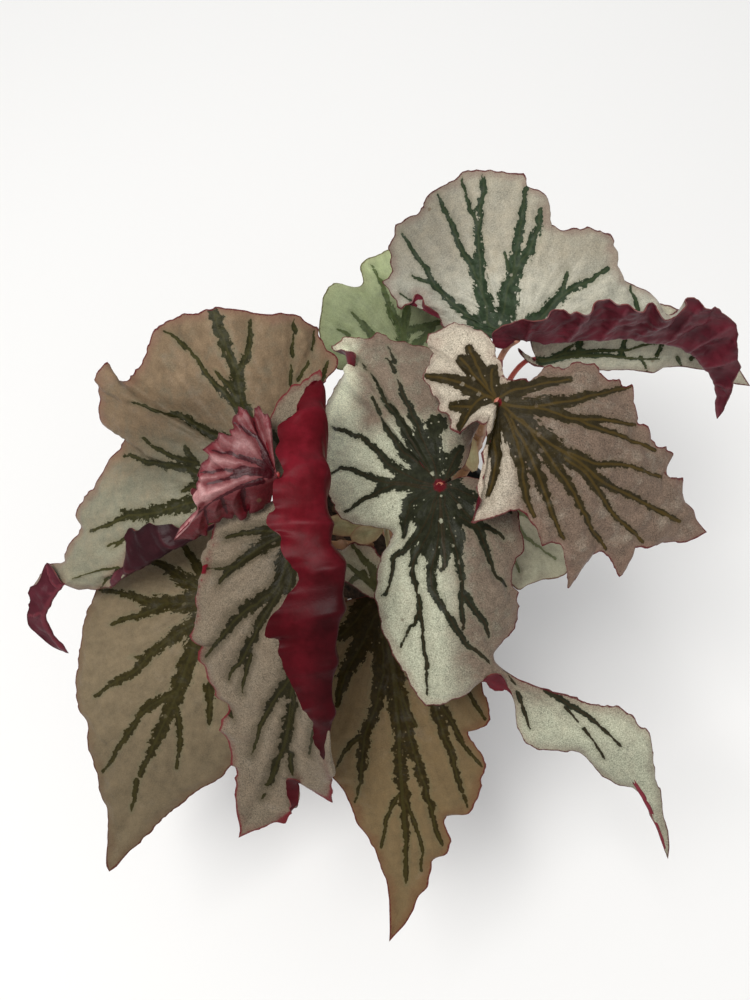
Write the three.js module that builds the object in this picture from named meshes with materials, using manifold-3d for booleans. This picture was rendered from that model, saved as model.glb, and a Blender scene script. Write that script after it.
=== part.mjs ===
// Potted angel wing begonia: three canes in a nursery pot, with twelve silver blades on petioles.
// Millimetres, +Z up, front is -Y. The origin is the centre of the pot's base.
import * as THREE from "three";
import { mergeVertices } from "three/addons/utils/BufferGeometryUtils.js";
import Module from "manifold-3d";

const wasm = await Module();
wasm.setup();

// ---- driving dimensions ----
const POT_RIM_R = 65; // outside radius of the rim
const POT_H = 118; // height of the rim's top
const POT_FOOT_R = 46; // outside radius at the base
const POT_WALL = 1.6;
const POT_BASE = 2.2; // thickness of the base
const RIM_BAND = 15; // height of the rim band
const DRAIN_R = 5; // drain hole radius
const DRAIN_PCD_R = 34; // radius of the ring of drain holes
const DRAIN_COUNT = 6;
const SOIL_TOP = 107; // height of the soil's surface at the wall
const GAP = 0.35; // clearance between pieces
const CANE_FOOT_Z = 72; // lowest end of each buried cane
const CANE_R = 2.7; // radius of a cane at the soil
const PETIOLE_R = 1.7; // radius of a thick petiole

const group = new THREE.Group();
const MATERIALS = {
  pot: [0x17181a, 0.6], soil: [0x2a1e15, 0.95], cane: [0xa5652e, 0.55], petiole: [0xb4553a, 0.5],
  blade: [0xb9bfae, 0.5], stipule: [0xc2bb7a, 0.6],
};
function add(name, geometry, kind) {
  const [color, roughness] = MATERIALS[kind];
  const mesh = new THREE.Mesh(geometry, new THREE.MeshStandardMaterial({ color, roughness }));
  mesh.name = name;
  group.add(mesh);
  return mesh;
}
function solid(geometry) {
  const g = geometry.clone();
  g.deleteAttribute("normal");
  g.deleteAttribute("uv");
  const m = mergeVertices(g, 1e-4);
  return new wasm.Manifold(new wasm.Mesh({
    numProp: 3, vertProperties: new Float32Array(m.attributes.position.array), triVerts: new Uint32Array(m.index.array) }));
}
function geometryOf(manifold) {
  const m = manifold.getMesh();
  const g = new THREE.BufferGeometry();
  g.setAttribute("position", new THREE.BufferAttribute(new Float32Array(m.vertProperties), 3));
  g.setIndex(new THREE.BufferAttribute(new Uint32Array(m.triVerts), 1));
  return g;
}
function lathe(profile, segments) {
  const g = new THREE.LatheGeometry(profile.map(([r, z]) => new THREE.Vector2(r, z)), segments);
  g.rotateX(Math.PI / 2);
  return g;
}
function cylinder(r, z0, z1, x, y, segments = 20) {
  const g = new THREE.CylinderGeometry(r, r, z1 - z0, segments);
  g.rotateX(Math.PI / 2);
  g.translate(x, y, (z0 + z1) / 2);
  return g;
}

// ---- small vector helpers ----
const V = (p) => new THREE.Vector3(p[0], p[1], p[2]);
const mix = (a, b, t) => a.clone().lerp(b, t);
function lengths(points) {
  const c = [0];
  for (let i = 1; i < points.length; i++) c.push(c[i - 1] + points[i].distanceTo(points[i - 1]));
  return c;
}
function alongLength(points, c, s) {
  let i = 0;
  while (i < points.length - 2 && c[i + 1] < s) i++;
  const d = c[i + 1] - c[i] || 1e-9;
  return { p: mix(points[i], points[i + 1], Math.min(Math.max((s - c[i]) / d, 0), 1)), q: i + Math.min(Math.max((s - c[i]) / d, 0), 1) };
}
function catmull(points, n) {
  const out = [], last = points.length - 1;
  for (let k = 0; k < n; k++) {
    const x = (k / (n - 1)) * last, i = Math.min(Math.floor(x), last - 1), f = x - i;
    const p0 = points[Math.max(i - 1, 0)], p1 = points[i], p2 = points[i + 1], p3 = points[Math.min(i + 2, last)];
    const w = (a, b, c, d) => 0.5 * (2 * b + (c - a) * f + (2 * a - 5 * b + 4 * c - d) * f * f + (3 * b - a - 3 * c + d) * f ** 3);
    out.push(new THREE.Vector3(w(p0.x, p1.x, p2.x, p3.x), w(p0.y, p1.y, p2.y, p3.y), w(p0.z, p1.z, p2.z, p3.z)));
  }
  return out;
}
const lerpTable = (x, xs, ys, outside) => {
  if (x < xs[0] || x > xs[xs.length - 1]) return outside !== undefined ? outside : x < xs[0] ? ys[0] : ys[ys.length - 1];
  let i = 0;
  while (i < xs.length - 2 && xs[i + 1] < x) i++;
  return ys[i] + ((ys[i + 1] - ys[i]) * (x - xs[i])) / (xs[i + 1] - xs[i] || 1e-9);
};

// ---- a round stem along a path with its own radius at each point, closed at both ends ----
function stem(path, radii, rings, sides) {
  const line = catmull(path.map(V), rings), c = lengths(line), total = c[c.length - 1];
  const known = lengths(path.map(V)), scale = known[known.length - 1];
  const rAt = (s) => lerpTable((s / total) * scale, known, radii);
  const pos = [], idx = [];
  let side = new THREE.Vector3(1, 0, 0);
  for (let k = 0; k < rings; k++) {
    const t = line[Math.min(k + 1, rings - 1)].clone().sub(line[Math.max(k - 1, 0)]).normalize();
    side = side.clone().addScaledVector(t, -side.dot(t)).normalize();
    const other = t.clone().cross(side), r = rAt(c[k]);
    for (let j = 0; j < sides; j++) {
      const a = (j / sides) * 2 * Math.PI;
      const p = line[k].clone().addScaledVector(side, r * Math.cos(a)).addScaledVector(other, r * Math.sin(a));
      pos.push(p.x, p.y, p.z);
    }
  }
  for (let k = 0; k < rings - 1; k++)
    for (let j = 0; j < sides; j++) {
      const a = k * sides + j, b = k * sides + ((j + 1) % sides), d = a + sides, e = b + sides;
      idx.push(a, b, e, a, e, d);
    }
  const first = pos.length / 3;
  pos.push(line[0].x, line[0].y, line[0].z, line[rings - 1].x, line[rings - 1].y, line[rings - 1].z);
  for (let j = 0; j < sides; j++) {
    const n = (j + 1) % sides, z = (rings - 1) * sides;
    idx.push(first, n, j, first + 1, z + j, z + n);
  }
  const g = new THREE.BufferGeometry();
  g.setAttribute("position", new THREE.Float32BufferAttribute(pos, 3));
  g.setIndex(idx);
  return g;
}

// ---- pot: thin tapered wall, a rim band that steps out, drain holes round the base ----
const wallR = (z) => POT_FOOT_R + ((POT_RIM_R - 3 - POT_FOOT_R) * z) / (POT_H - RIM_BAND); // outside of the tapered wall
const potProfile = [
  [0, 0], [POT_FOOT_R - 1.2, 0], [POT_FOOT_R, 1.2], [wallR(POT_H - RIM_BAND), POT_H - RIM_BAND],
  [POT_RIM_R - 1.4, POT_H - RIM_BAND + 0.6], [POT_RIM_R - 0.9, POT_H - 3], [POT_RIM_R, POT_H - 2.4], [POT_RIM_R, POT_H - 0.4], [POT_RIM_R - 0.5, POT_H],
  [POT_RIM_R - 2.6, POT_H], [POT_RIM_R - 3, POT_H - 0.5], [POT_RIM_R - 3.1, POT_H - RIM_BAND + 2.4],
  [wallR(POT_H - RIM_BAND) - POT_WALL, POT_H - RIM_BAND], [POT_FOOT_R - POT_WALL, POT_BASE], [0, POT_BASE],
];
let pot = solid(lathe(potProfile, 48));
for (let k = 0; k < DRAIN_COUNT; k++) {
  const a = ((k + 0.5) / DRAIN_COUNT) * 2 * Math.PI;
  pot = pot.subtract(solid(cylinder(DRAIN_R, -2, POT_BASE + 2, DRAIN_PCD_R * Math.cos(a), DRAIN_PCD_R * Math.sin(a), 12)));
}
add("pot", geometryOf(pot), "pot");

// ---- canes: woody jointed stems, swollen at the nodes, rooted in the soil ----
const CANES = {
  cane_left: [[-14, 5, CANE_FOOT_Z], [-15, 4.6, 92], [-18.5, 2.5, 112], [-26.6, -2.2, 124], [-38, -8.2, 142], [-45.5, -11.5, 168], [-49.5, -14, 200], [-51, -16, 228], [-51, -17.5, 240]],
  cane_centre: [[0, -7, CANE_FOOT_Z], [-0.5, -7.5, 95], [-1.5, -8.5, 122], [-5, -11, 155], [-8.5, -13.5, 190], [-8, -14.5, 215], [-5.5, -15, 232]],
  cane_right: [[17, 9, CANE_FOOT_Z], [17.5, 10, 95], [20, 13, 122], [27, 17.5, 156], [33, 19.5, 192], [34.2, 18, 222], [34, 14.5, 247]],
};
const CANE_RADII = {
  cane_left: [2.7, 2.7, 2.8, 2.5, 2.5, 2.6, 2.3, 2.1, 1.7],
  cane_centre: [2.8, 2.8, 2.7, 2.5, 2.5, 2.2, 1.8],
  cane_right: [2.9, 2.9, 2.8, 2.7, 2.6, 2.2, 1.8],
};
for (const [name, path] of Object.entries(CANES)) add(name, stem(path, CANE_RADII[name], 18, 8), "cane");

// ---- soil: fills the pot below the rim, with a clear hole round each buried cane ----
const soilProfile = [
  [0, POT_BASE + GAP], [POT_FOOT_R - POT_WALL - GAP - 0.3, POT_BASE + GAP],
  [wallR(POT_H - RIM_BAND) - POT_WALL - GAP - 0.2, POT_H - RIM_BAND - 0.4], [POT_RIM_R - 3.1 - GAP - 0.6, SOIL_TOP - 1.4],
  [POT_RIM_R - 3.1 - GAP - 2.5, SOIL_TOP], [40, SOIL_TOP - 0.8], [20, SOIL_TOP + 0.6], [0, SOIL_TOP + 1.2],
];
let soil = solid(lathe(soilProfile, 40));
for (const [name, path] of Object.entries(CANES)) {
  const grown = CANE_RADII[name].map((r) => r + GAP + 0.15);
  const low = [path[0][0], path[0][1], path[0][2] - 1.2];
  soil = soil.subtract(solid(stem([low, ...path.slice(1, 5)], grown.slice(0, 5), 20, 10)));
}
add("soil", geometryOf(soil), "soil");

// ---- blades: two halves that meet at the midrib; each margin point is joined to the midrib by a lateral ----
function halfGrid(midrib, half, [fan, along, across]) {
  const m = half.margin.map(V), c = lengths(m), spine = catmull(midrib.map(V), 200), sc = lengths(spine), rows = [];
  const qs = half.rolls ? half.rolls.map((r) => r[0]) : null;
  for (let k = 0; k <= fan + along; k++) {
    const s = k <= fan ? (k / fan) * c[half.turn] : c[half.turn] + ((k - fan) / along) * (c[c.length - 1] - c[half.turn]);
    const f = Math.max(0, (k - fan) / along), { p: M, q } = alongLength(m, c, s);
    const S = alongLength(spine, sc, f * sc[sc.length - 1]).p;
    const l = M.clone().sub(S), n = l.length(), unit = l.clone().multiplyScalar(1 / Math.max(n, 1e-6));
    const up = new THREE.Vector3(0, 0, 1).addScaledVector(unit, -unit.z), row = [];
    const off = new THREE.Vector3(), peak = qs ? lerpTable(q, qs, half.rolls.map((r) => r[1])) : 0.5;
    if (qs) off.set(lerpTable(q, qs, half.rolls.map((r) => r[2]), 0), lerpTable(q, qs, half.rolls.map((r) => r[3]), 0), lerpTable(q, qs, half.rolls.map((r) => r[4]), 0));
    for (let j = 0; j <= across; j++) {
      const t = j / across, x = t < peak ? t / peak : (1 - t) / (1 - peak);
      row.push(S.clone().addScaledVector(l, t).addScaledVector(up, half.arch * n * Math.sin(Math.PI * t)).addScaledVector(off, x * (1.5 - 0.5 * x * x)));
    }
    rows.push(row);
  }
  return rows;
}
function blade({ midrib, halves, thick, grid }) {
  const [fan, along, across] = grid, points = [], faces = [], edge = [];
  const put = (p) => points.push(p) - 1;
  const spine = [];
  const ids = halves.map((half) => {
    const rows = halfGrid(midrib, half, grid);
    return rows.map((row, k) => row.map((p, j) => {
      const on = k <= fan ? 0 : k - fan;
      if (j === 0 || k === fan + along) {
        const key = k === fan + along ? along : on;
        if (spine[key] === undefined) spine[key] = put(p);
        return spine[key];
      }
      return put(p);
    }));
  });
  halves.forEach((half, h) => {
    const id = ids[h];
    for (let k = 0; k < fan + along; k++)
      for (let j = 0; j < across; j++) {
        const a = id[k][j], b = id[k + 1][j], c = id[k + 1][j + 1], d = id[k][j + 1];
        for (const [x, y, z] of [[a, d, c], [a, c, b]])
          if (x !== y && y !== z && z !== x) faces.push(half.sign > 0 ? [x, y, z] : [x, z, y]);
      }
  });
  const normals = points.map(() => new THREE.Vector3());
  for (const [a, b, c] of faces) {
    const n = points[b].clone().sub(points[a]).cross(points[c].clone().sub(points[a]));
    normals[a].add(n); normals[b].add(n); normals[c].add(n);
  }
  normals.forEach((n) => n.normalize());
  const N = points.length, pos = [], idx = [];
  for (const s of [0.5, -0.5]) points.forEach((p, i) => { const q = p.clone().addScaledVector(normals[i], s * thick); pos.push(q.x, q.y, q.z); });
  const seen = new Map();
  for (const [a, b, c] of faces) {
    idx.push(a, b, c, N + a, N + c, N + b);
    for (const [x, y] of [[a, b], [b, c], [c, a]]) seen.set(x + "_" + y, [x, y]);
  }
  for (const [x, y] of seen.values()) if (!seen.has(y + "_" + x)) { idx.push(y, x, N + x, y, N + x, N + y); edge.push([x, y]); }
  const g = new THREE.BufferGeometry();
  g.setAttribute("position", new THREE.Float32BufferAttribute(pos, 3));
  g.setIndex(idx);
  return g;
}
const BLADES = [
  { name: "blade_back_right", thick: 1, grid: [11,14,4],
    midrib: [[47.2,43.2,262],[57.6,40.7,263],[78.1,42.5,264],[100.5,44.4,261],[115.7,44.9,256],[129.7,44.8,246],[139.8,42.5,233],[147.7,39.7,219],[150.8,33.8,205]],
    halves: [
      { sign: 1, turn: 6, arch: -0.05, margin: [[45.9,41.8,262],[43.2,39.5,262],[40.4,37.4,263],[38.2,38.1,264],[35.8,40.3,266],[35.8,40.7,269],[37.4,41.5,272],[40.7,41.5,274.4],[43,41.2,276],[44.7,42.2,277.4],[46.9,42.2,279],[50.1,39.8,281.2],[54.1,38.3,284],[56.5,38.3,284.7],[57.9,41.4,285.8],[59.9,41.4,286.4],[62.9,40.8,287.4],[64.9,37.6,288.4],[67,39.4,289.3],[70.1,37.6,290.4],[72.1,37.6,291],[74,42.4,291.7],[75.7,43.6,292],[80.1,43,292.7],[81.9,40.4,293.1],[83.4,39.3,293.4],[85.2,40.3,293.7],[87.2,40.1,294],[89,37.7,294],[90.8,35.8,294],[92.8,35.5,294],[95,38.9,294],[96.8,39.7,294],[101.3,33.6,292.7],[106.1,36,292],[111.6,40.8,291],[111.6,44.3,290.1],[113,45.9,289.6],[116,44.4,288.4],[117.2,44.9,288],[120.5,42.7,285.6],[124,43.4,284],[125.6,45.6,283],[130.2,44.9,279.6],[134,43.4,276.2],[137.3,43.5,274],[139,42.6,270.3],[141.5,39.5,260],[143.3,39.5,257.5],[145.7,38.4,250],[148.3,38.4,246.7],[148.7,37.8,243],[148.3,36.7,235],[149.6,35.3,230],[150.2,35.4,221.5],[151.7,34.9,212],[150.8,33.8,205]] },
      { sign: -1, turn: 32, arch: 0.07, margin: [[46,43.7,262],[39.9,42.3,262],[30.5,45.2,262],[22.9,47.2,262],[16.2,50,260],[13.3,55.8,258.8],[7.9,63.2,257],[2.1,63.2,257],[-1,61.9,257],[-2.8,60.8,257],[-4.5,62.5,257.2],[-4.9,66.6,257.4],[-7.1,68.5,257.6],[-7.6,71.1,257.7],[-10.7,75.1,258],[-5.8,80,259.3],[-7.5,83.8,260],[-6.2,86.3,260.9],[-7.5,89.7,262.1],[-6.2,92.3,263],[-4.1,99.7,265.5],[-2.6,100.3,266],[2.3,101.7,268.4],[7.1,103.1,270.8],[8.4,104.9,271.9],[7.3,106.4,272.8],[10.6,109.5,275],[11.9,110.9,276],[19.6,112.2,280.3],[24.6,114,283.4],[29.6,113,286],[39.6,110.9,288.2],[42.9,108.6,289],[49.8,108.6,288.4],[51.3,106.8,288.2],[50.6,103.6,288],[57.4,100.9,286.2],[60.6,98,285.1],[58.5,92.3,283.7],[58.4,89.2,283],[64.6,84.3,282.6],[71.5,84.6,282.3],[76.8,86.1,282],[80.3,85.5,281.1],[87.5,84.3,279.3],[89.1,81.3,278.4],[86.4,76.6,277.1],[88,72.8,276],[92,66.3,272.8],[98.5,64.5,270.3],[104.5,63.5,268],[107.8,60.5,265.7],[112.1,54.8,262],[118.1,58.5,259.4],[125.2,65.4,256],[133.7,63.8,248],[143.3,60.6,238],[150.2,52.7,228],[152.2,43.4,214],[150.8,33.8,205]] } ] },
  { name: "blade_back_low", thick: 1, grid: [8,12,3],
    midrib: [[59.7,48,236],[70.2,47.4,238],[89,48.7,238],[103.9,49.7,235],[121.2,54.2,229],[140.5,56.3,220],[156.7,55.4,211],[170.3,53.2,202]],
    halves: [
      { sign: 1, turn: 5, arch: 0.05, margin: [[58.7,47.5,236],[54.9,49.5,238],[51,52.6,240],[51.6,49.9,239],[55.1,47.5,236],[58.9,45.8,234],[71.4,46.7,231],[91.8,47.4,228],[106,48.9,226],[110,48.4,224.8],[116.6,48.3,223],[122.2,53,221.4],[131.4,54.5,219],[139.3,55.1,215.8],[146.3,55.9,213],[154.7,54.3,208],[162.2,53.2,204],[170.3,53.2,202]] },
      { sign: -1, turn: 3, arch: 0.06, margin: [[60.7,49.1,236],[58.2,51.1,238],[56.8,56.1,240],[59.8,64.4,242],[67.3,72.2,244],[78,77.5,245],[89.7,79.7,245],[100,79.3,244],[110.9,77.3,242],[122.5,75.6,238],[133.8,72.3,233],[144.8,67.4,226],[156.9,61.9,216],[170.3,53.2,202]] } ] },
  { name: "blade_top_right", thick: 1, grid: [8,12,3],
    midrib: [[32.6,-7.2,300],[41.7,-18.1,302],[52,-26,301],[62.9,-31.7,297],[70.4,-36.1,292],[81.1,-38.2,285],[93.1,-40.9,277],[103.5,-43.3,270],[117.8,-44.7,261]],
    halves: [
      { sign: -1, turn: 37, arch: 0.06, margin: [[31.8,-8.5,300],[30.1,-9.5,298],[27.6,-11,296],[25.2,-11.9,294],[23,-11.5,292.4],[20.5,-13.6,289.5],[17.8,-15,287],[15.3,-10.2,286.2],[14.6,-5.4,285.5],[11.5,-4,285],[11.2,-0.1,284.8],[10.1,3.2,284.6],[8.5,3.2,284.5],[7.8,7.9,284.3],[5.4,10.8,284.1],[5,13.3,284],[7.9,17.1,284.6],[8.4,20.1,285.1],[10.9,21.8,285.5],[11.8,25.8,286],[7.7,24.8,286.9],[6.3,25.7,287.3],[8,28.3,287.9],[12.5,31,289.2],[15.4,33.3,290],[19,32.7,291.3],[23,31.3,292.8],[25.1,28,294],[27.9,26.4,294.9],[30,22.4,296.1],[31.8,19.7,297],[31.9,15.3,298],[30.9,13.2,298.6],[32.7,11.9,299.2],[35,11,300],[34.2,5.1,300.9],[34.3,1.7,301.5],[36.8,0.5,302],[40.5,1.9,301.8],[43.3,2,301.6],[43.6,0.3,301.5],[49.3,4.9,301.1],[50.3,7.3,301],[52.8,8.6,301],[54.3,7.7,301],[55.7,6.1,301],[59.6,6.3,301],[60.9,8.8,301],[64.5,7.9,301],[67.6,8.5,301],[71,7.3,301],[70.6,4.5,300.3],[72,2.7,299.7],[74.9,1.1,298.9],[78.4,3.1,298],[80.1,1.1,296.7],[84.6,2.8,295],[84.9,0.3,295],[83.7,-5.8,295],[85.8,-10.1,293],[85.4,-11.6,292.4],[91.3,-13.4,290],[91.1,-16.9,288],[94.6,-18.9,286],[102,-18.8,280],[97.9,-24.1,280],[97.9,-27.6,280],[101.9,-29.2,276.9],[106.9,-28,274],[105.8,-32.2,272.3],[106.9,-35.4,271],[111.1,-37.9,268.2],[112.1,-40.9,266],[117.8,-44.7,261]] },
      { sign: 1, turn: 12, arch: 0.06, margin: [[32.5,-8.9,300],[30.2,-11.4,300],[28.3,-13.4,299],[27.7,-16.2,298],[28.9,-22,296],[27.1,-24.6,294.9],[25.8,-26.9,294],[27.3,-31,291.9],[26.6,-34.9,290],[23.9,-37.1,288.4],[26,-42,286],[23.7,-44.4,280.4],[22.4,-46.6,276],[27.6,-46.8,279],[33.4,-46.2,283],[37,-45.5,286],[40.2,-45.3,285],[43,-45.8,284],[45.2,-48.6,281.6],[47.2,-50.3,279.8],[49.5,-55.2,276],[53.6,-54.2,275.4],[56.8,-54.9,275],[58.3,-57.1,271.9],[60.3,-62.8,265],[61.9,-68.1,258],[63.6,-64.7,261.4],[65.4,-62.5,264],[67.6,-59.4,266.3],[69.3,-56.4,268.4],[71.8,-55.7,270],[74.7,-55.7,267.8],[77.6,-56.6,265.4],[79.2,-58.7,262.8],[82,-62.6,258],[83.1,-59.4,261.4],[83.8,-56.3,264.5],[85.2,-53.3,268],[88.8,-52.5,267.1],[92.6,-53,266],[98.6,-49.9,264.3],[107.5,-49.4,262],[113.6,-47.1,261.4],[117.8,-44.7,261]] } ] },
  { name: "blade_centre", thick: 1, grid: [11,14,4],
    midrib: [[12,-27.8,268],[11.7,-38.4,269],[12.4,-52.9,269],[15.7,-73.5,264],[23.9,-87.3,252],[34.6,-94.8,241],[52.1,-106.7,233],[72.2,-120.8,227],[88.2,-135.6,221],[98.9,-151,212],[105.1,-164.7,203]],
    halves: [
      { sign: 1, turn: 44, arch: 0.06, margin: [[14.4,-25.2,268],[16.5,-23.1,268],[19,-20.9,267],[21.9,-19.1,267],[23.9,-14.5,266],[25.2,-8.2,265.5],[26.7,-2.6,265],[29.6,5.2,264],[29.6,14.2,263],[26.3,23.2,262],[20.7,31.5,261],[14.1,37.5,260],[9.9,39,260],[5.7,40,260],[0.9,42,260.6],[-3.2,43,261],[-8,43.2,260.5],[-8.7,44.9,260.4],[-10.4,45.8,260.2],[-12.5,46.8,260],[-14.2,45.1,259.5],[-16.3,45.1,259],[-21.2,46.5,258],[-26.2,48.5,255.2],[-29,48,253.4],[-31.2,47.2,252],[-33,45.9,250.9],[-31.9,44.5,250],[-28.8,42.7,248.6],[-24.9,37.2,246],[-28.4,33,245.4],[-31.9,27.6,244.7],[-34.6,21.7,244],[-36.6,15.8,243.3],[-37.3,12.8,243],[-35.5,9.7,243],[-35.4,5.1,243],[-36,0.5,243],[-35.9,-4.8,243],[-36.5,-9.3,243],[-35.7,-14.5,243],[-34.2,-20.4,243],[-31.8,-24.3,243.5],[-30.3,-28.8,244],[-27.5,-33.1,245],[-22.8,-35.7,247],[-14.2,-38.2,250],[-8.5,-40.2,252],[-6.1,-41.9,251],[-7.7,-45.8,250],[-10.3,-49.8,249.6],[-12.4,-58.3,249],[-12.9,-62.3,248.6],[-13.9,-68.3,248],[-12.4,-71.2,247.5],[-11.4,-77.1,246.7],[-10,-81.9,246],[-7.5,-86.6,244.6],[-5.6,-92.2,243],[-1.2,-97.2,241.4],[1.2,-102.3,240],[4.1,-106.7,237.6],[6.4,-109.3,236],[11.5,-108,236.4],[19.4,-105.6,237],[24.3,-103.3,237.6],[25.8,-100.4,238],[28.3,-99.4,238],[31.8,-98.4,243],[35.8,-98.4,243],[39.8,-102.3,235],[42.5,-104.8,232.5],[43,-110.9,228],[44,-116.2,224.2],[46.7,-120.1,221],[50.2,-122.4,220],[54.3,-123.3,219],[61.4,-123.4,219],[68.3,-123.5,219],[70.9,-124.6,218.3],[74.4,-128.4,217],[78.7,-133.1,215.8],[82.2,-135.4,215],[86.2,-136.8,214.5],[91.2,-137.8,214],[94.2,-140.1,213.1],[96.6,-143.8,212],[97.5,-148,210.6],[100,-152.2,209],[102.7,-158.2,206.1],[105.1,-164.7,203]], rolls: [[66.3,0.5,-0,0,0],[68,0.62,-5.38,-2.74,-9.93],[69,0.62,-5.05,-1.73,-9.58],[70.3,0.5,-0,0,0]] },
      { sign: -1, turn: 5, arch: 0.07, margin: [[16,-27,268],[19.2,-23.9,268],[24.1,-23.4,267],[28.2,-24.4,266],[33,-28.7,264],[38.1,-33.1,263],[42.2,-34.8,262],[43.5,-37.9,261],[43.9,-40.9,260],[44.6,-44,259.1],[44.9,-47.8,258],[44.5,-51.3,257.2],[41.9,-53.8,256.5],[40.5,-55.5,256],[41,-59.2,255],[40.4,-63,254],[41.2,-65.5,253.5],[43.2,-67,253],[42.8,-69.4,251.9],[43.8,-73.5,250],[40,-80.9,246],[35.1,-86.4,244.1],[32.6,-89.6,243],[32.8,-91.8,241.9],[34.1,-93.2,241],[38,-95.9,240],[42.9,-98.7,239.2],[50.7,-101.4,238],[62.8,-104.7,235],[72.8,-107.6,233.1],[78.9,-108.1,232],[84.1,-108.4,230.6],[88.6,-111.6,229],[92,-114.3,228.1],[96.4,-117.6,227],[97.2,-123.1,224.7],[97.5,-129.5,222],[98.7,-134.9,219],[101.1,-140.4,216.3],[101.9,-147.7,213],[104.5,-154.1,209.4],[105.4,-160.5,206],[105.1,-164.7,203]] } ] },
  { name: "blade_left", thick: 1, grid: [11,17,5],
    midrib: [[-60,-18.8,255],[-75.7,-31,250],[-92.8,-40.3,243],[-108.8,-45.1,234],[-123.2,-47.8,226],[-134.6,-48.2,220],[-145.7,-49.5,214],[-152.8,-50.7,209],[-159,-54.9,203],[-163.5,-59.3,197],[-164.7,-62.8,191],[-163,-67.5,182],[-158.9,-72.4,170]],
    halves: [
      { sign: -1, turn: 2, arch: 0.03, margin: [[-59.5,-21,255],[-60.3,-24.6,254],[-62.6,-30,253],[-69.1,-34,252],[-76.5,-36.2,251],[-83.5,-38.5,250],[-90.8,-39,249],[-94.6,-38.6,248.5],[-97.3,-36.2,248],[-104.4,-36.6,246.5],[-106.9,-34.9,246],[-109.8,-36,244.9],[-111.7,-38,243.9],[-114.4,-37.9,243],[-116.2,-35.7,241.8],[-117.6,-35.6,241],[-119.1,-37.6,239.2],[-119.6,-39.2,238],[-118.9,-40.5,236.2],[-119.4,-42.4,234],[-119.2,-44.7,230.6],[-120,-46.5,228],[-122,-47.7,225.7],[-126.4,-48.6,222],[-129.1,-50.4,217],[-129.7,-52.6,210],[-133.6,-52.2,209],[-138.1,-52.5,207],[-140.9,-51.4,206.6],[-145.8,-51.7,206],[-150.3,-50.4,207],[-152.7,-50.4,211],[-155.6,-46.1,212],[-158.6,-41.8,211],[-160.5,-40.3,210],[-162.1,-42.3,209],[-162.7,-44.8,208.1],[-164.2,-48,207],[-165,-49.4,206.3],[-168.5,-49.8,205],[-169.6,-52.4,203],[-169.3,-54.6,201],[-170.3,-56.8,199],[-170.7,-58.8,196.2],[-172,-60.3,194],[-172.6,-63.5,190.2],[-172,-65,188],[-170,-66.4,185.2],[-168,-68.5,182],[-164.7,-70.6,176],[-158.9,-72.4,170]], rolls: [[4,0.5,0,-0,-0],[6,0.5,-2.64,-2.05,-9],[8,0.5,-7.17,-3.91,-11.57],[11,0.5,-5.96,-4.29,-15.09],[15,0.5,-6.35,-5.41,-18.31],[19.5,0.5,-8.71,-2.16,-18.56],[22.5,0.5,-7.37,-1.01,-18.15],[24.4,0.5,-3.26,-1.21,-13.09],[25.6,0.5,-0,0,-0]] },
      { sign: 1, turn: 31, arch: 0.06, margin: [[-58.4,-17,255],[-55.2,-12,256],[-50.3,-4.7,258],[-45.1,5.4,260],[-40.3,15.2,261],[-35,22.3,262],[-33.7,25.7,261.6],[-30,29.3,261],[-29.1,33.6,261.8],[-29.6,34.6,262],[-32.9,35.9,263.4],[-35.7,38.7,265],[-38,42.4,266.9],[-37.5,45,268],[-41,44.2,271],[-43.6,45.5,274],[-47.2,46.3,276.2],[-54.1,43.8,280],[-61,42.5,282.8],[-66.1,42.5,285],[-74.8,41.9,287],[-79.1,42.1,288],[-81.4,41.9,287.1],[-83.8,40.8,286],[-93.6,42.5,282],[-97.6,41.8,279.6],[-103.7,41,276],[-106.2,39.8,274.5],[-107.1,35.5,272],[-108.7,33.6,270.9],[-108.5,31.5,270],[-110.9,28.2,267.4],[-115,24.4,264],[-119,22.3,262],[-124.2,23.4,262],[-125.4,26,262],[-126.1,30.1,265],[-132.1,28.8,259],[-133.7,26.2,257],[-131.6,24.4,255.3],[-132.2,18.7,252],[-132.3,12.3,248],[-130.6,9.6,246],[-124.7,9.2,244.7],[-121.9,8,244],[-121.2,6.4,242.9],[-124.2,2.5,240],[-130.5,-2,235.9],[-134.8,-7.6,232],[-137.1,-12.5,228.7],[-141.4,-15.1,226],[-145.3,-19.5,222.6],[-146.1,-22,221],[-143.7,-26.1,219.3],[-144.9,-29.7,218],[-149.3,-33.8,215.1],[-151.5,-37.3,213],[-151.2,-40.6,211.4],[-154.5,-41.2,210],[-159.3,-40.1,208],[-163.7,-42.7,203],[-168.9,-46.4,198],[-171.2,-48.1,196],[-170.4,-52.4,191],[-170.4,-58.1,186],[-168.2,-64.2,180],[-163.8,-69.4,174],[-158.9,-72.4,170]] } ] },
  { name: "blade_rolled", thick: 1, grid: [20,14,6],
    midrib: [[-37.9,-48.2,275],[-39.8,-68,272],[-42.2,-88.6,262],[-46.2,-104.5,248],[-48.4,-117.7,235],[-51.7,-126.5,226],[-57.8,-137.4,216],[-64,-146.9,208],[-70,-156.4,200]],
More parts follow.
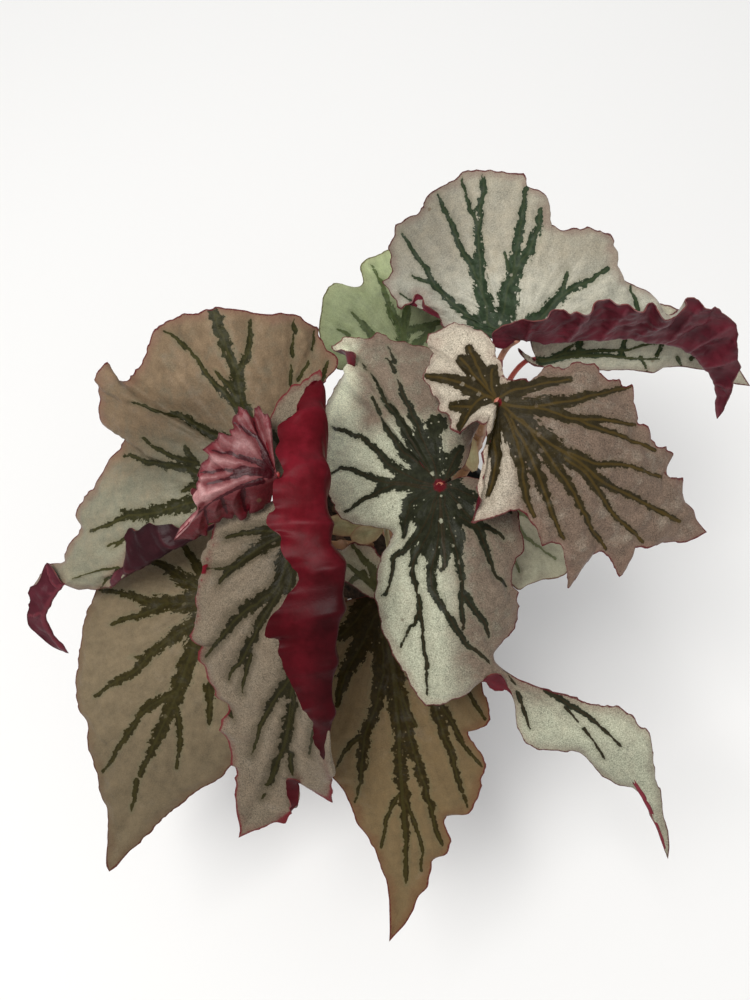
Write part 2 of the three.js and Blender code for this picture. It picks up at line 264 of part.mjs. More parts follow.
    halves: [
      { sign: 1, turn: 30, arch: 0.06, margin: [[-37.2,-45.7,275],[-35.7,-37.4,277],[-35,-26.2,280],[-34.4,-10.5,283],[-34.6,2.5,285],[-34.8,12.2,286],[-35.6,14,286],[-37.2,12.9,286],[-40.1,11.3,285.5],[-43.4,9,285],[-46.1,7.5,284.2],[-48,6.7,283.7],[-49.3,4.5,283],[-50.9,1.8,282.5],[-52.9,0.2,282],[-54.5,-2.9,280.8],[-54.8,-5.4,280],[-56.3,-7.9,280],[-57.6,-10.3,279.6],[-58.4,-13.6,279],[-57.7,-17.9,279],[-56.8,-22.2,279],[-55.6,-24.9,279],[-52.8,-29.5,278],[-49.3,-34.9,277],[-51.2,-37,276],[-57.9,-36.3,271],[-64.5,-36.4,268],[-70.3,-36,266],[-75.7,-38.2,264],[-77.7,-41.7,262],[-78.7,-45,260.5],[-80.1,-48,259],[-79.4,-51.1,257.8],[-81.5,-51.1,257.1],[-81.5,-54,256],[-84.8,-55.7,254.9],[-84.8,-58.3,254.1],[-82.8,-61.2,253],[-84.8,-63.4,252],[-85.1,-65.7,251.3],[-86.1,-69.4,250],[-85.3,-71.6,249.1],[-86,-76.8,247],[-86.4,-84.4,245],[-84.1,-85.8,243.8],[-82.2,-86,243],[-82.9,-87.8,242.2],[-83.6,-91,241],[-82,-93.6,239],[-79.7,-98,236.8],[-78.3,-101.8,235],[-76.6,-105.4,233.6],[-74.9,-105.7,233],[-73.2,-106.9,232.1],[-72.6,-109.4,231],[-74.7,-112.8,229.1],[-76.9,-116.6,227],[-74.6,-117.5,225.7],[-72.6,-119.9,224],[-72.3,-122.5,222.2],[-71.8,-125.6,220],[-72.1,-129.4,218.8],[-69.7,-129.8,218],[-68.9,-131,217.1],[-70.9,-133.9,215],[-70.3,-135.1,214.1],[-70.8,-141.6,210],[-70.3,-147.3,206],[-69,-153.2,202],[-70,-156.4,200]] },
      { sign: -1, turn: 32, arch: 0.02, margin: [[-35.9,-46.9,276],[-33.8,-41.5,282],[-33.3,-29.3,287],[-33.6,-10.2,291],[-34,0.6,295],[-34.5,2.8,298],[-37.1,1.1,300],[-39.5,-0.5,301],[-40.6,-4.1,301.7],[-41.7,-6.9,302.3],[-42.8,-10.4,303],[-42.7,-14.2,303],[-43.2,-15.9,303],[-47.4,-17.4,304],[-49.1,-19.5,304],[-49.6,-22.1,304],[-48.3,-24.8,304],[-49.4,-27.5,304],[-49.9,-30.1,304],[-48.3,-32.8,304],[-47.3,-35.4,304],[-46.1,-37.4,304],[-47.2,-39.4,304],[-49.6,-40,304],[-50.4,-42.6,304],[-50.6,-45.6,303.5],[-49.9,-49.2,303],[-49.3,-51.5,302.3],[-51.1,-52.5,301.7],[-52.2,-54.8,301],[-51.9,-56.7,301],[-49.7,-59.2,301],[-47.3,-59.8,301],[-46.2,-60.9,300.5],[-47.3,-62.5,299.8],[-47.6,-64.7,299],[-46.1,-67,298.3],[-44.4,-69.2,297.6],[-43.1,-71.5,297],[-41.4,-72.5,296.2],[-40.5,-75.1,295],[-42,-77.3,294.1],[-44.4,-79.4,293],[-46.2,-82,291.3],[-47.4,-84.1,290],[-49.3,-85,289],[-51.7,-87.5,287.7],[-52.3,-89.2,287],[-53.2,-92.5,284],[-50.7,-93.2,283],[-48.3,-94.2,282],[-48,-95.8,280.7],[-48.7,-97.9,279],[-47.3,-99.5,277.4],[-46.7,-102.7,275],[-45,-105.3,272.2],[-43.3,-108.5,269],[-42.1,-111.6,265.6],[-40.4,-114.8,262],[-38,-117.4,258.7],[-36.5,-118.4,257],[-36.9,-120.5,254.3],[-37.3,-123.2,251],[-36.4,-125.4,248.7],[-34.9,-126.5,247],[-34.6,-128.4,244.7],[-32.8,-130,242],[-31.5,-131.3,239.6],[-31.1,-134.7,235],[-30.4,-137,231],[-30.6,-139.8,227.2],[-30.5,-143.6,222],[-32.1,-143.2,221.7],[-35.6,-140.8,221],[-42,-137.7,220],[-43.3,-136.5,222],[-45.1,-135.6,225],[-48.3,-135.3,225],[-49.8,-139.3,219],[-48.3,-147,211],[-49.4,-148.9,209.2],[-50.2,-151.5,207],[-52,-150.8,207],[-55.2,-150.1,207],[-57.4,-151.7,205.8],[-61.1,-153.3,204],[-65.5,-153.8,202.2],[-70,-156.4,200]], rolls: [[3.5,0.5,0,0,0],[5,0.55,2.75,22.76,8.35],[8,0.6,6.36,20.38,5.97],[11,0.62,7.52,18.41,5.64],[14,0.64,12.37,12.28,5.44],[18,0.66,13.37,8.5,5.86],[24,0.66,14.49,3.17,6.86],[29,0.66,16.83,-2.63,7.84],[34,0.66,14.86,-4.96,7.75],[38,0.66,16.05,-2.59,7.83],[42,0.66,18.42,-3.31,8.93],[47,0.66,22.87,-1.31,10],[50.5,0.66,19.05,-2.97,8.87],[54,0.66,17.19,-3.19,7.31],[57,0.66,13.83,-2.97,7.47],[61,0.66,9.69,-4.19,6.42],[65,0.66,8.26,-5.52,4.89],[68,0.66,6.43,-4.88,4.34],[70,0.6,0,-0,0]] } ] },
  { name: "blade_young", thick: 1, grid: [10,7,3],
    midrib: [[-50.9,-31.3,286],[-56.2,-34.2,288],[-64.3,-37,288],[-73,-39.9,284],[-82.3,-44.1,276],[-87.8,-47.1,270],[-92.8,-49.3,264]],
    halves: [
      { sign: -1, turn: 3, arch: 0.04, margin: [[-50.5,-32.5,285],[-52.2,-34.1,283],[-53.2,-36.2,281],[-53.5,-38.3,279],[-55.9,-39.9,278],[-58.6,-41.2,277],[-62,-42.4,277],[-61.4,-39.3,276.4],[-63.3,-42.7,275.6],[-65.6,-43.9,275],[-68,-41.6,275],[-69.5,-42.4,275],[-71.7,-42.9,273],[-74.6,-43.9,271.3],[-76.7,-44.7,270],[-79.3,-45.6,268],[-79.9,-47.8,266],[-83.2,-47.3,264.8],[-84.4,-49.1,264],[-88,-48.3,264],[-92.8,-49.3,264]] },
      { sign: 1, turn: 17, arch: 0.08, margin: [[-51.7,-30.1,286],[-55.8,-25.8,287],[-56.8,-21,289],[-56.9,-17.8,291],[-55.4,-14.6,293],[-53,-12.9,295],[-54.3,-11.7,295.4],[-55.9,-9.9,296],[-57.4,-7.8,294.9],[-58.4,-7.9,294.2],[-59.1,-9.4,293],[-59.8,-11,294.1],[-61.2,-10.5,295.7],[-62,-9.7,297],[-63.8,-8.9,296.1],[-64.8,-10.1,295],[-66.8,-11.4,295.6],[-68.3,-12.4,296],[-67.3,-13.6,293.5],[-68.2,-15.1,291],[-69.7,-17.6,292.5],[-72,-18.7,294],[-73,-19.3,293.1],[-72.2,-19.9,292.1],[-74,-19.7,291],[-75.4,-19.7,291.5],[-76.5,-21.2,292.1],[-78.1,-23.4,293],[-75.8,-23.6,289.9],[-76.3,-24.9,288],[-78,-26.9,288],[-78,-28.3,288],[-80.3,-30,288.6],[-81.3,-31.9,289],[-79.8,-32,286.9],[-80,-33.2,285],[-81.5,-34.4,285.3],[-80.9,-36.5,285.6],[-83.3,-38.4,286],[-80.6,-38.8,283],[-79.1,-40.3,281],[-82.3,-41.6,277],[-85.6,-43.3,273],[-89.3,-45.1,269],[-91.2,-47.3,266],[-92.8,-49.3,264]] } ] },
  { name: "blade_front_left", thick: 1, grid: [8,12,3],
    midrib: [[-82.1,-57,207],[-87.6,-66.5,205],[-93,-73.9,202],[-98,-85.4,196],[-103.2,-97.9,189],[-109.7,-109.3,181],[-116.8,-121.9,173],[-122.9,-131.6,166],[-126.6,-144.5,158],[-131.6,-157.1,151],[-135.7,-168.4,146]],
    halves: [
      { sign: -1, turn: 4, arch: 0.06, margin: [[-79.9,-56.1,207],[-76.4,-52.7,208],[-71.1,-52.7,208],[-66.7,-56.7,206],[-64,-64.1,203],[-63.2,-73.1,199],[-63.6,-83,195],[-65.9,-93.6,190],[-69.4,-104.8,183],[-74,-115.4,174],[-79.3,-123.5,168],[-80.1,-123.9,167.7],[-83.9,-128,166],[-87.3,-130.4,164.6],[-91.8,-132.4,163],[-96.8,-134.4,161.5],[-100.7,-137.9,160],[-107.4,-143.5,157],[-111.4,-145.5,155.5],[-115.9,-150.5,153],[-119.3,-153.1,151.6],[-122.1,-156.6,150],[-126.5,-159.2,149],[-129.7,-162.8,148],[-132.3,-166.4,146.9],[-135.7,-168.4,146]] },
      { sign: 1, turn: 8, arch: 0.06, margin: [[-81.4,-54.2,207],[-81.2,-48.1,208],[-83,-39.6,208],[-87.7,-31.2,207],[-95.8,-23.7,205],[-105.7,-19.5,203],[-117.4,-19.9,200],[-129,-24.8,196],[-138.4,-34.3,192],[-143.6,-43.8,188],[-144.1,-49.7,187],[-146.8,-55,185.3],[-148.9,-59.2,184],[-149.9,-62.2,182.5],[-150.3,-67.3,180],[-151.1,-72.5,177.9],[-151.1,-79.7,175],[-153.1,-87,172],[-152.2,-91.2,170.5],[-151.8,-95.3,169],[-150.3,-99.7,168.6],[-146,-105.1,168],[-145.6,-110.3,166.2],[-145.3,-116.5,164],[-142.3,-123.8,162],[-140.8,-131.9,158],[-139.6,-136.1,156.7],[-136.7,-141.2,155],[-136.6,-150.4,151],[-136.9,-156.6,149],[-137.4,-165.8,146],[-135.7,-168.4,146]] } ] },
  { name: "blade_front", thick: 1, grid: [8,12,3],
    midrib: [[-11.6,-58.2,208],[-8.2,-79.7,206],[-6,-90.5,203],[-4.9,-101,199],[-3.7,-111.5,195],[-3.2,-126,189],[-2,-140.7,182],[-0.8,-158,172],[-1.4,-174.2,162],[-4,-186.6,154],[-7.5,-197.6,149]],
    halves: [
      { sign: -1, turn: 5, arch: 0.06, margin: [[-10.3,-56.4,208],[-7.2,-53,209],[-0.9,-49.8,209],[7.1,-50.2,209],[15.5,-54.1,208],[22.4,-61.1,207],[28,-71,205],[31.3,-82.1,203],[32.7,-91.2,200],[33.4,-96.9,198],[35.5,-100.6,197],[36.2,-107.1,195],[34.8,-109.8,194.6],[30.2,-110.8,194],[25.8,-111.8,193],[27.5,-115.4,191.1],[31,-118.4,189],[33.3,-122.6,186.9],[34.5,-126.8,185],[32.2,-131,183.4],[31.8,-135.3,182],[29.4,-141.5,178.9],[27.7,-145.2,177],[22.5,-145.6,177.5],[17.3,-146.4,178],[16,-147.9,177],[18,-152.1,174.8],[19.4,-155.8,173],[18.6,-159.5,171.3],[16.9,-162.1,170],[13,-162.6,168.8],[10.7,-164.2,168],[10.4,-170,166],[9,-174.8,163.4],[5.6,-178,161],[3.3,-184.3,158],[-0.6,-190.3,153],[-4.6,-194.6,150.7],[-7.5,-197.6,149]] },
      { sign: 1, turn: 6, arch: 0.06, margin: [[-12.5,-55.9,208],[-15.1,-55.5,208],[-17.3,-55.5,208],[-22.2,-56.5,207],[-25.8,-56.7,206],[-28.5,-58.7,205],[-32.9,-63.9,204],[-35.9,-73.9,202],[-37.6,-86.6,199],[-37.9,-99,195],[-37.5,-111.2,190],[-36.2,-121.2,185],[-32.5,-130.7,180],[-28.8,-133.8,178.2],[-25.4,-138.6,176],[-23.1,-144.4,173.4],[-20.8,-149.7,171],[-16.2,-155,168.6],[-13.9,-159.3,167],[-12.7,-163.6,164.9],[-9.9,-168.9,162],[-8.1,-173.2,159.9],[-7.5,-179.6,157],[-7.2,-190.3,152],[-7.5,-197.6,149]] } ] },
  { name: "blade_back", thick: 1, grid: [6,7,3],
    midrib: [[-0.5,63.8,222],[1.9,72.9,226],[4.7,80.8,231],[7.9,88.6,236],[12.1,97,240],[16.9,105.2,242]],
    halves: [
      { sign: -1, turn: 12, arch: 0.07, margin: [[-1.9,62.2,222],[-5.7,58.4,220],[-12.4,55.2,218],[-19.1,54.2,216],[-26.3,54.8,214],[-31.4,56.1,213],[-35,59.7,214],[-37.4,64.1,216],[-40.1,69.6,218],[-41,73.9,220],[-40.3,79.4,222],[-39.6,83.2,223.9],[-38.3,87.5,226],[-36.4,91,228.4],[-34.4,93,230],[-32.9,93.4,231],[-30.6,92.8,230.7],[-25.8,91.9,230],[-23.4,91.1,230],[-21,90.6,231.4],[-19,91.8,233],[-19,93.2,233.4],[-20.2,94.9,234.1],[-20.6,97.7,235],[-20,99.9,236.7],[-18.5,101,238],[-16.2,101.9,238.7],[-11.4,103,240],[-8.1,104.5,241],[-3.9,105.7,242],[0.8,106.1,243],[5.6,106.1,243],[11.2,105.6,243],[14,105,243],[16.9,105.2,242]] },
      { sign: 1, turn: 4, arch: 0.07, margin: [[0.9,62.2,222],[5.7,58.9,221],[12.3,57.9,221],[19.9,60.5,222],[25.6,65.9,224],[28.4,72.3,227],[28.4,80.8,231],[26.4,87.6,235],[23.5,94.5,238],[21.6,98.7,240],[20.2,101.9,241],[18.8,103.5,242],[17.9,104.6,242],[16.9,105.2,242]] } ] },
  { name: "blade_right_low", thick: 1, grid: [6,7,3],
    midrib: [[37.8,-4.7,206],[45.8,-15.5,208],[54.3,-24.5,206],[61.9,-30.4,202],[69.8,-35,197],[75.9,-38.7,192]],
    halves: [
      { sign: -1, turn: 2, arch: 0.06, margin: [[39.7,-3.7,206],[42.5,-0.1,207],[49,1.5,208],[57.3,0.5,208],[65.8,-2.7,206],[72.3,-7.9,204],[77,-14.8,201],[79.3,-22.6,198],[79.7,-28.8,196],[78.7,-34,194],[76.8,-37.6,193],[75.9,-38.7,192]] },
      { sign: 1, turn: 1, arch: 0.06, margin: [[36.3,-6.8,206],[33.8,-11.7,206],[34,-19.3,205],[36.2,-27.3,203],[40.3,-36,200],[45.8,-43.7,197],[50.9,-47.8,195],[52.9,-48.7,194],[55.4,-46.6,193.6],[59,-44.6,193],[63.7,-43,192.6],[70.7,-42,192],[74.9,-40.4,192],[75.9,-38.7,192]] } ] },
  { name: "blade_small_front", thick: 1, grid: [6,7,3],
    midrib: [[-12.1,-58.5,226],[-15.9,-54.3,228],[-20.2,-49.7,229],[-24.5,-45.3,228],[-28.5,-41.2,225],[-32.1,-38.3,222]],
    halves: [
      { sign: -1, turn: 2, arch: 0.06, margin: [[-10.8,-59.4,226],[-12.5,-61.5,224],[-15.9,-60.7,223],[-20.2,-57.3,222],[-23.7,-54.4,221],[-26.5,-52.5,221],[-29.8,-48.9,221],[-32.1,-44.4,221],[-33,-40.7,221],[-32.1,-38.3,222]] },
      { sign: 1, turn: 1, arch: 0.07, margin: [[-10.4,-57.2,226],[-8.3,-54,227],[-8.3,-49.3,229],[-10,-46,230],[-12.4,-44.2,231],[-13.4,-42.8,231],[-14.1,-41,231],[-15.4,-39.9,231],[-17.8,-38.8,231],[-19.9,-39.3,230.3],[-20.9,-39.2,230],[-22.3,-37.4,229.2],[-24.9,-38.1,228],[-25.8,-39.4,226.6],[-27.6,-40.2,225],[-29.9,-38.6,223],[-32.1,-38.3,222]] } ] },
  { name: "stipule_left", thick: 0.7, grid: [2,4,2],
    midrib: [[-19.9,-20,199],[-25.3,-20,203],[-29.9,-20.6,206],[-35.9,-20.9,204]],
    halves: [
      { sign: -1, turn: 1, arch: 0.1, margin: [[-20.3,-21.5,199],[-24.4,-24.9,201],[-29.8,-25.8,204],[-34,-24.8,204],[-35.9,-20.9,204]] },
      { sign: 1, turn: 1, arch: 0.1, margin: [[-20.3,-18,199],[-25.4,-15.8,203],[-30.8,-15.7,206],[-34.5,-16.8,205],[-35.9,-20.9,204]] } ] },
  { name: "stipule_centre", thick: 0.7, grid: [2,4,2],
    midrib: [[-10.1,-20.9,200],[-14.3,-22.8,204],[-17.9,-25.4,207],[-24.3,-28.2,204]],
    halves: [
      { sign: -1, turn: 1, arch: 0.1, margin: [[-10.6,-22.8,200],[-13.8,-27.8,203],[-17.9,-30.5,205],[-22,-29.9,204],[-24.3,-28.2,204]] },
      { sign: 1, turn: 1, arch: 0.1, margin: [[-11,-18.9,200],[-16.1,-19.8,205],[-22,-22.1,206],[-25.2,-25.6,205],[-24.3,-28.2,204]] } ] },
  { name: "stipule_right", thick: 0.7, grid: [2,4,2],
    midrib: [[33.6,9.9,197],[31.5,11,205],[30.3,13,214],[31,15.9,222]],
    halves: [
      { sign: -1, turn: 1, arch: 0.1, margin: [[32.6,9.3,197],[28.7,10.4,204],[27.6,13.5,213],[28.4,14.8,220],[31,15.9,222]] },
      { sign: 1, turn: 1, arch: 0.1, margin: [[35.1,10.4,197],[35.3,11.5,205],[34,13.5,214],[33,14.8,220],[31,15.9,222]] } ] },
];
for (const b of BLADES) add(b.name, blade(b), b.name.startsWith("stipule") ? "stipule" : "blade");

// ---- petioles: from a node of a cane to the underside of a blade's base ----
const PETIOLES = {
  petiole_front_left: { cane: "cane_left", path: [[-45.03,-12.86,159.17],[-45.97,-14.08,159.24],[-54.87,-23.61,170.64],[-63.23,-32.16,180.93],[-71.62,-41.44,191.64],[-78.22,-50.14,200.47],[-81.67,-56,205.37]], r: [1.95, 1.70, 1.62, 1.54, 1.46, 1.38, 1.30] },
  petiole_left: { cane: "cane_left", path: [[-51.12,-14.6,191.58],[-52.56,-15.26,191.85],[-55.64,-14.69,208.25],[-55.52,-12.58,223.65],[-55.33,-11.57,238.72],[-56.82,-13.62,249.31],[-59.46,-17.44,253.6]], r: [2.07, 1.80, 1.72, 1.64, 1.56, 1.48, 1.40] },
  petiole_rolled: { cane: "cane_left", path: [[-49.38,-17.7,215.87],[-48.81,-19.19,216.29],[-43.2,-26.1,231.27],[-38.38,-30.82,245.33],[-35.08,-36.05,259.21],[-34.88,-42.07,269.27],[-36.88,-47.15,273.67]], r: [1.95, 1.70, 1.62, 1.54, 1.46, 1.38, 1.30] },
  petiole_young: { cane: "cane_left", path: [[-51,-17.56,240.45],[-51.86,-21.22,248],[-55.49,-26.65,260],[-57.03,-29.93,271],[-56.29,-32.03,279],[-54.14,-31.94,283.2],[-50.81,-30,284.81]], r: [1.38, 1.20, 1.14, 1.08, 1.02, 0.96, 0.90] },
  petiole_front: { cane: "cane_centre", path: [[-4.9,-13.66,149.72],[-5.12,-15.24,150.08],[-7.22,-25.62,163.1],[-9.06,-34.01,176.12],[-10.62,-42.87,189.74],[-11.43,-51.32,200.62],[-11.48,-57.25,206.29]], r: [1.95, 1.70, 1.62, 1.54, 1.46, 1.38, 1.30] },
  petiole_small_front: { cane: "cane_centre", path: [[-8.63,-16.71,195.89],[-8.76,-18.3,196.33],[-7.72,-30.09,205.28],[-6.62,-41.62,210.43],[-6.57,-51.81,215.51],[-8.46,-57.42,220.58],[-11.19,-58.18,224.48]], r: [1.49, 1.30, 1.24, 1.18, 1.12, 1.06, 1.00] },
  petiole_centre: { cane: "cane_centre", path: [[-5.43,-15.01,232.45],[-4.2,-15.24,236.8],[-0.61,-16.04,243.5],[4.53,-17.73,250.87],[9.3,-20.44,257.76],[11.95,-23.92,263.24],[12.23,-26.86,266.35]], r: [1.95, 1.70, 1.62, 1.54, 1.46, 1.38, 1.30] },
  petiole_right_low: { cane: "cane_right", path: [[25.59,12.68,139.97],[26.5,11.36,140.46],[29.88,6.82,156.02],[31.41,4.95,170.84],[32.98,2.88,186.09],[35.19,-0.46,198.14],[37.44,-4.05,204.38]], r: [1.61, 1.40, 1.32, 1.24, 1.16, 1.08, 1.00] },
  petiole_back: { cane: "cane_right", path: [[26.8,20.74,165.13],[25.95,22.09,165.7],[17.25,34.59,178.63],[9.56,45.49,189.29],[3.02,55.44,201.03],[-0.3,62,212.35],[-0.46,64.38,220.21]], r: [1.72, 1.50, 1.42, 1.34, 1.26, 1.18, 1.10] },
  petiole_back_low: { cane: "cane_right", path: [[35.54,21.01,206.03],[36.6,22.2,206.55],[41.41,31.09,213.37],[46.02,39.85,219.49],[51.03,47.08,225.88],[55.77,50.05,231.35],[59,49.15,234.62]], r: [1.84, 1.60, 1.52, 1.44, 1.36, 1.28, 1.20] },
  petiole_back_right: { cane: "cane_right", path: [[35.43,20.11,224.34],[36.16,21.52,225.05],[37.84,28.41,233.86],[39.17,34.67,241.61],[41.08,39.97,249.55],[43.88,42.8,256.21],[46.57,43.18,260.1]], r: [2.07, 1.80, 1.72, 1.64, 1.56, 1.48, 1.40] },
  petiole_top_right: { cane: "cane_right", path: [[34,14.44,247.45],[33.64,13.4,253.57],[32.31,11.07,263.52],[30.58,7.43,274.85],[29.64,2.78,285.49],[30.37,-2.22,293.65],[32.09,-5.95,297.97]], r: [1.95, 1.70, 1.64, 1.58, 1.52, 1.46, 1.40] },
};
for (const [name, { cane, path, r }] of Object.entries(PETIOLES)) {
  const clear = solid(stem(CANES[cane], CANE_RADII[cane].map((a) => a + GAP + 0.1), 18, 10));
  add(name, geometryOf(solid(stem(path, r, 13, 8)).subtract(clear)), "petiole");
}

export default group;
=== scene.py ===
"""Potted angel wing begonia, finished look. Lengths in the tables are millimetres; the scene is in metres."""
import bpy
import math
import numpy as np
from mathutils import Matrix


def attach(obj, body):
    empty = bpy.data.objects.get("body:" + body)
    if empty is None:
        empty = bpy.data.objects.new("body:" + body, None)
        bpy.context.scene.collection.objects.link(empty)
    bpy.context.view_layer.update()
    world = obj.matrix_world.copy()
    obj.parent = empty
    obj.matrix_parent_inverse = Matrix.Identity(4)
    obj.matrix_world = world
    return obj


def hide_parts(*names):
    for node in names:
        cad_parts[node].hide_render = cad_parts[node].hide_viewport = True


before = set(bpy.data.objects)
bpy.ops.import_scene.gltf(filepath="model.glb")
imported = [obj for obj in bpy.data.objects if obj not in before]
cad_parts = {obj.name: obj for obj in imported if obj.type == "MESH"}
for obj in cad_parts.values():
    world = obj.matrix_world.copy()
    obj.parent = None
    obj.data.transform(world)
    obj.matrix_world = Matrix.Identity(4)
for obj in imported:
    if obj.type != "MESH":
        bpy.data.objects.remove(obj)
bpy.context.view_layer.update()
MM = 0.001

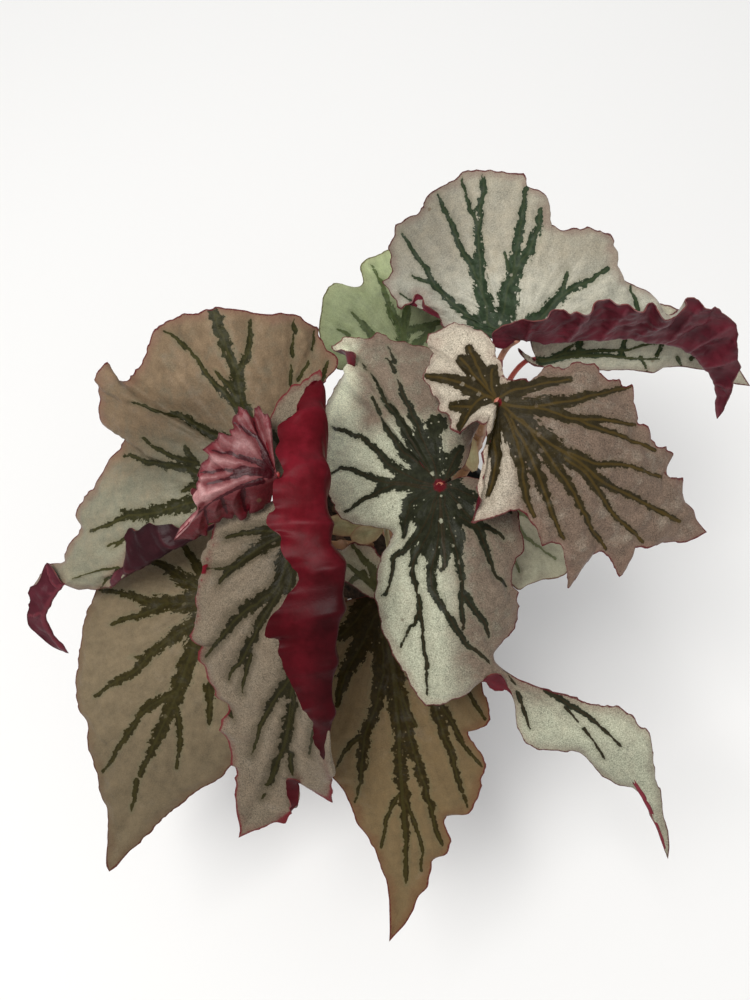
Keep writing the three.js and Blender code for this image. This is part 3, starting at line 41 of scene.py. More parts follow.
# midrib: the leaf's main vein from the stalk to the tip. halves: the blade on each side of it: its margin, the number of
# margin points before the part that runs beside the midrib (turn), its arch, where it rolls (margin index, place
# across, and how far), and which margin points lie across from which place along the midrib (pins);
# comb is the way round in which the laterals from the stalk follow one another. veins: x, y, z and half width. zones: x, y, z and radius of the green patches by the stalk.
LEAVES = {
 "blade_back_right": {
  "midrib": [[47.2,43.2,262.0],[57.6,40.7,263.0],[78.1,42.5,264.0],[100.5,44.4,261.0],[115.7,44.9,256.0],[129.7,44.8,246.0],[139.8,42.5,233.0],[147.7,39.7,219.0],[150.8,33.8,205.0]],
  "halves": [
   {"sign": 1, "turn": 6, "arch": -0.05,
    "margin": [[45.9,41.8,262.0],[43.2,39.5,262.0],[40.4,37.4,263.0],[38.2,38.1,264.0],[35.8,40.3,266.0],[35.8,40.7,269.0],[37.4,41.5,272.0],[40.7,41.5,274.4],[43.0,41.2,276.0],[44.7,42.2,277.4],[46.9,42.2,279.0],[50.1,39.8,281.2],[54.1,38.3,284.0],[56.5,38.3,284.7],[57.9,41.4,285.8],[59.9,41.4,286.4],[62.9,40.8,287.4],[64.9,37.6,288.4],[67.0,39.4,289.3],[70.1,37.6,290.4],[72.1,37.6,291.0],[74.0,42.4,291.7],[75.7,43.6,292.0],[80.1,43.0,292.7],[81.9,40.4,293.1],[83.4,39.3,293.4],[85.2,40.3,293.7],[87.2,40.1,294.0],[89.0,37.7,294.0],[90.8,35.8,294.0],[92.8,35.5,294.0],[95.0,38.9,294.0],[96.8,39.7,294.0],[101.3,33.6,292.7],[106.1,36.0,292.0],[111.6,40.8,291.0],[111.6,44.3,290.1],[113.0,45.9,289.6],[116.0,44.4,288.4],[117.2,44.9,288.0],[120.5,42.7,285.6],[124.0,43.4,284.0],[125.6,45.6,283.0],[130.2,44.9,279.6],[134.0,43.4,276.2],[137.3,43.5,274.0],[139.0,42.6,270.3],[141.5,39.5,260.0],[143.3,39.5,257.5],[145.7,38.4,250.0],[148.3,38.4,246.7],[148.7,37.8,243.0],[148.3,36.7,235.0],[149.6,35.3,230.0],[150.2,35.4,221.5],[151.7,34.9,212.0],[150.8,33.8,205.0]],
    "rolls": [], "pins": [], "comb": 0, "soft": 3.5, "edge": 6},
   {"sign": -1, "turn": 38, "arch": 0.07,
    "margin": [[46.0,43.7,262.0],[39.9,42.3,262.0],[30.5,45.2,262.0],[22.9,47.2,262.0],[17.0,49.5,260.0],[14.9,51.3,260.0],[13.3,53.7,261.0],[13.2,56.9,261.5],[9.9,58.5,262.2],[7.0,59.9,262.8],[7.2,63.4,263.2],[5.0,65.7,263.2],[2.9,64.9,263.0],[1.6,61.8,262.0],[-0.9,61.4,260.3],[-2.6,60.5,258.5],[-4.5,62.3,258.0],[-5.0,66.1,258.0],[-7.2,68.2,258.0],[-7.6,70.8,258.0],[-10.7,75.1,258.0],[-5.8,80.0,259.3],[-7.5,83.8,260.0],[-6.2,86.3,260.9],[-7.5,89.7,262.1],[-6.2,92.3,263.0],[-4.1,99.7,265.5],[-2.6,100.3,266.0],[2.3,101.7,268.4],[7.1,103.1,270.8],[8.4,104.9,271.9],[7.3,106.4,272.8],[10.6,109.5,275.0],[11.9,110.9,276.0],[19.6,112.2,280.3],[24.6,114.0,283.4],[29.6,113.0,286.0],[39.6,110.9,288.2],[42.9,108.6,289.0],[49.8,108.6,288.4],[51.3,106.8,288.2],[50.6,103.6,288.0],[57.4,100.9,286.2],[60.6,98.0,285.1],[58.5,92.3,283.7],[58.4,89.2,283.0],[64.6,84.3,282.6],[71.5,84.6,282.3],[76.8,86.1,282.0],[80.3,85.5,281.1],[87.5,84.3,279.3],[89.1,81.3,278.4],[86.4,76.6,277.1],[88.0,72.8,276.0],[92.0,66.3,272.8],[98.5,64.5,270.3],[104.5,63.5,268.0],[107.8,60.5,265.7],[112.1,54.8,262.0],[118.1,58.5,259.4],[125.2,65.4,256.0],[133.7,63.8,248.0],[143.3,60.6,238.0],[150.2,52.7,228.0],[152.2,43.4,214.0],[150.8,33.8,205.0]],
    "rolls": [[5.0,0.9,-0.0,0.0,-0.0],[6.0,0.9,-3.43,1.84,-2.8],[7.0,0.9,-4.91,0.78,-3.75],[8.0,0.9,-4.14,1.37,-4.88],[9.0,0.9,-3.63,1.75,-5.72],[10.0,0.89,-6.0,-0.16,-6.27],[11.0,0.88,-5.97,-1.23,-6.26],[12.0,0.88,-5.88,0.19,-6.08],[13.0,0.92,-4.22,2.35,-5.0],[14.0,0.93,-2.61,2.8,-2.92],[15.0,0.92,-2.18,4.45,-0.78],[16.0,0.92,-1.47,4.37,-0.32],[17.0,0.92,-1.95,3.13,-0.32],[18.0,0.93,-1.13,3.32,-0.28],[19.0,0.94,-1.95,2.44,-0.24],[20.0,0.95,-0.0,0.0,-0.0]], "pins": [], "comb": -1, "soft": 3.5, "edge": 6},
  ],
  "veins": [
   [[45.1,43.2,262.2,1.23],[43.2,43.1,262.3,1.22],[40.3,43.4,262.7,1.2],[37.2,44.3,263.0,1.18],[34.7,45.3,263.5,1.15],[32.3,46.3,263.4,1.12],[30.1,49.1,262.5,1.09],[27.9,51.8,263.4,1.06],[26.3,52.9,264.0,1.03],[24.4,55.2,264.3,1.0],[22.5,57.3,264.8,0.96],[20.0,59.1,264.8,0.93],[18.3,61.1,264.8,0.89],[16.2,63.5,264.8,0.86],[14.6,65.8,264.8,0.82],[12.2,68.1,264.6,0.78],[10.8,70.9,264.9,0.74],[9.9,73.6,265.5,0.7],[9.0,76.3,266.1,0.66],[6.6,79.2,265.9,0.62],[5.4,81.2,265.8,0.57],[3.9,84.5,266.0,0.53],[2.2,87.1,265.8,0.49],[0.8,90.7,265.9,0.44],[-0.8,93.5,265.8,0.4],[-2.4,96.4,265.6,0.35]],
   [[8.8,71.1,264.2,0.45],[6.4,72.2,263.4,0.37],[3.5,74.3,262.7,0.26],[1.9,76.1,262.5,0.13]],
   [[1.8,64.0,259.9,0.34],[0.2,65.5,259.6,0.28],[-1.4,67.1,259.3,0.19],[-3.2,68.6,259.1,0.1]],
   [[45.0,43.2,262.4,1.34],[43.0,43.8,262.8,1.33],[40.4,45.2,262.9,1.31],[38.2,47.4,263.2,1.29],[35.7,48.6,263.5,1.26],[34.4,50.9,264.2,1.23],[34.5,54.5,265.5,1.2],[34.3,57.1,266.6,1.17],[33.3,59.7,267.5,1.14],[32.4,62.0,268.4,1.1],[31.5,64.3,269.2,1.07],[30.9,66.8,270.1,1.03],[29.6,69.1,270.8,0.99],[28.7,71.8,271.7,0.95],[27.5,74.3,272.3,0.91],[26.3,76.9,272.9,0.87],[24.6,78.8,272.8,0.83],[23.4,81.5,273.3,0.79],[22.2,84.2,273.8,0.75],[21.5,87.4,274.6,0.71],[20.5,90.3,275.0,0.66],[19.6,93.2,275.5,0.62],[18.2,95.6,275.5,0.57],[17.1,99.2,275.9,0.53],[15.7,101.8,275.8,0.48],[15.0,104.8,276.2,0.43],[14.1,108.4,276.6,0.38]],
   [[45.4,43.4,262.4,2.02],[43.5,44.2,262.6,2.0],[41.1,46.1,262.9,1.97],[38.6,47.3,263.2,1.94],[36.1,48.5,263.5,1.9],[34.4,50.8,264.1,1.86],[34.4,53.6,265.1,1.82],[34.0,56.5,266.3,1.78],[33.5,59.0,267.3,1.73],[32.6,61.4,268.1,1.69],[32.2,63.9,269.2,1.64],[31.7,66.6,270.4,1.59],[31.6,68.3,271.3,1.54],[31.4,71.1,272.6,1.48],[31.4,73.4,273.7,1.43],[31.3,75.6,274.6,1.38],[30.7,78.8,275.7,1.32],[30.6,81.5,276.8,1.26],[30.6,84.2,277.8,1.21],[30.1,86.9,278.6,1.15],[30.6,89.1,279.6,1.09],[31.1,91.2,280.5,1.03],[31.5,93.9,281.6,0.96],[31.4,96.5,282.4,0.9],[32.1,99.0,283.5,0.84],[33.0,101.4,284.5,0.77],[33.2,103.9,285.1,0.71],[33.2,107.7,285.9,0.64],[32.8,109.8,286.2,0.58]],
   [[30.0,89.0,279.2,0.67],[29.8,91.0,279.9,0.64],[28.6,94.3,280.3,0.59],[26.7,97.5,280.2,0.54],[26.5,100.3,280.9,0.48],[25.5,102.9,281.1,0.41],[25.1,106.5,281.8,0.34],[23.9,109.9,282.0,0.27],[24.1,112.2,282.7,0.19]],
   [[46.4,43.5,262.2,1.9],[44.1,44.0,262.5,1.88],[41.1,45.4,262.5,1.86],[39.5,46.9,263.1,1.82],[40.0,50.0,264.3,1.78],[40.8,52.2,265.6,1.74],[41.5,54.4,267.2,1.7],[41.9,56.4,268.6,1.66],[42.2,58.9,270.4,1.61],[42.5,60.6,271.6,1.56],[43.0,62.7,273.1,1.51],[43.8,64.8,274.5,1.46],[44.8,66.7,275.8,1.41],[45.3,68.7,277.0,1.35],[45.5,71.6,278.4,1.3],[45.9,73.8,279.4,1.24],[46.4,75.4,280.2,1.18],[46.8,78.3,281.3,1.12],[47.3,80.6,282.2,1.06],[47.8,82.9,283.0,1.0],[47.7,85.4,283.7,0.94],[48.8,88.2,284.5,0.87],[48.7,90.7,285.1,0.81],[49.7,94.2,285.9,0.74],[49.7,96.2,286.3,0.68],[50.2,99.8,287.0,0.61],[51.1,102.1,287.6,0.54]],
   [[44.1,63.0,273.6,1.68],[44.6,65.0,274.9,1.64],[45.8,66.3,275.9,1.58],[46.8,68.9,277.4,1.52],[47.8,70.9,278.5,1.44],[49.4,72.7,279.5,1.37],[50.8,73.8,280.2,1.28],[52.1,76.0,281.1,1.19],[53.1,78.6,282.1,1.1],[53.5,80.1,282.6,1.0],[54.8,82.8,283.2,0.91],[56.3,85.5,283.7,0.8],[56.1,88.5,284.3,0.7],[56.6,91.2,284.8,0.59],[57.1,93.3,285.0,0.48]],
   [[46.8,43.8,262.2,1.57],[48.1,45.7,263.9,1.54],[50.0,46.6,265.2,1.51],[52.4,47.4,266.5,1.47],[54.8,48.3,267.6,1.42],[56.8,49.5,268.6,1.37],[58.8,51.4,269.8,1.32],[60.2,52.7,270.7,1.26],[61.6,54.5,271.7,1.2],[63.8,56.1,272.7,1.14],[65.7,57.4,273.5,1.08],[67.5,58.6,274.3,1.02],[69.7,60.0,275.0,0.95],[71.8,60.9,275.4,0.88],[74.2,61.7,275.6,0.81],[76.5,63.1,276.0,0.74],[78.9,64.2,276.1,0.67],[80.5,65.9,276.4,0.6],[83.5,67.8,276.5,0.52],[85.2,69.1,276.6,0.45]],
   [[65.7,58.9,274.3,0.67],[66.2,60.7,275.2,0.59],[66.9,63.4,276.5,0.48],[67.8,66.1,277.6,0.34],[68.0,67.5,278.1,0.19]],
   [[43.2,68.4,276.2,0.45],[42.8,70.8,277.3,0.37],[42.0,73.4,278.2,0.26],[41.2,75.4,278.9,0.13]],
  ],
  "auto": [
   [[50.9,41.9,262.6,0.66],[50.9,41.7,263.6,0.64],[50.8,41.5,264.8,0.61],[50.9,41.4,266.0,0.58],[50.8,41.3,267.4,0.54],[51.0,41.2,268.7,0.51],[51.0,41.1,270.3,0.47],[51.3,40.9,271.7,0.42],[51.4,40.7,273.5,0.38],[50.9,40.7,274.7,0.33],[51.1,40.4,276.6,0.28],[50.7,40.3,277.8,0.23],[50.9,39.9,279.8,0.18]],
   [[68.4,41.4,264.2,0.77],[68.6,41.4,265.9,0.75],[68.8,41.2,267.9,0.72],[69.1,41.0,269.6,0.68],[69.3,40.7,271.8,0.64],[69.6,40.5,273.5,0.59],[69.9,40.2,275.8,0.54],[70.3,40.0,277.6,0.49],[70.6,39.7,279.9,0.44],[70.3,39.5,281.7,0.38],[70.7,39.1,284.1,0.33],[70.5,38.8,285.8,0.27],[71.0,38.4,288.3,0.21]],
   [[83.3,43.0,264.1,0.77],[83.6,42.9,266.0,0.75],[84.0,42.8,268.4,0.72],[84.4,42.6,270.3,0.68],[84.8,42.4,272.8,0.64],[85.3,42.1,274.7,0.59],[85.7,41.7,277.3,0.54],[86.2,41.3,279.3,0.49],[86.8,40.9,281.9,0.44],[86.6,40.7,283.9,0.38],[87.2,40.2,286.6,0.33],[87.1,40.0,288.7,0.27],[87.7,39.5,291.3,0.21]],
   [[98.1,44.1,262.0,0.77],[98.6,43.6,264.0,0.75],[99.1,43.0,266.6,0.72],[99.7,42.4,268.6,0.68],[100.2,41.6,271.1,0.64],[100.8,40.9,273.1,0.59],[101.3,39.9,275.6,0.54],[101.9,39.2,277.6,0.49],[102.5,38.3,280.2,0.44],[102.5,37.7,282.3,0.38],[103.1,37.0,284.9,0.33],[103.0,36.3,287.1,0.27],[103.8,35.7,289.6,0.21]],
   [[112.5,44.8,258.1,0.72],[113.0,44.7,260.0,0.69],[113.6,44.7,262.4,0.66],[114.1,44.7,264.3,0.63],[114.7,44.7,266.8,0.59],[115.3,44.8,268.6,0.55],[115.9,44.7,271.0,0.5],[116.6,44.6,272.8,0.46],[117.3,44.5,275.1,0.41],[117.3,44.5,277.3,0.36],[118.1,44.3,279.6,0.3],[118.1,44.2,281.8,0.25],[118.9,43.9,284.0,0.2]],
   [[125.3,45.0,250.3,0.66],[126.1,45.0,252.0,0.64],[127.1,44.9,254.0,0.61],[127.9,44.8,255.6,0.58],[128.9,44.7,257.6,0.54],[129.9,44.6,259.1,0.51],[130.9,44.4,261.0,0.47],[131.9,44.2,262.4,0.42],[133.0,44.0,264.3,0.38],[133.3,43.9,266.2,0.33],[134.4,43.7,268.1,0.28],[134.8,43.7,270.0,0.23],[136.0,43.5,271.9,0.18]],
   [[135.7,43.6,239.5,0.61],[136.5,43.2,240.6,0.59],[137.3,42.8,241.9,0.56],[138.1,42.4,242.8,0.53],[138.9,42.0,244.0,0.5],[139.7,41.6,244.8,0.46],[140.5,41.2,245.9,0.43],[141.2,40.8,246.5,0.39],[142.0,40.4,247.5,0.35],[142.4,40.2,248.9,0.3],[143.1,39.8,249.8,0.26],[143.4,39.6,251.2,0.21],[144.2,39.2,252.0,0.17]],
   [[143.8,41.3,227.1,0.55],[144.5,41.0,227.5,0.53],[145.2,40.5,228.0,0.51],[145.7,40.1,228.3,0.48],[146.3,39.6,228.7,0.45],[146.7,39.2,228.8,0.42],[147.2,38.7,229.1,0.39],[147.5,38.3,229.2,0.35],[147.9,37.8,229.3,0.31],[148.1,37.5,230.1,0.27],[148.4,37.0,230.2,0.23],[148.5,36.8,231.0,0.19],[148.9,36.2,231.0,0.15]],
   [[99.9,44.7,261.4,0.83],[99.9,46.4,262.6,0.8],[99.6,48.3,264.0,0.77],[99.6,49.8,265.0,0.73],[99.3,51.6,266.2,0.68],[99.1,52.9,267.0,0.63],[98.8,54.6,267.9,0.58],[98.6,55.9,268.5,0.53],[98.3,57.5,269.1,0.47],[97.4,59.0,269.8,0.41],[97.1,60.6,270.3,0.35],[96.2,62.1,270.8,0.29],[95.9,63.7,271.1,0.23]],
   [[123.0,45.2,251.7,0.72],[123.1,45.9,252.1,0.69],[123.1,46.9,252.7,0.66],[123.2,47.8,253.1,0.63],[123.2,49.0,253.6,0.59],[123.3,50.0,254.0,0.55],[123.4,51.5,254.5,0.5],[123.5,52.8,254.8,0.46],[123.6,54.5,255.2,0.41],[123.1,55.6,255.8,0.36],[123.2,57.5,256.1,0.3],[122.8,58.8,256.6,0.25],[122.9,60.9,256.8,0.2]],
   [[139.8,42.8,233.2,0.55],[140.3,43.8,233.4,0.53],[140.8,45.1,233.7,0.51],[141.3,46.1,233.7,0.48],[141.9,47.3,233.8,0.45],[142.5,48.2,233.7,0.42],[143.2,49.4,233.7,0.39],[143.8,50.2,233.4,0.35],[144.5,51.2,233.2,0.31],[144.7,52.3,233.5,0.27],[145.4,53.3,233.1,0.23],[145.7,54.4,233.3,0.19],[146.4,55.3,232.8,0.15]],
  ],
  "zones": [[41.9,43.9,263.0,3.43],[33.3,61.0,268.1,3.02],[34.5,56.2,266.2,3.45],[33.8,50.9,264.2,4.31],[45.1,60.9,272.8,2.56],[44.5,56.7,270.0,3.42],[42.8,52.7,266.6,4.29],[39.0,48.2,263.5,4.73],[28.4,51.5,263.2,3.02]], "clear": []},
 "blade_back_low": {
  "midrib": [[59.7,48.0,236.0],[70.2,47.4,238.0],[89.0,48.7,238.0],[103.9,49.7,235.0],[121.2,54.2,229.0],[140.5,56.3,220.0],[156.7,55.4,211.0],[170.3,53.2,202.0]],
  "halves": [
   {"sign": 1, "turn": 5, "arch": 0.05,
    "margin": [[58.7,47.5,236.0],[54.9,49.5,238.0],[51.0,52.6,240.0],[51.6,49.9,239.0],[55.1,47.5,236.0],[58.9,45.8,234.0],[71.4,46.7,231.0],[91.8,47.4,228.0],[106.0,48.9,226.0],[110.0,48.4,224.8],[116.6,48.3,223.0],[122.2,53.0,221.4],[131.4,54.5,219.0],[139.3,55.1,215.8],[146.3,55.9,213.0],[154.7,54.3,208.0],[162.2,53.2,204.0],[170.3,53.2,202.0]],
    "rolls": [], "pins": [], "comb": 0, "soft": 3, "edge": 6},
   {"sign": -1, "turn": 3, "arch": 0.06,
    "margin": [[60.7,49.1,236.0],[58.2,51.1,238.0],[56.8,56.1,240.0],[59.8,64.4,242.0],[67.3,72.2,244.0],[78.0,77.5,245.0],[89.7,79.7,245.0],[100.0,79.3,244.0],[110.9,77.3,242.0],[122.5,75.6,238.0],[133.8,72.3,233.0],[144.8,67.4,226.0],[156.9,61.9,216.0],[170.3,53.2,202.0]],
    "rolls": [], "pins": [], "comb": 0, "soft": 3, "edge": 6},
  ],
  "veins": [
   [[61.7,47.3,235.8,0.9],[63.5,47.2,236.1,0.88],[66.8,47.3,237.0,0.86],[69.2,47.4,237.9,0.84],[72.3,48.2,238.4,0.81],[75.5,48.6,238.7,0.78],[77.9,48.8,238.7,0.75],[80.6,49.1,238.8,0.72],[83.4,49.1,238.6,0.69],[86.2,48.8,238.3,0.65],[89.4,49.0,238.1,0.62],[92.6,48.9,237.6,0.58],[95.8,49.0,237.0,0.54],[99.0,49.1,236.1,0.51],[102.0,49.3,234.9,0.47],[105.5,49.9,233.8,0.43],[109.3,50.7,232.2,0.38],[113.1,51.5,230.9,0.34],[116.4,52.3,229.5,0.3],[118.8,52.9,228.5,0.26]],
   [[67.3,48.2,238.0,0.62],[68.6,48.6,238.4,0.61],[70.9,49.2,238.8,0.59],[73.6,49.9,239.2,0.57],[76.8,50.0,239.2,0.55],[79.1,50.2,239.3,0.53],[81.9,50.5,239.3,0.51],[85.2,50.8,239.2,0.49],[88.4,51.1,239.1,0.46],[91.7,51.2,238.7,0.44],[94.9,51.6,238.4,0.41],[98.1,52.2,238.0,0.38],[100.3,52.3,237.4,0.36],[104.4,53.5,236.7,0.33],[106.2,54.4,236.5,0.3],[108.8,55.6,236.1,0.27],[112.3,56.8,235.1,0.24],[115.8,57.7,234.0,0.21],[118.5,58.7,233.3,0.18]],
   [[66.8,48.0,237.9,0.5],[69.1,48.7,238.5,0.46],[71.8,49.7,239.1,0.39],[73.4,51.8,240.0,0.32],[75.3,52.5,240.3,0.23],[77.0,53.7,240.7,0.14]],
  ],
  "auto": [
   [[108.5,50.7,233.5,0.55],[109.0,50.7,232.8,0.53],[109.5,50.6,231.9,0.51],[109.9,50.5,231.2,0.48],[110.4,50.4,230.4,0.45],[110.9,50.3,229.7,0.42],[111.3,50.1,228.9,0.39],[111.8,49.9,228.2,0.35],[112.3,49.7,227.4,0.31],[112.2,49.5,226.8,0.27],[112.7,49.2,226.0,0.23],[112.7,49.0,225.5,0.19],[113.2,48.7,224.6,0.15]],
   [[127.6,55.2,226.1,0.55],[128.1,55.1,225.5,0.53],[128.4,55.1,224.8,0.51],[128.8,55.0,224.2,0.48],[129.2,54.9,223.5,0.45],[129.6,54.9,223.0,0.42],[130.0,54.8,222.3,0.39],[130.5,54.8,221.8,0.35],[130.9,54.8,221.1,0.31],[130.8,54.7,220.8,0.27],[131.2,54.6,220.2,0.23],[131.1,54.6,219.9,0.19],[131.6,54.6,219.3,0.15]],
   [[145.9,56.2,217.1,0.44],[146.4,56.2,216.6,0.43],[146.8,56.1,216.0,0.41],[147.2,56.0,215.5,0.39],[147.6,55.9,214.9,0.36],[148.0,55.9,214.4,0.34],[148.4,55.8,213.9,0.31],[148.9,55.7,213.4,0.28],[149.3,55.6,212.8,0.25],[149.2,55.6,212.6,0.22],[149.6,55.4,212.0,0.19],[149.5,55.4,211.7,0.15],[149.9,55.3,211.2,0.12]],
   [[78.0,48.3,238.5,0.88],[78.5,50.2,239.3,0.85],[78.9,52.6,240.3,0.82],[79.4,54.5,241.0,0.77],[79.8,57.0,241.8,0.73],[80.3,59.0,242.5,0.67],[80.8,61.5,243.1,0.62],[81.3,63.6,243.6,0.56],[81.7,66.2,244.0,0.5],[81.6,68.2,244.3,0.44],[82.1,70.9,244.6,0.38],[82.0,73.0,244.7,0.31],[82.5,75.7,244.9,0.24]],
   [[98.3,49.5,236.7,0.99],[98.9,51.5,237.4,0.96],[99.5,53.9,238.4,0.92],[100.1,55.9,239.0,0.87],[100.7,58.3,239.8,0.82],[101.3,60.2,240.4,0.76],[101.9,62.7,241.0,0.7],[102.5,64.6,241.4,0.63],[103.2,67.1,241.8,0.56],[103.2,69.0,242.2,0.49],[103.9,71.5,242.5,0.42],[103.9,73.5,242.7,0.35],[104.6,75.9,242.9,0.27]],
   [[117.3,53.7,230.7,0.88],[118.1,55.3,231.4,0.85],[118.8,57.1,232.1,0.82],[119.5,58.6,232.7,0.77],[120.3,60.4,233.3,0.73],[121.1,61.8,233.8,0.67],[121.9,63.5,234.3,0.62],[122.7,64.9,234.6,0.56],[123.5,66.6,234.9,0.5],[123.7,68.0,235.4,0.44],[124.5,69.7,235.6,0.38],[124.8,71.2,236.0,0.31],[125.6,72.8,236.1,0.24]],
   [[135.9,56.2,222.5,0.77],[136.6,57.1,222.9,0.75],[137.4,58.1,223.3,0.72],[138.2,58.9,223.6,0.68],[139.0,59.9,224.0,0.64],[139.8,60.6,224.2,0.59],[140.6,61.6,224.5,0.54],[141.3,62.3,224.6,0.49],[142.1,63.2,224.8,0.44],[142.4,64.0,225.2,0.38],[143.2,64.8,225.3,0.33],[143.5,65.7,225.6,0.27],[144.3,66.5,225.7,0.21]],
  ],
  "zones": [[60.6,48.3,236.4,1.82]], "clear": []},
 "blade_top_right": {
  "midrib": [[32.6,-7.2,300.0],[41.7,-18.1,302.0],[52.0,-26.0,301.0],[62.9,-31.7,297.0],[70.4,-36.1,292.0],[81.1,-38.2,285.0],[93.1,-40.9,277.0],[103.5,-43.3,270.0],[117.8,-44.7,261.0]],
  "halves": [
   {"sign": -1, "turn": 43, "arch": 0.06,
    "margin": [[32.0,-8.8,301.5],[30.5,-11.8,303.2],[29.2,-14.2,303.8],[27.9,-16.0,303.4],[27.0,-17.4,301.8],[25.5,-15.8,300.5],[23.8,-14.6,299.0],[22.1,-14.5,297.0],[20.4,-14.4,293.5],[18.3,-15.1,287.5],[15.2,-10.4,286.5],[14.6,-5.5,285.7],[11.5,-4.0,285.0],[11.2,-0.1,284.8],[10.1,3.2,284.6],[8.5,3.2,284.5],[7.8,7.9,284.3],[5.4,10.8,284.1],[5.0,13.3,284.0],[7.9,17.0,284.9],[8.4,19.9,285.4],[10.9,21.5,286.0],[11.6,22.8,288.0],[12.1,23.3,289.8],[11.9,24.9,290.0],[10.2,25.8,289.5],[8.4,26.2,288.5],[6.3,25.7,286.5],[8.0,28.6,287.5],[12.6,31.1,289.0],[15.4,33.3,290.0],[19.0,32.7,291.3],[23.0,31.3,292.8],[25.1,28.0,294.0],[27.9,26.4,294.9],[30.0,22.4,296.1],[31.8,19.7,297.0],[31.9,15.3,298.0],[30.9,13.2,298.6],[32.7,11.9,299.2],[35.0,11.0,300.0],[34.2,5.1,300.9],[34.3,1.7,301.5],[36.8,0.5,302.0],[40.5,1.9,301.8],[43.3,2.0,301.6],[43.6,0.3,301.5],[49.3,4.9,301.1],[50.3,7.3,301.0],[52.8,8.6,301.0],[54.3,7.7,301.0],[55.7,6.1,301.0],[59.6,6.3,301.0],[60.9,8.8,301.0],[64.5,7.9,301.0],[67.6,8.5,301.0],[71.0,7.3,301.0],[70.6,4.5,300.3],[72.0,2.7,299.7],[74.9,1.1,298.9],[78.4,3.1,298.0],[80.1,1.1,296.7],[84.6,2.8,295.0],[84.9,0.3,295.0],[83.7,-5.8,295.0],[85.8,-10.1,293.0],[85.4,-11.6,292.4],[91.3,-13.4,290.0],[91.1,-16.9,288.0],[94.6,-18.9,286.0],[102.0,-18.8,280.0],[97.9,-24.1,280.0],[97.9,-27.6,280.0],[101.9,-29.2,276.9],[106.9,-28.0,274.0],[105.8,-32.2,272.3],[106.9,-35.4,271.0],[111.1,-37.9,268.2],[112.1,-40.9,266.0],[117.8,-44.7,261.0]],
    "rolls": [[0.0,0.5,-0.0,-0.0,0.0],[2.0,0.55,-0.63,-1.59,2.71],[4.0,0.55,-0.92,-2.18,4.81],[6.0,0.55,-1.21,-2.16,5.75],[8.0,0.6,-0.17,-0.49,5.9],[9.0,0.6,-0.01,1.84,2.5],[21.0,0.93,-1.44,2.26,-1.48],[22.0,0.93,-3.1,2.53,-3.34],[23.0,0.92,-4.95,3.18,-5.12],[24.0,0.92,-5.58,2.39,-5.3],[25.0,0.93,-4.55,1.97,-4.74],[26.0,0.94,-3.1,1.66,-3.69],[27.0,0.95,-0.0,0.0,-0.0]], "pins": [], "comb": -1, "soft": 3, "edge": 6},
   {"sign": 1, "turn": 16, "arch": 0.06,
    "margin": [[32.2,-8.9,301.4],[30.8,-11.8,303.0],[29.5,-14.2,303.6],[28.3,-16.1,303.2],[27.3,-17.4,301.6],[27.8,-18.7,300.0],[27.7,-20.0,298.5],[28.5,-21.1,297.0],[28.9,-22.0,296.0],[27.1,-24.6,294.9],[25.8,-26.9,294.0],[27.3,-31.0,291.9],[26.6,-34.9,290.0],[23.9,-37.1,288.4],[26.0,-42.0,286.0],[23.7,-44.4,280.4],[22.4,-46.6,276.0],[27.6,-46.8,279.0],[33.4,-46.2,283.0],[37.0,-45.5,286.0],[40.2,-45.3,285.0],[43.0,-45.8,284.0],[45.2,-48.6,281.6],[47.2,-50.3,279.8],[49.5,-55.2,276.0],[53.6,-54.2,275.4],[56.8,-54.9,275.0],[58.3,-57.1,271.9],[60.3,-62.8,265.0],[61.9,-68.1,258.0],[63.6,-64.7,261.4],[65.4,-62.5,264.0],[67.6,-59.4,266.3],[69.3,-56.4,268.4],[71.8,-55.7,270.0],[74.7,-55.7,267.8],[77.6,-56.6,265.4],[79.2,-58.7,262.8],[82.0,-62.6,258.0],[83.1,-59.4,261.4],[83.8,-56.3,264.5],[85.2,-53.3,268.0],[88.8,-52.5,267.1],[92.6,-53.0,266.0],[98.6,-49.9,264.3],[107.5,-49.4,262.0],[113.6,-47.1,261.4],[117.8,-44.7,261.0]],
    "rolls": [[0.0,0.5,-0.0,-0.0,0.0],[4.0,0.55,-0.84,-2.09,4.62],[6.0,0.5,-0.48,-1.88,4.75],[9.0,0.5,-0.0,-0.0,0.0]], "pins": [], "comb": 1, "soft": 3, "edge": 6},
  ],
  "veins": [
   [[31.9,-6.2,299.9,1.23],[30.9,-4.9,299.7,1.18],[29.3,-2.6,299.4,1.11],[27.6,-0.3,299.0,1.02],[26.3,1.8,298.6,0.93],[24.7,4.1,298.2,0.82],[23.1,6.4,297.6,0.71],[22.0,9.6,297.1,0.6],[20.3,12.3,296.2,0.48],[19.1,14.3,295.5,0.35]],
   [[28.6,-1.6,299.2,0.9],[28.4,0.4,299.3,0.85],[27.3,3.0,299.0,0.79],[26.4,5.2,298.7,0.72],[25.7,8.0,298.5,0.64],[24.7,10.2,298.1,0.55],[24.2,13.2,297.7,0.46],[23.0,16.1,296.9,0.36],[22.7,18.3,296.4,0.26]],
   [[31.3,-4.2,299.8,0.67],[30.6,-2.7,299.8,0.61],[30.1,-0.1,299.8,0.53],[30.2,2.3,299.9,0.42],[30.2,5.0,299.9,0.31],[30.7,7.0,299.8,0.19]],
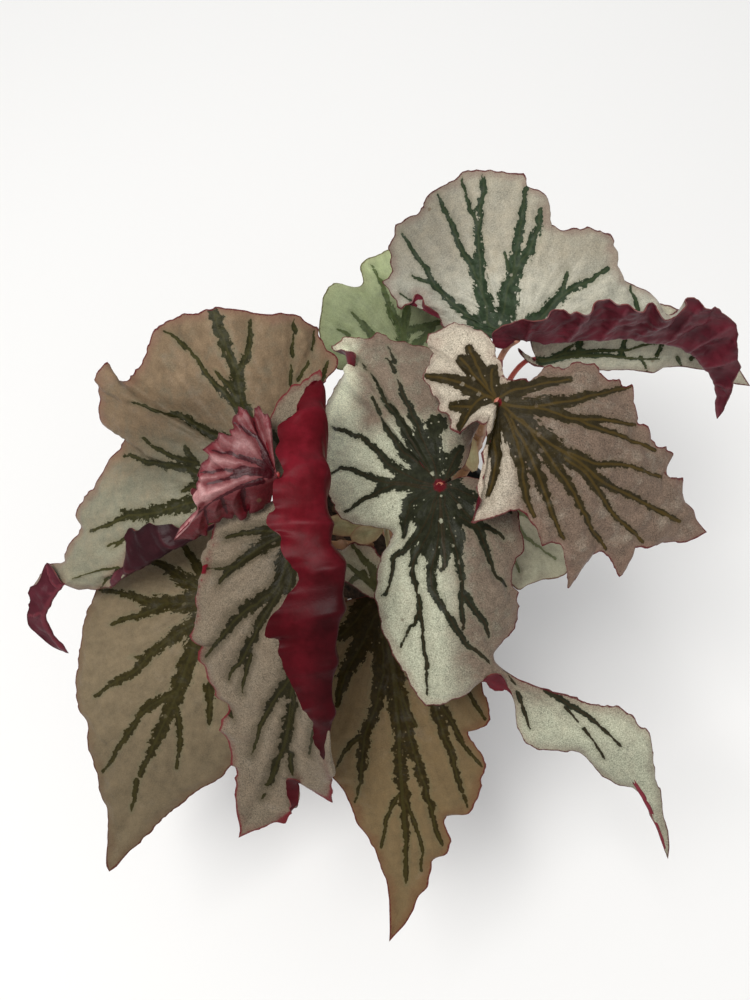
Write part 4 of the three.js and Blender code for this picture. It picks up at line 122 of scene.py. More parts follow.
   [[31.1,-5.2,299.6,1.12],[29.3,-4.6,298.8,1.09],[27.2,-3.0,297.9,1.04],[25.6,-1.4,297.3,0.99],[23.5,0.4,296.4,0.93],[21.4,2.1,295.3,0.86],[19.7,4.0,294.4,0.8],[17.4,5.5,293.0,0.72],[15.4,7.2,291.7,0.65],[13.1,8.5,290.2,0.57],[10.4,10.0,288.2,0.49],[8.1,11.2,286.4,0.41],[6.3,12.5,284.9,0.32]],
   [[31.2,-7.2,299.5,1.01],[30.2,-5.0,299.1,0.97],[28.3,-3.7,298.4,0.91],[26.4,-4.2,297.4,0.84],[24.5,-5.4,296.3,0.76],[22.9,-7.0,295.3,0.67],[21.7,-8.8,294.1,0.58],[20.8,-9.7,293.1,0.49],[19.6,-12.0,290.9,0.39],[18.9,-12.6,289.7,0.29]],
   [[22.6,-6.6,295.0,0.34],[21.3,-6.1,294.0,0.3],[19.0,-5.0,292.2,0.24],[17.1,-4.0,290.6,0.17],[15.6,-3.5,289.3,0.1]],
   [[33.1,-5.6,300.6,1.01],[34.7,-4.8,301.2,0.98],[36.7,-3.7,301.8,0.94],[38.9,-3.0,302.0,0.89],[41.2,-2.7,302.1,0.84],[43.3,-2.1,302.2,0.78],[45.4,-1.6,302.4,0.72],[47.3,-1.0,302.6,0.65],[49.9,-0.3,302.7,0.58],[52.1,0.3,302.5,0.51],[54.8,0.8,302.3,0.44],[57.2,1.2,302.3,0.37],[59.1,1.5,302.4,0.29]],
   [[33.9,-7.9,300.5,1.06],[35.2,-8.7,300.9,1.05],[37.7,-9.7,301.6,1.03],[40.2,-10.3,302.2,1.0],[42.5,-10.7,302.7,0.98],[44.8,-10.8,303.0,0.95],[47.2,-10.3,303.2,0.91],[49.1,-10.1,303.3,0.88],[52.0,-9.6,303.4,0.85],[54.3,-9.2,303.4,0.81],[56.3,-8.7,303.4,0.77],[58.8,-8.4,303.3,0.74],[61.1,-7.8,303.1,0.7],[63.3,-7.1,302.8,0.66],[65.6,-5.9,302.2,0.62],[68.3,-4.8,301.2,0.57],[70.8,-3.8,300.4,0.53],[73.7,-2.8,299.5,0.49],[76.0,-1.5,298.8,0.44],[79.5,-0.0,297.1,0.4],[82.2,1.1,295.9,0.35],[84.0,2.2,295.2,0.3]],
   [[34.7,-8.8,300.7,0.95],[36.1,-9.4,301.1,0.94],[38.7,-10.1,301.8,0.92],[41.5,-10.7,302.5,0.9],[43.8,-11.3,302.9,0.87],[46.0,-11.1,303.1,0.85],[48.0,-11.7,303.2,0.82],[50.1,-12.0,303.3,0.79],[52.2,-13.1,303.2,0.76],[54.5,-13.9,303.1,0.73],[56.9,-14.9,302.9,0.69],[59.1,-15.3,302.6,0.66],[61.3,-15.3,302.2,0.62],[64.0,-15.3,301.5,0.59],[66.5,-14.7,300.9,0.55],[69.0,-14.3,300.2,0.51],[71.4,-13.9,299.5,0.47],[74.3,-14.0,298.2,0.44],[77.3,-14.0,297.0,0.4],[80.5,-13.8,295.4,0.35],[83.1,-13.5,293.9,0.31],[85.0,-13.0,292.6,0.27]],
   [[59.6,-15.2,302.6,0.67],[61.2,-15.6,302.2,0.66],[63.4,-16.5,301.4,0.63],[65.8,-17.2,300.6,0.61],[67.9,-17.4,300.0,0.58],[70.3,-17.8,299.0,0.55],[73.0,-18.4,297.8,0.51],[75.5,-18.4,296.8,0.48],[77.8,-18.8,295.7,0.44],[80.7,-19.1,294.0,0.4],[83.3,-19.6,292.4,0.36],[85.5,-19.6,291.3,0.32],[88.5,-19.9,289.6,0.28],[91.3,-20.5,287.3,0.24],[93.2,-20.8,286.2,0.19]],
   [[40.2,-15.3,301.9,1.06],[41.2,-16.7,302.1,1.05],[42.5,-18.5,302.1,1.04],[44.7,-20.4,302.1,1.02],[46.7,-22.0,301.9,0.99],[47.9,-23.2,301.7,0.97],[49.9,-24.6,301.4,0.95],[51.6,-25.8,301.1,0.92],[53.5,-26.5,300.7,0.89],[55.6,-27.7,300.1,0.86],[57.6,-28.0,299.6,0.83],[59.9,-28.7,298.8,0.8],[62.1,-29.4,298.0,0.77],[64.5,-29.8,297.2,0.74],[67.0,-30.5,296.0,0.71],[69.4,-30.5,295.1,0.67],[71.8,-30.0,294.3,0.64],[74.4,-29.7,293.3,0.6],[77.2,-29.2,292.1,0.57],[79.7,-28.9,291.0,0.53],[82.5,-28.9,289.6,0.5],[85.5,-29.2,287.8,0.46],[88.3,-29.3,286.1,0.42],[91.4,-29.8,284.0,0.38],[93.9,-29.5,282.4,0.34],[96.1,-29.5,280.7,0.3]],
   [[33.1,-7.8,300.1,1.46],[34.4,-9.4,300.5,1.45],[35.9,-11.4,300.9,1.43],[37.4,-13.6,301.2,1.41],[39.5,-15.8,301.7,1.39],[41.2,-17.6,302.0,1.37],[43.0,-19.3,302.0,1.35],[44.9,-20.9,302.0,1.32],[46.5,-22.2,301.9,1.3],[48.5,-23.7,301.7,1.27],[50.6,-25.1,301.3,1.24],[52.3,-26.2,300.9,1.22],[53.7,-27.0,300.5,1.19],[55.8,-28.1,299.9,1.16],[57.9,-29.2,299.1,1.13],[60.0,-30.2,298.3,1.1],[61.7,-31.1,297.5,1.07],[64.1,-32.4,296.4,1.03],[65.9,-33.6,295.2,1.0],[67.3,-34.9,293.9,0.97],[69.5,-35.8,292.6,0.93],[71.5,-36.5,291.3,0.9],[73.9,-37.0,289.7,0.87],[76.6,-37.5,287.9,0.83],[79.0,-37.9,286.3,0.79],[81.4,-38.3,284.8,0.76],[84.2,-38.9,282.9,0.72],[86.5,-39.4,281.4,0.69],[89.2,-40.0,279.6,0.65],[91.6,-40.6,278.0,0.61],[94.4,-41.1,276.2,0.57],[97.4,-41.6,274.3,0.53],[100.1,-42.4,272.4,0.49],[102.8,-42.9,270.6,0.46],[104.9,-43.1,269.3,0.42]],
   [[55.8,-29.8,298.7,0.9],[57.2,-30.6,298.1,0.88],[59.3,-31.6,297.2,0.86],[62.0,-32.8,296.2,0.83],[64.2,-34.2,294.9,0.81],[65.6,-35.6,293.6,0.77],[67.0,-36.9,292.2,0.74],[68.6,-38.4,290.5,0.71],[70.2,-40.1,288.5,0.67],[71.9,-41.2,286.7,0.64],[73.7,-42.8,284.3,0.6],[75.4,-44.2,282.0,0.56],[77.2,-45.4,280.0,0.52],[79.2,-46.5,278.0,0.48],[81.7,-47.4,275.9,0.43],[83.6,-48.3,274.4,0.39],[85.9,-49.3,272.6,0.35],[88.4,-50.7,269.9,0.3],[90.0,-51.5,268.1,0.26]],
   [[43.6,-20.4,301.8,1.23],[44.2,-21.5,301.5,1.22],[45.5,-23.4,300.9,1.19],[47.1,-25.2,300.4,1.17],[48.4,-27.1,299.6,1.14],[50.1,-29.2,298.6,1.1],[51.4,-31.0,297.7,1.07],[52.9,-32.6,296.7,1.03],[54.4,-34.4,295.4,1.0],[55.9,-35.6,294.4,0.96],[57.3,-37.3,293.0,0.92],[58.5,-38.7,291.7,0.87],[60.0,-40.2,290.4,0.83],[61.0,-41.7,288.9,0.79],[62.3,-43.5,287.1,0.74],[63.4,-45.1,285.5,0.7],[65.3,-46.6,283.8,0.65],[66.3,-48.1,281.9,0.6],[68.0,-50.0,279.4,0.55],[69.9,-51.4,276.6,0.5],[72.3,-52.5,273.6,0.45],[73.8,-53.7,271.4,0.4],[74.8,-54.7,269.4,0.35]],
   [[36.6,-14.3,300.5,1.12],[37.3,-15.9,300.5,1.1],[38.0,-18.0,300.2,1.08],[39.0,-20.3,300.0,1.06],[40.2,-22.1,299.9,1.03],[41.4,-24.5,299.3,1.0],[42.7,-27.1,298.3,0.96],[43.7,-28.9,297.5,0.93],[44.4,-30.7,296.5,0.89],[45.7,-32.9,295.3,0.85],[46.6,-34.9,294.1,0.82],[47.6,-36.9,292.9,0.77],[48.4,-38.9,291.5,0.73],[49.3,-40.5,290.3,0.69],[50.0,-41.8,289.3,0.65],[51.0,-44.0,287.4,0.6],[51.8,-45.5,285.9,0.56],[52.7,-47.1,284.2,0.51],[54.1,-48.7,282.3,0.47],[55.5,-50.7,280.0,0.42],[56.5,-52.3,278.1,0.37],[57.9,-53.5,276.6,0.32]],
   [[34.5,-11.9,299.9,1.01],[35.2,-13.2,300.0,0.99],[36.1,-15.4,299.9,0.97],[37.0,-18.1,299.6,0.94],[37.6,-20.8,299.1,0.91],[38.4,-22.4,299.0,0.87],[38.9,-24.3,298.5,0.84],[39.3,-26.6,297.7,0.8],[39.9,-28.7,297.0,0.76],[40.6,-30.9,295.9,0.72],[40.9,-32.5,294.9,0.67],[40.7,-34.5,293.7,0.63],[41.1,-36.4,292.4,0.58],[41.9,-38.3,290.9,0.54],[42.2,-40.1,289.4,0.49],[42.7,-42.0,287.7,0.44],[43.8,-43.9,285.9,0.39],[45.1,-45.8,284.4,0.34],[45.8,-46.9,283.3,0.29]],
   [[31.7,-10.4,299.4,0.78],[31.4,-11.8,299.1,0.77],[30.9,-14.2,298.4,0.75],[30.6,-17.0,297.4,0.72],[30.5,-19.1,296.4,0.69],[30.5,-21.0,295.3,0.66],[30.9,-23.4,294.3,0.63],[31.1,-25.9,293.4,0.59],[31.0,-28.1,292.4,0.56],[31.0,-30.3,291.4,0.52],[30.5,-32.5,290.0,0.48],[30.1,-34.5,288.7,0.44],[29.7,-36.3,287.3,0.4],[29.0,-37.8,286.0,0.36],[27.1,-40.4,284.9,0.31],[25.9,-42.3,283.7,0.27],[25.5,-43.1,282.3,0.22]],
  ],
  "auto": [
  ],
  "zones": [[33.1,-7.0,300.3,2.24],[36.1,-8.7,301.2,2.23],[39.4,-10.4,302.0,2.97],[43.7,-11.6,302.8,2.59],[47.8,-13.1,303.1,1.84],[51.0,-13.9,303.1,1.47],[38.0,-13.8,301.5,2.96],[40.6,-17.6,301.7,3.32],[43.9,-20.4,301.9,2.94],[47.2,-23.3,301.5,2.93],[50.2,-26.0,300.6,2.56],[52.9,-28.3,299.6,2.2],[35.8,-15.1,299.8,1.86],[37.7,-19.5,299.6,1.85],[38.6,-23.8,298.6,1.48]], "clear": [[25.1,-13.0,304.1,2.94],[27.8,-13.2,306.0,2.93],[29.0,-13.5,300.4,2.6],[26.4,-15.3,305.0,2.93],[22.9,-13.9,300.0,2.23],[28.5,-16.2,298.4,1.86]]},
 "blade_centre": {
  "midrib": [[12.0,-27.8,268.0],[11.7,-38.4,269.0],[12.4,-52.9,269.0],[15.7,-73.5,264.0],[23.9,-87.3,252.0],[35.1,-96.2,243.0],[52.1,-106.7,233.0],[72.2,-120.8,227.0],[88.2,-135.6,221.0],[98.9,-151.0,212.0],[105.1,-164.7,203.0]],
  "halves": [
   {"sign": 1, "turn": 51, "arch": 0.06,
    "margin": [[14.4,-25.2,268.0],[16.5,-23.1,268.0],[19.0,-20.9,267.0],[21.9,-19.1,267.0],[23.9,-14.5,266.0],[25.2,-8.2,265.5],[26.7,-2.6,265.0],[29.6,5.2,264.0],[29.6,14.2,263.0],[26.3,23.2,262.0],[20.7,31.5,261.0],[14.1,37.5,260.0],[9.9,39.0,260.0],[5.7,40.0,260.0],[0.9,42.0,260.6],[-3.2,43.0,261.0],[-8.0,43.2,260.5],[-8.7,44.9,260.4],[-10.4,45.8,260.2],[-12.5,46.8,260.0],[-14.2,45.1,259.5],[-16.3,45.1,259.0],[-21.2,46.5,258.0],[-26.2,48.5,255.2],[-29.0,48.0,253.4],[-31.2,47.2,252.0],[-33.0,46.0,250.6],[-32.8,45.2,250.0],[-30.8,42.6,252.0],[-27.3,39.7,258.0],[-24.9,38.0,261.0],[-22.9,36.6,262.5],[-23.2,34.0,262.5],[-22.3,31.3,261.5],[-22.7,30.9,259.0],[-24.6,32.8,254.0],[-26.8,33.1,250.5],[-28.7,30.7,248.5],[-31.2,27.6,247.0],[-34.6,21.7,244.0],[-36.6,15.8,243.3],[-37.3,12.8,243.0],[-35.5,9.7,243.0],[-35.4,5.1,243.0],[-36.0,0.5,243.0],[-35.9,-4.8,243.0],[-36.5,-9.3,243.0],[-35.7,-14.5,243.0],[-34.2,-20.4,243.0],[-31.8,-24.3,243.5],[-30.3,-28.8,244.0],[-27.5,-33.1,245.0],[-22.8,-35.7,247.0],[-14.2,-38.2,250.0],[-8.5,-40.2,252.0],[-6.1,-41.9,251.0],[-7.7,-45.8,250.0],[-10.3,-49.8,249.6],[-12.4,-58.3,249.0],[-12.9,-62.3,248.6],[-13.9,-68.3,248.0],[-12.4,-71.2,247.5],[-11.4,-77.1,246.7],[-10.0,-81.9,246.0],[-7.5,-86.6,244.6],[-5.6,-92.2,243.0],[-1.2,-97.2,241.4],[1.2,-102.3,240.0],[4.1,-106.7,237.6],[6.4,-109.3,236.0],[11.5,-108.0,236.4],[19.4,-105.6,237.0],[24.3,-103.3,237.6],[25.8,-100.4,238.0],[28.1,-99.9,240.0],[29.3,-99.2,244.0],[31.2,-98.4,246.5],[33.3,-98.2,247.0],[35.5,-98.3,246.5],[37.3,-100.1,244.0],[39.1,-102.5,238.0],[42.4,-104.9,233.0],[43.0,-110.9,228.0],[44.0,-116.2,224.2],[46.7,-120.1,221.0],[50.2,-122.4,220.0],[54.3,-123.3,219.0],[61.4,-123.4,219.0],[68.3,-123.5,219.0],[70.9,-124.6,218.3],[74.4,-128.4,217.0],[78.7,-133.1,215.8],[82.2,-135.4,215.0],[86.2,-136.8,214.5],[91.2,-137.8,214.0],[94.2,-140.1,213.1],[96.6,-143.8,212.0],[97.5,-148.0,210.6],[100.0,-152.2,209.0],[102.7,-158.2,206.1],[105.1,-164.7,203.0]],
    "rolls": [[25.0,0.93,0.0,-0.0,-0.0],[26.0,0.93,0.75,-0.52,0.7],[27.0,0.93,1.04,-0.56,1.24],[28.0,0.93,0.43,-0.22,-0.12],[29.0,0.92,-5.58,6.46,-5.8],[30.0,0.92,-6.62,5.72,-7.56],[31.0,0.92,-7.38,4.96,-8.44],[32.0,0.92,-6.24,6.05,-8.44],[33.0,0.92,-6.29,7.46,-7.82],[34.0,0.93,-5.02,6.39,-5.83],[35.0,0.94,-0.08,-0.24,-0.34],[36.0,0.94,0.0,-0.0,0.0],[74.0,0.6,-0.0,-0.0,-0.0],[75.0,0.62,-1.32,-2.96,-5.11],[76.0,0.62,-1.15,-5.09,-6.94],[77.0,0.62,-0.91,-5.92,-6.98],[78.0,0.62,-0.81,-6.07,-6.39],[79.0,0.6,0.14,-4.06,-5.09],[80.0,0.6,0.0,-0.0,-0.0]], "pins": [[69,0.3299],[71,0.3718],[72,0.3926],[74,0.4141],[76,0.4281],[78,0.4434],[80,0.4597],[83,0.5127],[87,0.6083],[92,0.7479]], "comb": 1, "soft": 3, "edge": 6},
   {"sign": -1, "turn": 5, "arch": 0.07,
    "margin": [[16.0,-27.0,268.0],[19.2,-23.9,268.0],[24.1,-23.4,267.0],[28.2,-24.4,266.0],[33.0,-28.7,264.0],[38.1,-33.1,263.0],[42.2,-34.8,262.0],[43.5,-37.9,261.0],[43.9,-40.9,260.0],[44.6,-44.0,259.1],[44.9,-47.8,258.0],[44.5,-51.3,257.2],[41.9,-53.8,256.5],[40.5,-55.5,256.0],[41.0,-59.2,255.0],[40.4,-63.0,254.0],[41.2,-65.5,253.5],[43.2,-67.0,253.0],[42.8,-69.4,251.9],[43.8,-73.5,250.0],[40.0,-80.9,246.0],[35.1,-86.4,244.1],[32.6,-89.6,243.0],[32.8,-91.8,241.9],[34.1,-93.2,241.0],[38.0,-95.9,240.0],[42.9,-98.7,239.2],[50.7,-101.4,238.0],[62.8,-104.7,235.0],[72.8,-107.6,233.1],[78.9,-108.1,232.0],[84.1,-108.4,230.6],[88.6,-111.6,229.0],[92.0,-114.3,228.1],[96.4,-117.6,227.0],[97.2,-123.1,224.7],[97.5,-129.5,222.0],[98.7,-134.9,219.0],[101.1,-140.4,216.3],[101.9,-147.7,213.0],[104.5,-154.1,209.4],[105.4,-160.5,206.0],[105.1,-164.7,203.0]],
    "rolls": [], "pins": [[20,0.2926],[21,0.3633],[22,0.3926],[24,0.4233],[25,0.4488],[26,0.4827],[27,0.525],[28,0.5948],[30,0.6812],[34,0.794]], "comb": -1, "soft": 3, "edge": 6},
  ],
  "veins": [
   [[12.0,-27.3,268.0,1.68],[11.2,-25.8,268.2,1.66],[9.2,-23.5,267.9,1.62],[7.5,-21.1,267.8,1.58],[6.3,-18.4,267.8,1.54],[4.8,-16.1,267.7,1.49],[3.8,-13.6,267.6,1.44],[2.4,-11.0,267.6,1.39],[1.2,-8.4,267.6,1.34],[-0.3,-5.9,267.3,1.28],[-1.3,-3.0,267.4,1.22],[-2.6,-0.2,267.4,1.16],[-4.1,2.6,267.1,1.1],[-5.2,4.6,266.8,1.04],[-7.1,7.3,265.8,0.97],[-8.6,9.7,265.1,0.91],[-10.1,12.5,264.5,0.84],[-11.4,15.7,264.3,0.77],[-12.9,19.1,263.9,0.7],[-13.9,21.8,263.6,0.63],[-15.6,25.2,262.6,0.55],[-17.1,27.9,261.7,0.48]],
   [[10.4,-25.5,267.9,1.46],[9.6,-23.9,267.9,1.43],[7.9,-21.8,267.8,1.39],[5.5,-19.2,266.8,1.35],[3.2,-16.9,266.1,1.3],[1.5,-14.9,265.7,1.24],[-0.4,-13.1,265.1,1.19],[-2.3,-11.5,264.3,1.13],[-4.1,-8.7,263.8,1.07],[-5.5,-6.2,263.5,1.0],[-6.7,-3.8,263.1,0.93],[-8.0,-1.3,262.7,0.87],[-9.1,1.2,262.4,0.79],[-10.4,4.6,262.8,0.72],[-11.4,6.9,263.6,0.65],[-12.4,8.7,263.2,0.57],[-13.8,12.2,262.7,0.49],[-15.0,14.8,262.4,0.42]],
   [[11.3,-24.5,268.3,1.9],[10.6,-23.1,268.4,1.87],[10.2,-20.0,268.7,1.82],[9.5,-17.3,268.9,1.76],[8.4,-14.5,269.0,1.7],[7.0,-12.2,269.1,1.63],[6.2,-9.5,269.3,1.55],[4.9,-7.4,269.2,1.47],[4.3,-4.7,269.3,1.39],[3.6,-1.4,269.3,1.31],[2.3,1.3,269.2,1.22],[1.1,3.4,269.0,1.13],[0.5,6.7,268.8,1.04],[-1.0,9.4,268.5,0.94],[-1.9,12.1,268.1,0.85],[-2.9,14.7,267.7,0.75],[-3.5,18.7,267.2,0.65],[-4.4,21.4,266.6,0.54]],
   [[-5.5,24.7,265.9,0.67],[-6.1,26.7,265.4,0.56],[-7.4,30.7,264.4,0.39],[-9.1,32.6,263.7,0.19]],
   [[-18.7,30.0,260.5,0.67],[-19.7,32.0,259.8,0.56],[-21.2,34.7,258.8,0.39],[-21.9,36.1,258.3,0.19]],
   [[-5.3,29.6,264.8,0.56],[-6.3,32.8,263.9,0.46],[-7.4,36.8,262.8,0.32],[-8.4,40.1,261.9,0.16]],
   [[10.1,-26.9,267.4,1.34],[8.2,-26.5,266.8,1.32],[5.8,-25.4,266.1,1.3],[3.0,-24.0,265.1,1.26],[0.7,-22.3,264.4,1.23],[-1.5,-20.7,263.6,1.19],[-4.3,-18.8,262.6,1.14],[-6.5,-16.9,261.7,1.1],[-8.7,-15.0,260.7,1.05],[-10.3,-12.6,260.0,1.0],[-11.7,-10.2,259.5,0.95],[-13.2,-7.8,258.9,0.9],[-15.0,-5.6,258.1,0.85],[-17.2,-3.0,257.0,0.8],[-19.4,-0.3,255.8,0.74],[-22.0,1.0,254.0,0.68],[-24.5,3.1,252.3,0.63],[-27.1,5.3,250.5,0.57],[-30.3,6.9,247.9,0.51],[-32.8,8.9,246.0,0.45],[-35.1,11.9,244.4,0.38]],
   [[8.5,-27.6,266.7,1.23],[6.9,-26.8,266.3,1.21],[4.3,-26.5,265.3,1.18],[1.4,-25.4,264.3,1.14],[-1.4,-24.4,263.3,1.1],[-3.7,-23.8,262.4,1.05],[-6.4,-23.2,261.3,1.0],[-8.4,-23.2,260.2,0.95],[-11.2,-21.9,259.0,0.9],[-13.1,-20.7,258.1,0.85],[-15.4,-19.3,257.0,0.79],[-18.0,-17.6,255.6,0.73],[-20.6,-15.7,254.1,0.67],[-23.2,-13.7,252.5,0.61],[-25.6,-12.7,250.8,0.55],[-28.1,-11.8,249.1,0.48],[-31.0,-11.9,247.0,0.42],[-32.9,-12.6,245.4,0.35]],
   [[8.5,-29.0,266.7,1.23],[6.8,-28.3,266.0,1.21],[4.2,-27.4,265.1,1.17],[1.3,-26.3,264.1,1.12],[-1.2,-25.2,263.3,1.07],[-3.9,-24.7,262.2,1.02],[-6.5,-24.2,261.0,0.96],[-8.7,-24.9,259.8,0.91],[-10.9,-25.2,258.5,0.84],[-13.4,-26.4,256.7,0.78],[-15.7,-27.1,255.1,0.71],[-18.0,-27.1,253.6,0.64],[-20.1,-28.0,251.9,0.57],[-22.1,-29.1,250.2,0.5],[-24.6,-30.3,248.0,0.43],[-26.7,-30.4,246.4,0.35]],
   [[11.1,-30.8,268.0,1.46],[10.4,-32.4,267.9,1.43],[9.3,-34.6,267.6,1.4],[8.5,-37.5,267.3,1.36],[7.1,-40.2,266.2,1.32],[6.0,-42.3,265.1,1.27],[4.7,-43.7,263.8,1.22],[3.3,-46.2,262.7,1.17],[1.9,-47.9,261.8,1.12],[0.1,-49.8,260.5,1.06],[-1.3,-50.8,259.4,1.0],[-3.1,-51.9,257.8,0.94],[-5.4,-52.0,255.4,0.88],[-6.5,-54.2,254.7,0.82],[-6.8,-57.3,254.7,0.76],[-7.4,-60.5,254.2,0.69],[-7.6,-62.6,254.0,0.62],[-8.2,-64.9,253.4,0.56],[-9.0,-67.2,252.3,0.49],[-11.0,-67.8,250.3,0.42]],
   [[10.8,-33.8,268.2,1.12],[10.2,-36.0,268.2,1.11],[9.4,-38.2,267.8,1.09],[8.7,-41.0,267.2,1.07],[7.9,-43.9,266.4,1.05],[7.0,-46.2,265.7,1.03],[6.1,-48.7,265.2,1.01],[4.3,-51.3,264.0,0.98],[3.1,-53.1,263.1,0.96],[1.9,-54.2,262.2,0.93],[1.3,-57.0,261.6,0.9],[0.7,-58.9,261.1,0.87],[0.4,-61.8,260.6,0.84],[0.7,-63.5,260.5,0.81],[1.6,-66.1,260.5,0.78],[2.1,-68.8,260.0,0.75],[3.1,-71.3,259.8,0.71],[3.3,-74.1,258.9,0.68],[3.9,-75.9,258.4,0.65],[3.8,-77.9,257.4,0.61],[4.5,-80.6,256.3,0.58],[4.6,-82.7,255.1,0.54],[4.6,-84.8,253.8,0.51],[4.9,-86.9,252.5,0.47],[5.2,-89.0,251.1,0.43],[5.5,-91.2,249.7,0.4],[6.5,-94.1,248.1,0.36],[7.2,-95.9,247.1,0.32]],
   [[6.1,-94.5,247.7,0.45],[6.1,-95.8,246.8,0.42],[6.4,-98.4,245.0,0.37],[6.1,-100.1,243.6,0.32],[6.7,-102.4,241.9,0.26],[6.6,-104.1,240.5,0.2],[6.7,-105.6,239.2,0.13]],
   [[3.2,-76.2,257.9,0.73],[2.4,-77.7,256.8,0.69],[1.6,-80.3,254.9,0.63],[-0.3,-81.4,253.2,0.56],[-1.3,-83.1,251.5,0.48],[-2.4,-85.1,249.5,0.39],[-3.3,-86.9,247.8,0.3],[-4.0,-88.6,246.2,0.21]],
   [[12.3,-34.5,268.7,1.68],[11.7,-35.9,268.8,1.66],[11.7,-38.9,269.0,1.64],[11.5,-41.1,269.0,1.62],[10.8,-44.7,268.6,1.59],[10.9,-47.0,268.7,1.56],[10.5,-50.1,268.3,1.53],[10.2,-52.4,267.8,1.49],[9.3,-54.8,266.9,1.46],[8.7,-57.3,266.1,1.42],[8.3,-59.9,265.5,1.38],[7.6,-61.7,264.8,1.34],[7.7,-64.2,264.3,1.3],[7.8,-66.7,263.6,1.26],[8.1,-68.3,263.3,1.21],[9.1,-70.5,263.0,1.17],[10.2,-72.5,262.7,1.13],[11.8,-75.1,262.0,1.08],[13.2,-76.7,261.5,1.03],[14.2,-78.4,260.5,0.99],[15.4,-80.1,259.5,0.94],[16.8,-82.1,257.9,0.89],[17.8,-83.7,256.5,0.84],[19.5,-85.3,254.9,0.79],[21.1,-87.2,253.0,0.74],[22.2,-88.6,251.6,0.69],[25.0,-89.6,250.1,0.64],[27.1,-90.7,248.7,0.59],[29.2,-92.1,247.2,0.53],[31.0,-93.0,245.8,0.48]],
   [[13.5,-32.4,268.5,1.57],[13.8,-33.9,268.6,1.55],[13.5,-36.1,268.8,1.52],[14.1,-39.0,268.9,1.48],[14.9,-42.0,268.9,1.45],[15.3,-45.0,268.9,1.4],[16.1,-48.0,268.8,1.36],[16.8,-50.2,268.5,1.32],[17.1,-53.0,268.0,1.27],[18.1,-55.9,267.3,1.22],[18.2,-58.1,266.9,1.17],[18.7,-60.2,266.4,1.11],[19.2,-62.4,265.9,1.06],[19.8,-64.5,265.3,1.0],[19.8,-67.3,264.8,0.95],[19.9,-69.3,264.2,0.89],[19.8,-71.4,263.6,0.83],[19.7,-74.0,262.6,0.77],[19.4,-75.8,261.8,0.71],[19.8,-78.1,260.3,0.64],[20.3,-80.7,258.2,0.58],[20.4,-82.6,256.8,0.51],[19.9,-82.1,257.3,0.45]],
   [[20.4,-71.3,263.4,1.23],[21.5,-72.6,262.6,1.17],[23.0,-74.5,261.2,1.09],[24.7,-76.3,259.6,0.99],[26.1,-78.0,257.9,0.87],[28.0,-79.1,256.2,0.75],[29.4,-80.7,254.2,0.63],[30.2,-83.0,251.7,0.49],[30.9,-84.5,250.0,0.35]],
   [[15.0,-29.8,268.2,1.46],[16.2,-31.3,268.3,1.43],[17.2,-33.5,268.5,1.4],[19.1,-35.8,268.4,1.35],[20.5,-38.0,268.3,1.31],[22.8,-40.3,267.9,1.26],[23.9,-41.9,267.6,1.21],[25.5,-43.4,267.2,1.15],[26.8,-45.7,266.7,1.09],[27.8,-47.9,266.2,1.03],[28.5,-50.1,265.5,0.97],[29.5,-52.1,264.5,0.91],[30.4,-54.2,263.4,0.84],[31.1,-56.2,262.4,0.77],[32.2,-58.3,261.1,0.71],[33.0,-60.5,260.2,0.64],[34.0,-62.6,259.1,0.56],[36.3,-64.0,257.3,0.49],[38.1,-65.3,256.0,0.42]],
   [[19.2,-40.8,268.4,0.78],[20.5,-41.7,268.2,0.75],[23.1,-43.3,267.7,0.69],[25.3,-44.9,267.2,0.63],[27.7,-45.0,266.5,0.56],[30.1,-44.4,265.8,0.48],[32.8,-45.3,264.7,0.4],[35.4,-46.2,263.4,0.31],[37.1,-47.8,262.3,0.22]],
   [[12.0,-27.8,268.0,3.08],[13.6,-26.9,268.3,2.72],[15.3,-24.6,268.2,2.19],[16.9,-22.9,268.2,1.57],[17.9,-21.4,268.1,0.88]],
   [[14.3,-24.8,268.3,1.68],[14.9,-23.1,268.4,1.56],[16.0,-20.6,268.5,1.39],[17.1,-18.0,268.6,1.19],[18.1,-15.7,268.6,0.97],[19.6,-13.1,268.4,0.73],[21.0,-11.6,268.0,0.48]],
   [[43.1,-103.6,235.8,0.67],[44.0,-105.4,234.3,0.63],[44.8,-107.8,232.5,0.56],[45.6,-109.7,231.1,0.48],[46.9,-112.0,229.2,0.39],[47.6,-114.2,227.4,0.29],[48.6,-116.1,225.7,0.19]],
   [[53.9,-103.0,236.7,0.9],[55.8,-103.7,236.1,0.88],[58.2,-104.8,235.3,0.85],[60.6,-106.0,234.5,0.82],[62.3,-107.2,233.9,0.78],[64.8,-108.7,233.2,0.74],[66.7,-109.6,232.7,0.7],[69.2,-110.9,232.2,0.66],[71.1,-111.9,231.7,0.61],[72.7,-113.3,231.1,0.57],[75.0,-114.8,230.4,0.52],[76.5,-116.3,229.6,0.47],[78.7,-118.0,228.9,0.42],[80.9,-119.9,228.1,0.36],[82.4,-121.4,227.4,0.31],[84.5,-123.3,226.7,0.26]],
   [[62.1,-108.9,233.0,0.45],[63.6,-110.5,232.1,0.37],[65.7,-112.5,231.1,0.26],[67.3,-114.2,230.3,0.13]],
   [[69.9,-116.8,229.1,0.45],[70.7,-118.1,228.4,0.42],[72.8,-120.3,227.4,0.37],[74.1,-122.2,226.5,0.32],[75.3,-124.1,225.1,0.26],[77.0,-125.9,224.2,0.2],[78.1,-127.6,223.0,0.13]],
   [[36.9,-95.4,240.6,0.34],[38.6,-96.6,240.3,0.3],[39.6,-98.4,240.1,0.24],[41.0,-99.9,239.1,0.17],[42.1,-100.9,238.2,0.1]],
